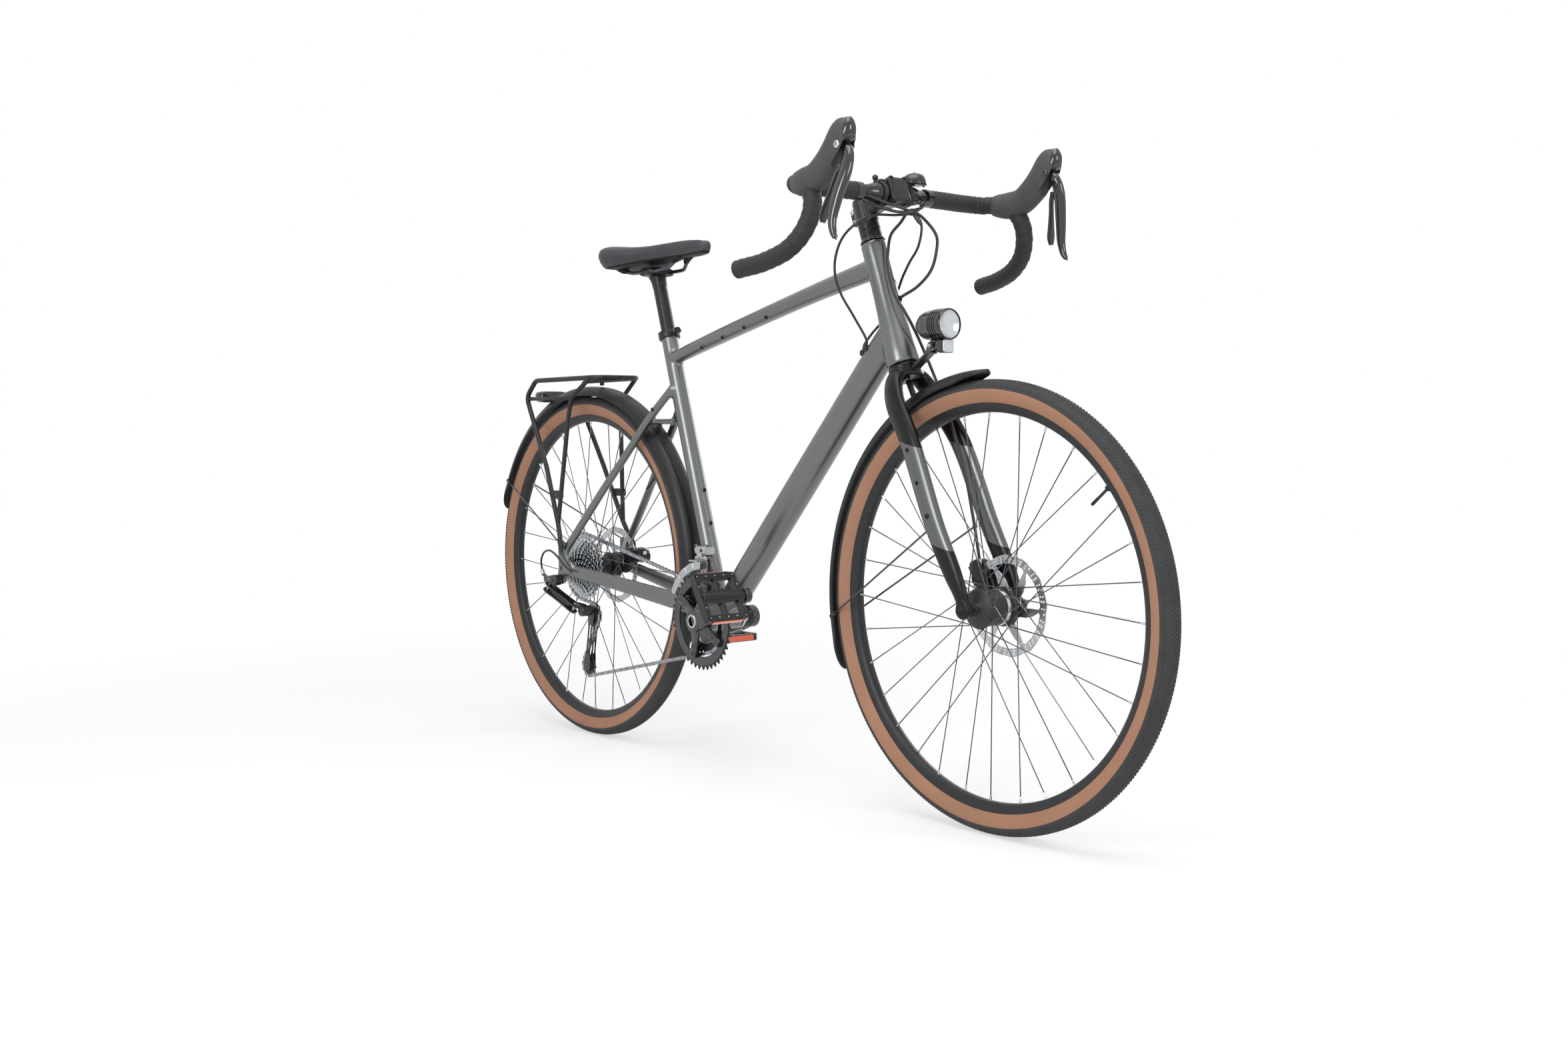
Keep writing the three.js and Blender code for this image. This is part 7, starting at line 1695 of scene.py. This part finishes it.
hanger_arm = loft([[-572, -89, 326, 7, 9], [-582, -89, 327.4, 7, 8.6], [-592, -89, 326, 7, 8],
                   [-603, -89, 325, 6.8, 7.8], [-612, -89, 327, 6, 6.6]], changer_black, 40, 0.6, 2)
stop_barrel = turned(softened([[2.3, -2], [4.2, -2], [4.2, 1.5], [3.7, 2], [3.7, 6], [4.2, 6.6], [4.2, 9],
                               [3, 10], [2.3, 10]], 0.3), (-626.5, -87.3, 335), unit((-0.35, 0, 0.94)),
                     forged_silver, 24)
piece("rear_changer_mount", [*knuckle(-572, 326, 79.9, 96.4), hanger_arm, stop_barrel,
                             rod((-608, -88.5, 329), (-627, -87.3, 334.6), 3.6, changer_black, 24),
                             rod(LINK_TOP - LINK_AXIS * 10, LINK_TOP + LINK_AXIS * 13, 4, forged_silver, 24),
                             screw((-590, -96.1, 327), -LEFT, 2.4, forged_silver, 1.3)],
      "rear_shifter_mount", ["rear_derailleur_mount"], "black_metal", angle=34)
link_parts = []
span = LINK_FOOT - LINK_TOP
link_side = unit(np.cross(span, LINK_AXIS))
for lift in (7.6, -7.6):
    rows = []
    for t, w in ((-0.11, 5.6), (-0.05, 8), (0.06, 9.4), (0.3, 8.6), (0.5, 8.2), (0.7, 8.6), (0.94, 9.4),
                 (1.05, 8), (1.11, 5.6)):
        rows.append([*(LINK_TOP + span * t + LINK_AXIS * lift), w, 2.2])
    link_parts.append(loft(rows, changer_black, 32, 0.6, 2, across=link_side))
link_parts.append(loft([[*(LINK_TOP + span * t), s, 7] for t, s in
                        ((0.12, 3.4), (0.18, 5.4), (0.82, 5.4), (0.88, 3.4))], changer_black, 28, 0.6, 3,
                       across=link_side))
for at in (LINK_TOP, LINK_FOOT):
    for way in (-1, 1):
        link_parts.append(screw(at + LINK_AXIS * way * 9.6, LINK_AXIS * way, 3.4, forged_silver, 1.2))
piece("rear_changer_link", link_parts, "rear_shifter_link", ["rear_derailleur_link"], "black_metal", angle=34)
neck = loft([[*(LINK_FOOT + LINK_AXIS * 9), 5, 5], [-537, -55, 272, 7, 7], [-530, -50, 268, 9, 9]],
            changer_black, 32, 0.8, 2)
piece("rear_changer_knuckle", [*knuckle(-528, 263, 38.2, 59.6), neck,
                               rod(LINK_FOOT - LINK_AXIS * 9, LINK_FOOT + LINK_AXIS * 13, 4,
                                   forged_silver, 24)],
      "rear_shifter_knuckle", ["rear_derailleur_knuckle"], "black_metal", angle=34)
GUIDE, TENSION = CHAIN_AXES["guide"], CHAIN_AXES["tension"]


def cage_plate(offset):
    """A waisted plate round both pulleys: wide eyes, a slim middle and two windows."""
    g, t = np.array(GUIDE, float), np.array(TENSION, float)
    down = unit(t - g)
    over = np.array([-down[1], down[0]])
    length = np.linalg.norm(t - g)

    def at(share, aside):
        """A point at a share of the way between the axes, and to one side of that line."""
        return g + down * length * share + over * aside

    shape = [g + over * 11.2 * math.sin(a) + down * 11.2 * math.cos(a)
             for a in np.linspace(0.5 * math.pi, 1.5 * math.pi, 11)]
    shape += [at(0.3, -6.6), at(0.7, -6.6)]
    shape += [t + over * 12.4 * math.sin(a) + down * 12.4 * math.cos(a)
              for a in np.linspace(1.5 * math.pi, 2.5 * math.pi, 11)]
    shape += [at(0.7, 6.6), at(0.3, 6.6)]
    holes = [softened([at(lo, -2.6), at(hi, -2.6), at(hi, 2.6), at(lo, 2.6)], 2, extra=3)
             for lo, hi in ((0.2, 0.47), (0.54, 0.78))]
    holes.append(circle(*TENSION, 6.4, 32))
    return plate([np.array(shape), *holes], 1.7, offset, changer_black, 0.35)

cage_bits = [cage_plate(COG_Y - 6.6), cage_plate(COG_Y + 6.6)]
for at in (GUIDE, TENSION):
    cage_bits.append(rod((at[0], -32.6, at[1]), (at[0], -17, at[1]), 2.5, forged_silver, 20))
    cage_bits.append(screw((at[0], -32, at[1]), -LEFT, 4, dark_metal, 1.6))
    for y in (-31.2, -18):
        cage_bits.append(hoop((at[0], y, at[1]), LEFT, 2.4, 6.6, 0.9, changer_black, 36, 0.2))
cage_bits.append(rod((-528, -38.2, 263), (-528, -31, 263), 6.2, changer_black, 32))
piece("rear_changer_cage", cage_bits, "rear_shifter_cage", ["rear_derailleur_cage"], "black_metal", angle=34)
pulley_rim = softened([[8.6, -3.1], [12.6, -3.1], [13, -2.6], [13, 2.6], [12.6, 3.1], [8.6, 3.1]], 0.4)
for name, at, body in (("guide", GUIDE, "upper_pulley"), ("tension", TENSION, "lower_pulley")):
    centre = (at[0], COG_Y, at[1])
    teeth = toothed(at, PULLEY_TEETH, tooth_angle(name, PULLEY_TEETH), 2.9)
    piece(name + "_wheel", [plate([teeth, circle(*at, 11, 40)], 1.9, COG_Y, moulded_black, 0.35),
                            turned(pulley_rim, centre, LEFT, moulded_black, 48),
                            hoop(centre, LEFT, 3, 8.7, 3.2, forged_silver, 40, 0.4)],
          body, [name + "_pulley"], "black_plastic", angle=34)

# %% [markdown]
# A brake calliper straddles the disc: two halves with a round piston housing each, a bridge
# over the disc's edge, cooling fins on the pads, two mounting bolts and a hose fitting.

# %% Callipers
calliper_black = finish("calliper_black", "#18191b", 0.34, 0.3, (60, 0.12), (110, 0.06), (1000, 0.00003))
CALLIPER_HALF_WIDTH, DISC_GAP, CLEAR_OF_DISC = 14.8, 1.9, 81.5

def calliper(centre, direction, axle, disc_y):
    """Parts of a calliper whose length runs along a direction; away points off the axle. The
    bridge joins the halves, and the fins stand, only where they are outside the disc's edge."""
    c, d = np.asarray(centre, float), unit(direction)
    away = unit(np.cross(d, LEFT))
    away = away if away @ (c - axle) > 0 else -away
    low, high = c[1] - CALLIPER_HALF_WIDTH, c[1] + CALLIPER_HALF_WIDTH
    parts = []
    for y0, y1 in ((low, disc_y - DISC_GAP), (disc_y + DISC_GAP, high)):
        rows = []
        for s, deep in ((-28.6, 7.4), (-26, 9.4), (-15, 12.4), (0, 13.2), (15, 12.4), (26, 9.4),
                        (28.6, 7.4)):
            at = c + d * s
            rows.append([at[0], (y0 + y1) / 2, at[2], (y1 - y0) / 2, deep])
        parts.append(loft(rows, calliper_black, 44, 0.5, 2))
    cover = softened([[0, -3], [16, -3], [16.4, -1], [14.6, 0.6], [12.6, 0.6], [12.2, -0.4],
                      [4.2, -0.4], [3.8, -1.6], [0, -1.6]], 0.4, closed=False)
    for y, way in ((low + 0.6, -1), (high - 0.6, 1)):
        parts.append(turned(cover, (c[0], y, c[2]), LEFT * way, calliper_black, 48))
    outside = [s for s in range(-24, 25)
               if np.linalg.norm((c + away * 6.8 + d * s - axle) * (1, 0, 1)) > CLEAR_OF_DISC]
    first, last = outside[0], outside[-1]
    rows = [[*(c + away * 10.4 + d * s), 14.4, 3.6] for s in (first, first + 3, last - 3, last)]
    parts.append(loft(rows, calliper_black, 36, 0.5, 3))
    for s in (-23, 23):
        at = c + d * s + away * 9.6
        parts.append(screw((at[0], high - 4.4, at[2]), away, 4.2, dark_metal, 3.4))
    for k in range(4):
        at = c + away * (13.4 + 1.2 * k) + d * (first + last) / 2
        parts.append(loft([[*(at - d * 6), 9 - k, 0.35], [*(at + d * 6), 9 - k, 0.35]],
                          dark_metal, 16, 0.5, 7))
    return parts

FORK_DOWN = unit((38.3, 0, -71))
front_body = calliper((513, 42.5, 391), FORK_DOWN, FRONT_AXLE, 38)
front_body.append(rod((502.4, 42, 418.5), (506, 42, 410), 4.2, bright_metal, 20))
piece("calliper_front", front_body, "steerer", ["front_calliper"], "black_metal", angle=36)
rear_body = calliper((-497, 59.5, 373), (1, 0, -0.09), REAR_AXLE, 55)
rear_body.append(rod((-470, 58, 377), (-462, 56, 380), 4, bright_metal, 20))
piece("calliper_rear", rear_body, "chassis", ["rear_calliper"], "black_metal", angle=36)
print("gear pieces:", len(made))

# %% [markdown]
# Mudguards are thin black shells with a rolled section: flat on the crown and turned down
# at the sides. Wire stays run to the frame, with small clamps where they meet the shell.

# %% Mudguards
guard_black = finish("guard_black", "#0f1011", 0.42, 0.0, (30, 0.12), (60, 0.06), (200, 0.00004),
                     specular=0.38)
GUARD_HALF_WIDTH, GUARD_WALL, TONGUE, SKIRT_FLATTENING = 24.5, 1.7, 48, 60
GUARD_SECTION = [(1, -17), (0.965, -13.5), (0.84, -7.6), (0.66, -3), (0.46, -0.7), (0.2, -0.1)]

def guard(axle, crown, start, stop):
    """A shell round part of a wheel: for each angle the section runs from one turned-down
    edge over the crown to the other, outside and then inside. Near its ends the shell
    narrows to a rounded tongue and its turned-down edges flatten."""
    eased = 5 * np.linspace(0, 1, 20) ** 2
    a = np.radians(np.concatenate([start + eased, np.linspace(start + 5.6, stop - 5.6, 120),
                                   stop - eased[::-1]]))
    left = np.minimum(a - a[0], a[-1] - a) * crown
    near_end = np.sqrt(np.clip(1 - (1 - np.clip(left / TONGUE, 0, 1)) ** 2, 0, 1))
    width = GUARD_HALF_WIDTH * (0.12 + 0.88 * near_end)
    skirt = 0.3 + 0.7 * np.clip(left / SKIRT_FLATTENING, 0, 1)
    line = flat_line(GUARD_SECTION + [(-y, d) for y, d in GUARD_SECTION[::-1]], 0.6)
    grid = []
    for side, cut in ((line, 0.0), (line[::-1], GUARD_WALL)):
        y = side[:, 0][None, :] * (width[:, None] - cut)
        r = crown + side[:, 1][None, :] * skirt[:, None] - cut
        grid.append(np.stack([axle[0] + r * np.cos(a)[:, None], y, axle[2] + r * np.sin(a)[:, None]], -1))
    return skin(np.concatenate(grid, 1), guard_black)

def on_circle(axle, radius, degrees, y=0.0):
    """The point at a radius and an angle about an axle, and at a distance to the left."""
    return axle + in_plane(math.radians(degrees)) * radius + LEFT * y

def guard_stay(from_end, eye):
    """A right-hand wire with a round eyelet, its screw and its clamp on the shell."""
    along = unit(eye - from_end)
    clamp = loft([[*(from_end + along * s), 2.8, 3.6] for s in (-1, 1, 13, 15)], moulded_black, 24, 0.6, 2)
    return [rod(from_end, eye + LEFT * 1.8, 1.6, dark_metal, 14),
            hoop(eye + LEFT * 1.8, -LEFT, 1.6, 4, 1.8, dark_metal, 28, 0.5),
            screw(eye + LEFT * 0.4, -LEFT, 3.2, bright_metal, 1.7), clamp]

def guard_set(axle, crown, angles, stay_angle, eye, lug_angle, lug_reach):
    """A mudguard with a stay on each side and the lug that holds it to the bicycle."""
    stay = guard_stay(on_circle(axle, crown - 14, stay_angle, -24.2), np.array(eye, float))
    lug = rod(on_circle(axle, crown - 2, lug_angle), on_circle(axle, lug_reach, lug_angle), 4.8,
              moulded_black, 28)
    seat = turned([[0, -1], [9, -1], [9, 0.6], [7, 1.6], [0, 1.8]], on_circle(axle, crown, lug_angle),
                  in_plane(math.radians(lug_angle)), moulded_black, 32)
    return [guard(axle, crown, *angles), *both_sides(*stay), lug, seat]

bridge_turn = math.degrees(math.atan2(bridge_at[2] - REAR_AXLE[2], bridge_at[0] - REAR_AXLE[0]))
piece("guard_rear", guard_set(REAR_AXLE, 372, (-10.5, 162.6), 151, (-577, -79.7, 402), bridge_turn, 382.4),
      "chassis", ["rear_mudguard"], "black_plastic", angle=50)
piece("guard_front", guard_set(FRONT_AXLE, 366, (91, 201), 186.5, (484.5, -52, 470), 117.3, 398.6),
      "steerer", ["front_mudguard"], "black_plastic", angle=50)

# %% [markdown]
# The rack is bent from one tube on each side, with a second front leg, a lower rail, cross
# bars and a small plate. Bends have one radius, as a tube bender leaves them.

# %% Rack
rack_grey = finish("rack_grey", "#2a2b2d", 0.42, 0.55, (60, 0.12), (110, 0.06), (1300, 0.00003))


def bent(points, radius):
    """A route of straight runs with round bends: each corner is cut back by the tangent
    length, radius times the tangent of half the turn, and an arc joins the cuts."""
    p = np.asarray(points, float)
    line = [p[0]]
    for i in range(1, len(p) - 1):
        back, ahead = unit(p[i - 1] - p[i]), unit(p[i + 1] - p[i])
        turn = math.acos(np.clip(-(back @ ahead), -1, 1))
        room = min(np.linalg.norm(p[i - 1] - p[i]), np.linalg.norm(p[i + 1] - p[i])) * 0.48
        cut = min(radius * math.tan(turn / 2), room)
        if cut < 0.3:
            line.append(p[i])
            continue
        a, b = p[i] + back * cut, p[i] + ahead * cut
        for t in np.linspace(0, 1, 9):
            line.append((1 - t) ** 2 * a + 2 * t * (1 - t) * p[i] + t * t * b)
    line.append(p[-1])
    fine = [line[0]]
    for a, b in zip(line[:-1], line[1:]):
        n = max(int(np.linalg.norm(b - a) // 14), 1)
        fine += [a + (b - a) * k / n for k in range(1, n + 1)]
    return np.array(fine)


RACK = [[-465, 2, 737], [-465, -42, 737], [-484, -55, 737], [-690, -60, 737], [-722, -64, 703],
        [-635, -70, 557], [-577, -79, 440], [-553, -87, 392]]
RACK_LEG = [[-484, -55, 737], [-545, -62, 699], [-556, -63.5, 660], [-577, -79, 442]]
rack_side = [sweep(bent(RACK, 22), 5, 5, rack_grey, 28, free=True),
             sweep(bent(RACK_LEG, 22), 4.6, 4.6, rack_grey, 28, free=True),
             rod((-717, -64, 699), (-546, -62, 697), 3.6, rack_grey, 24)]
foot = loft([[-549, -88.4, 385, 1.6, 3], [-551, -88.6, 389, 2, 6.4], [-558, -87.6, 402, 2.2, 6.4],
             [-563, -86, 411, 3.4, 5]], rack_grey, 28, 0.5, 2)
rack_plate = loft([[-608, -76, 501, 1.5, 6], [-606, -76, 501, 1.5, 7], [-564, -76, 501, 1.5, 7],
                   [-562, -76, 501, 1.5, 6]], rack_grey, 28, 0.4, 4)
rack_side += [foot, rack_plate, screw((-586, -77.3, 501), -LEFT, 3, dark_metal, 1.4)]
rack_mid = [rod((-527, -57, 737), (-527, 57, 737), 3.6, rack_grey, 24),
            rod((-712, -63, 700), (-712, 63, 700), 3.6, rack_grey, 24),
            rod((-527, 0, 723), (-527, 0, 737), 4.6, rack_grey, 24)]
piece("rack_frame", [*both_sides(*rack_side), *rack_mid], "chassis", ["rack"],
      "dark_steel", angle=50)

# %% [markdown]
# The tail light is a low box with a red lens across its back. Its lens shows a fine grid of
# ridges, and the case holds the rack's rear bar.

# %% Tail light
red_lens = finish("red_lens", "#8e0b10", 0.1, 0.0, (200, 0.18), (60, 0.03), (900, 0.0003, 0.5, True),
                  coat=(0.9, 0.04))
case = loft([[-742, 0, 704.5, 29.6, 10.6], [-738, 0, 704.5, 34, 12.2], [-720, 0, 704.5, 34.6, 12.3],
             [-713.6, 0, 704.5, 30, 10.8]], gloss_black, 64, 0.5, 1.5)
lens = loft([[-742.9, 0, 705, 24, 6.6], [-741.8, 0, 705, 27.6, 8.4], [-737, 0, 705, 28.6, 8.8]],
            red_lens, 56, 0.4, 1.2)
piece("rear_light", [case, lens], "chassis", ["tail_light"], "gloss_black", angle=44)

# %% [markdown]
# The headlight is a round housing with fins behind, a bright bezel, a reflector with facets
# and a domed lens. A flat bracket holds it on the crown, and a clear reflector sits below.

# %% Headlight
lamp_black = finish("lamp_black", "#101113", 0.2, 0.1, (40, 0.15), (60, 0.05), coat=(0.6, 0.08))
mirror_metal = finish("mirror_metal", "#e4e6e8", 0.08, 1.0, (80, 0.04), (100, 0.03))
LAMP = spot(481, 0, 789)
shell = [[0, -64.6], [12.6, -64.6], [14.2, -63.6], [18, -58], [21.6, -52.8], [24, -42], [24.6, -30.4]]
for k in range(4):
    x = -29.4 + 4.6 * k
    shell += [[25, x], [25, x + 2.8], [24.2, x + 3.1], [24.2, x + 4.3]]
shell += [[25, -9], [25, -1.2], [24.4, -0.2], [22.8, 0], [22.5, -0.8], [22.5, -6.8], [0, -6.8]]
bowl = [[0, -6.6], [4.4, -6.6], [4.6, -6.3]]
bowl += [[4.6 + 17.6 * t, -6.3 + 4.4 * t ** 1.7] for t in np.linspace(0.1, 1, 9)]
bowl += [[22.4, -2.6], [22.4, -6.7], [0, -6.75]]
neck = loft([[443, 0, 755, 4.6, 5.2], [444, 0, 762, 4.6, 5.6], [449, 0, 768.5, 4.6, 7.4]],
            lamp_black, 32, 0.6, 2)
eye = hoop((443, 0, 757), LEFT, 2, 6, 4.8, lamp_black, 36, 0.5)
holder = loft([[465, 0, 755, 12.3, 10.8], [469, 0, 755, 12.5, 11], [474.6, 0, 755, 12.5, 11],
               [476, 0, 755, 12.2, 10.7]], lamp_black, 40, 0.35, 2)
clear_face = finish("clear_reflector", "#c9ccd0", 0.08, 0.3, (300, 0.1), (60, 0.03),
                    (900, 0.0004, 0.5, True), coat=(0.9, 0.03))
glass = loft([[475.4, 0, 755, 11.4, 9.8], [477, 0, 755, 11.4, 9.8], [477.9, 0, 755, 11, 9.4]],
             clear_face, 40, 0.3, 1.2)
piece("headlight_housing", [turned(shell, LAMP, (1, 0, 0), lamp_black, 96),
                            turned(bowl, LAMP, (1, 0, 0), mirror_metal, 96), neck, eye, holder, glass],
      "headlight", ["lamp"], "gloss_black", angle=36)
lens_glass = bpy.data.materials.new("lens_glass")
lens_glass.use_nodes = True
tree = lens_glass.node_tree
lens_shader = tree.nodes["Principled BSDF"]
for key, value in (("Base Color", (0.9, 0.92, 0.94, 1)), ("Roughness", 0.05),
                   ("Transmission Weight", 0.85), ("IOR", 1.35)):
    lens_shader.inputs[key].default_value = value
prism = add_node(tree, "TexVoronoi", {"Vector": add_node(tree, "TexCoord").outputs["Object"]},
                 {"Scale": 260})
push = add_node(tree, "Bump", {"Height": prism.outputs["Distance"]}, {"Distance": 0.0002})
tree.links.new(push.outputs["Normal"], lens_shader.inputs["Normal"])
lens_dome = [[21.4 * math.cos(t), -1 + math.sin(t)] for t in np.linspace(0.1, 1.45, 9)]
lens_profile = [[0, -2.4], [21.4, -2.4], [21.6, -1.6], *lens_dome, [0, 0]]
piece("headlight_lens", [turned(lens_profile, LAMP, (1, 0, 0), lens_glass, 96)], "headlight",
      ["lamp_lens"], "clear_lens", angle=60)
strap_part = loft([[403, 0, 723.4, 9.6, 2.2], [411, 0, 729.4, 9.8, 2.3], [420, 0, 735, 9.8, 2.4],
                   [432, 0, 743, 9.4, 2.5], [440, 0, 748, 8.6, 2.5]], dark_metal, 40, 0.4, 2)
ear = loft([[438, 7.4, 746.6, 2.2, 4.2], [441, 7.4, 751, 2.2, 5.2], [443, 7.4, 757, 2.2, 5.6],
            [444.6, 7.4, 761.6, 2.1, 3.6]], dark_metal, 28, 0.6, 1.5)
ears = both_sides(ear, screw((443, 9.5, 757), LEFT, 3.6, bright_metal, 1.8))
piece("headlight_bracket", [strap_part, *ears, screw((412, 0, 732.6), (-0.6, 0, 0.8), 4, dark_metal, 2)],
      "steerer", ["lamp_bracket"], "dark_steel", angle=40)
print("fittings:", len(made))

# %% [markdown]
# Hoses and cables leave the bar's tape, cross in front of the stem and enter the frame and
# the calliper. Each has a real length along its own route. Those that cross from the steered
# part to the frame ride on no body.

# %% Hoses and cables
hose_black = finish("hose_black", "#121314", 0.4, 0.0, (200, 0.12), (200, 0.06), (1500, 0.00003),
                    coat=(0.2, 0.25))
adjuster_grey = finish("adjuster_grey", "#3a3c3f", 0.3, 0.6, (60, 0.1), (90, 0.05), coat=(0.3, 0.15))
FRONT_HOSE = [[350, 66.3, 989.3], [357, 44, 983], [361, 25, 979], [352, 17, 962], [334, 12, 944],
              [342, -3, 912], [350, -11, 888], [370, -15, 843], [389, -9, 812], [395, 9, 779],
              [403, 26, 738], [424, 30.5, 692], [440, 33, 655], [470, 38, 570], [489, 42.5, 480],
              [502, 42, 419]]
REAR_HOSE = [[350, -66.3, 989.3], [362, -42, 981], [373, -10, 974], [381, 22, 974], [394, 36, 958],
             [409, 42, 934], [410, 40, 910], [402, 35, 880], [386, 20, 855]]
LEFT_SHIFT = [[363.4, 66.3, 997.4], [371, 48, 987], [372.2, 22, 974], [361, 0, 971], [343, -40, 969],
              [322, -58, 955], [300, -65, 935], [283, -65, 905], [279, -62, 876], [279, -50, 848],
              [291, -32, 810]]
RIGHT_SHIFT = [[363.4, -66.3, 997.4], [374, -44, 988], [379, -10, 980], [376.6, 22, 974], [390, 26, 955],
               [386, 23, 920], [364, 24, 896], [342, 28, 872], [322, 33, 845], [310, 22, 812], [300, -2, 783]]
GEAR_CABLE = [[-520, -83.5, 344], [-548, -85, 358], [-575, -87, 377], [-600, -87, 385], [-622, -87, 380],
              [-634, -87, 365], [-633, -87, 350], [-629.5, -87, 338]]


def into_port(route, at, out):
    """The route with two more points, which lead straight into a port."""
    return [*route, at + out * 8, at + out * 0.6]

def ribbed(a, b, look):
    """A barrel adjuster between two points: a fluted grip between two plain collars."""
    a, b = np.asarray(a, float), np.asarray(b, float)
    length = np.linalg.norm(b - a)
    profile = [[2.2, 0], [3, 0], [3.2, 0.12], [3.4, 0.14]]
    for k in range(7):
        t = 0.18 + 0.09 * k
        profile += [[4.1, t], [4.1, t + 0.05], [3.6, t + 0.06], [3.6, t + 0.085]]
    profile += [[3.4, 0.86], [3, 0.9], [2.9, 1], [2.2, 1]]
    return turned([[r, t * length] for r, t in profile], a, b - a, look, 28)


def cable(name, route, radius, nodes, bends=None, body=None, adjuster=None):
    """A tube along a route, on a body if one is given. An adjuster is a piece of its own, on no
    body, on the straight stretch between two route points. With bends, the tube and its
    adjuster are baked in place, and the bodies that bends names are not used."""
    line = line_through(route, 4)
    obj = piece(name, [sweep(line, radius, radius, hose_black, 16, free=True)], body, nodes,
                "soft_rubber", angle=60)
    grips = []
    if adjuster:
        grip = ribbed(route[adjuster], route[adjuster + 1], adjuster_grey)
        grips.append(piece(name + "_adjuster", [grip], None, (), "black_metal"))
    for mesh in [obj, *grips] if bends else []:
        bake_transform(mesh)


ACROSS = ("steerer", "chassis")
cable("hose_front", FRONT_HOSE, 2.5, ["front_brake_hose"], body="steerer")
for name, route, port, grip_at in (("cable_front_shift", LEFT_SHIFT, CABLE_PORT, 4),
                                   ("cable_rear_shift", RIGHT_SHIFT, INNER_PORT, 3)):
    cable(name, into_port(route, port, PORT_UP), 2.1, ["control_cables"], ACROSS, adjuster=grip_at)
cable("hose_rear", into_port(REAR_HOSE, HEAD_PORT, HEAD_PORT_OUT), 2.5, ["control_cables"], ACROSS)
cable("changer_cable", GEAR_CABLE, 2.1, ["gear_cable"], body="chassis")
# A short tie holds the crossing cables together below the stem.
TIE_LOW, TIE_HIGH = (369.5, 19.2, 970.2), (385, 24.8, 977.6)
piece("cable_tie", [block(TIE_LOW, TIE_HIGH, hose_black)], "steerer", ["control_cables"], "black_plastic")

# %% Sizes and finish
print("pieces and faces:", made)
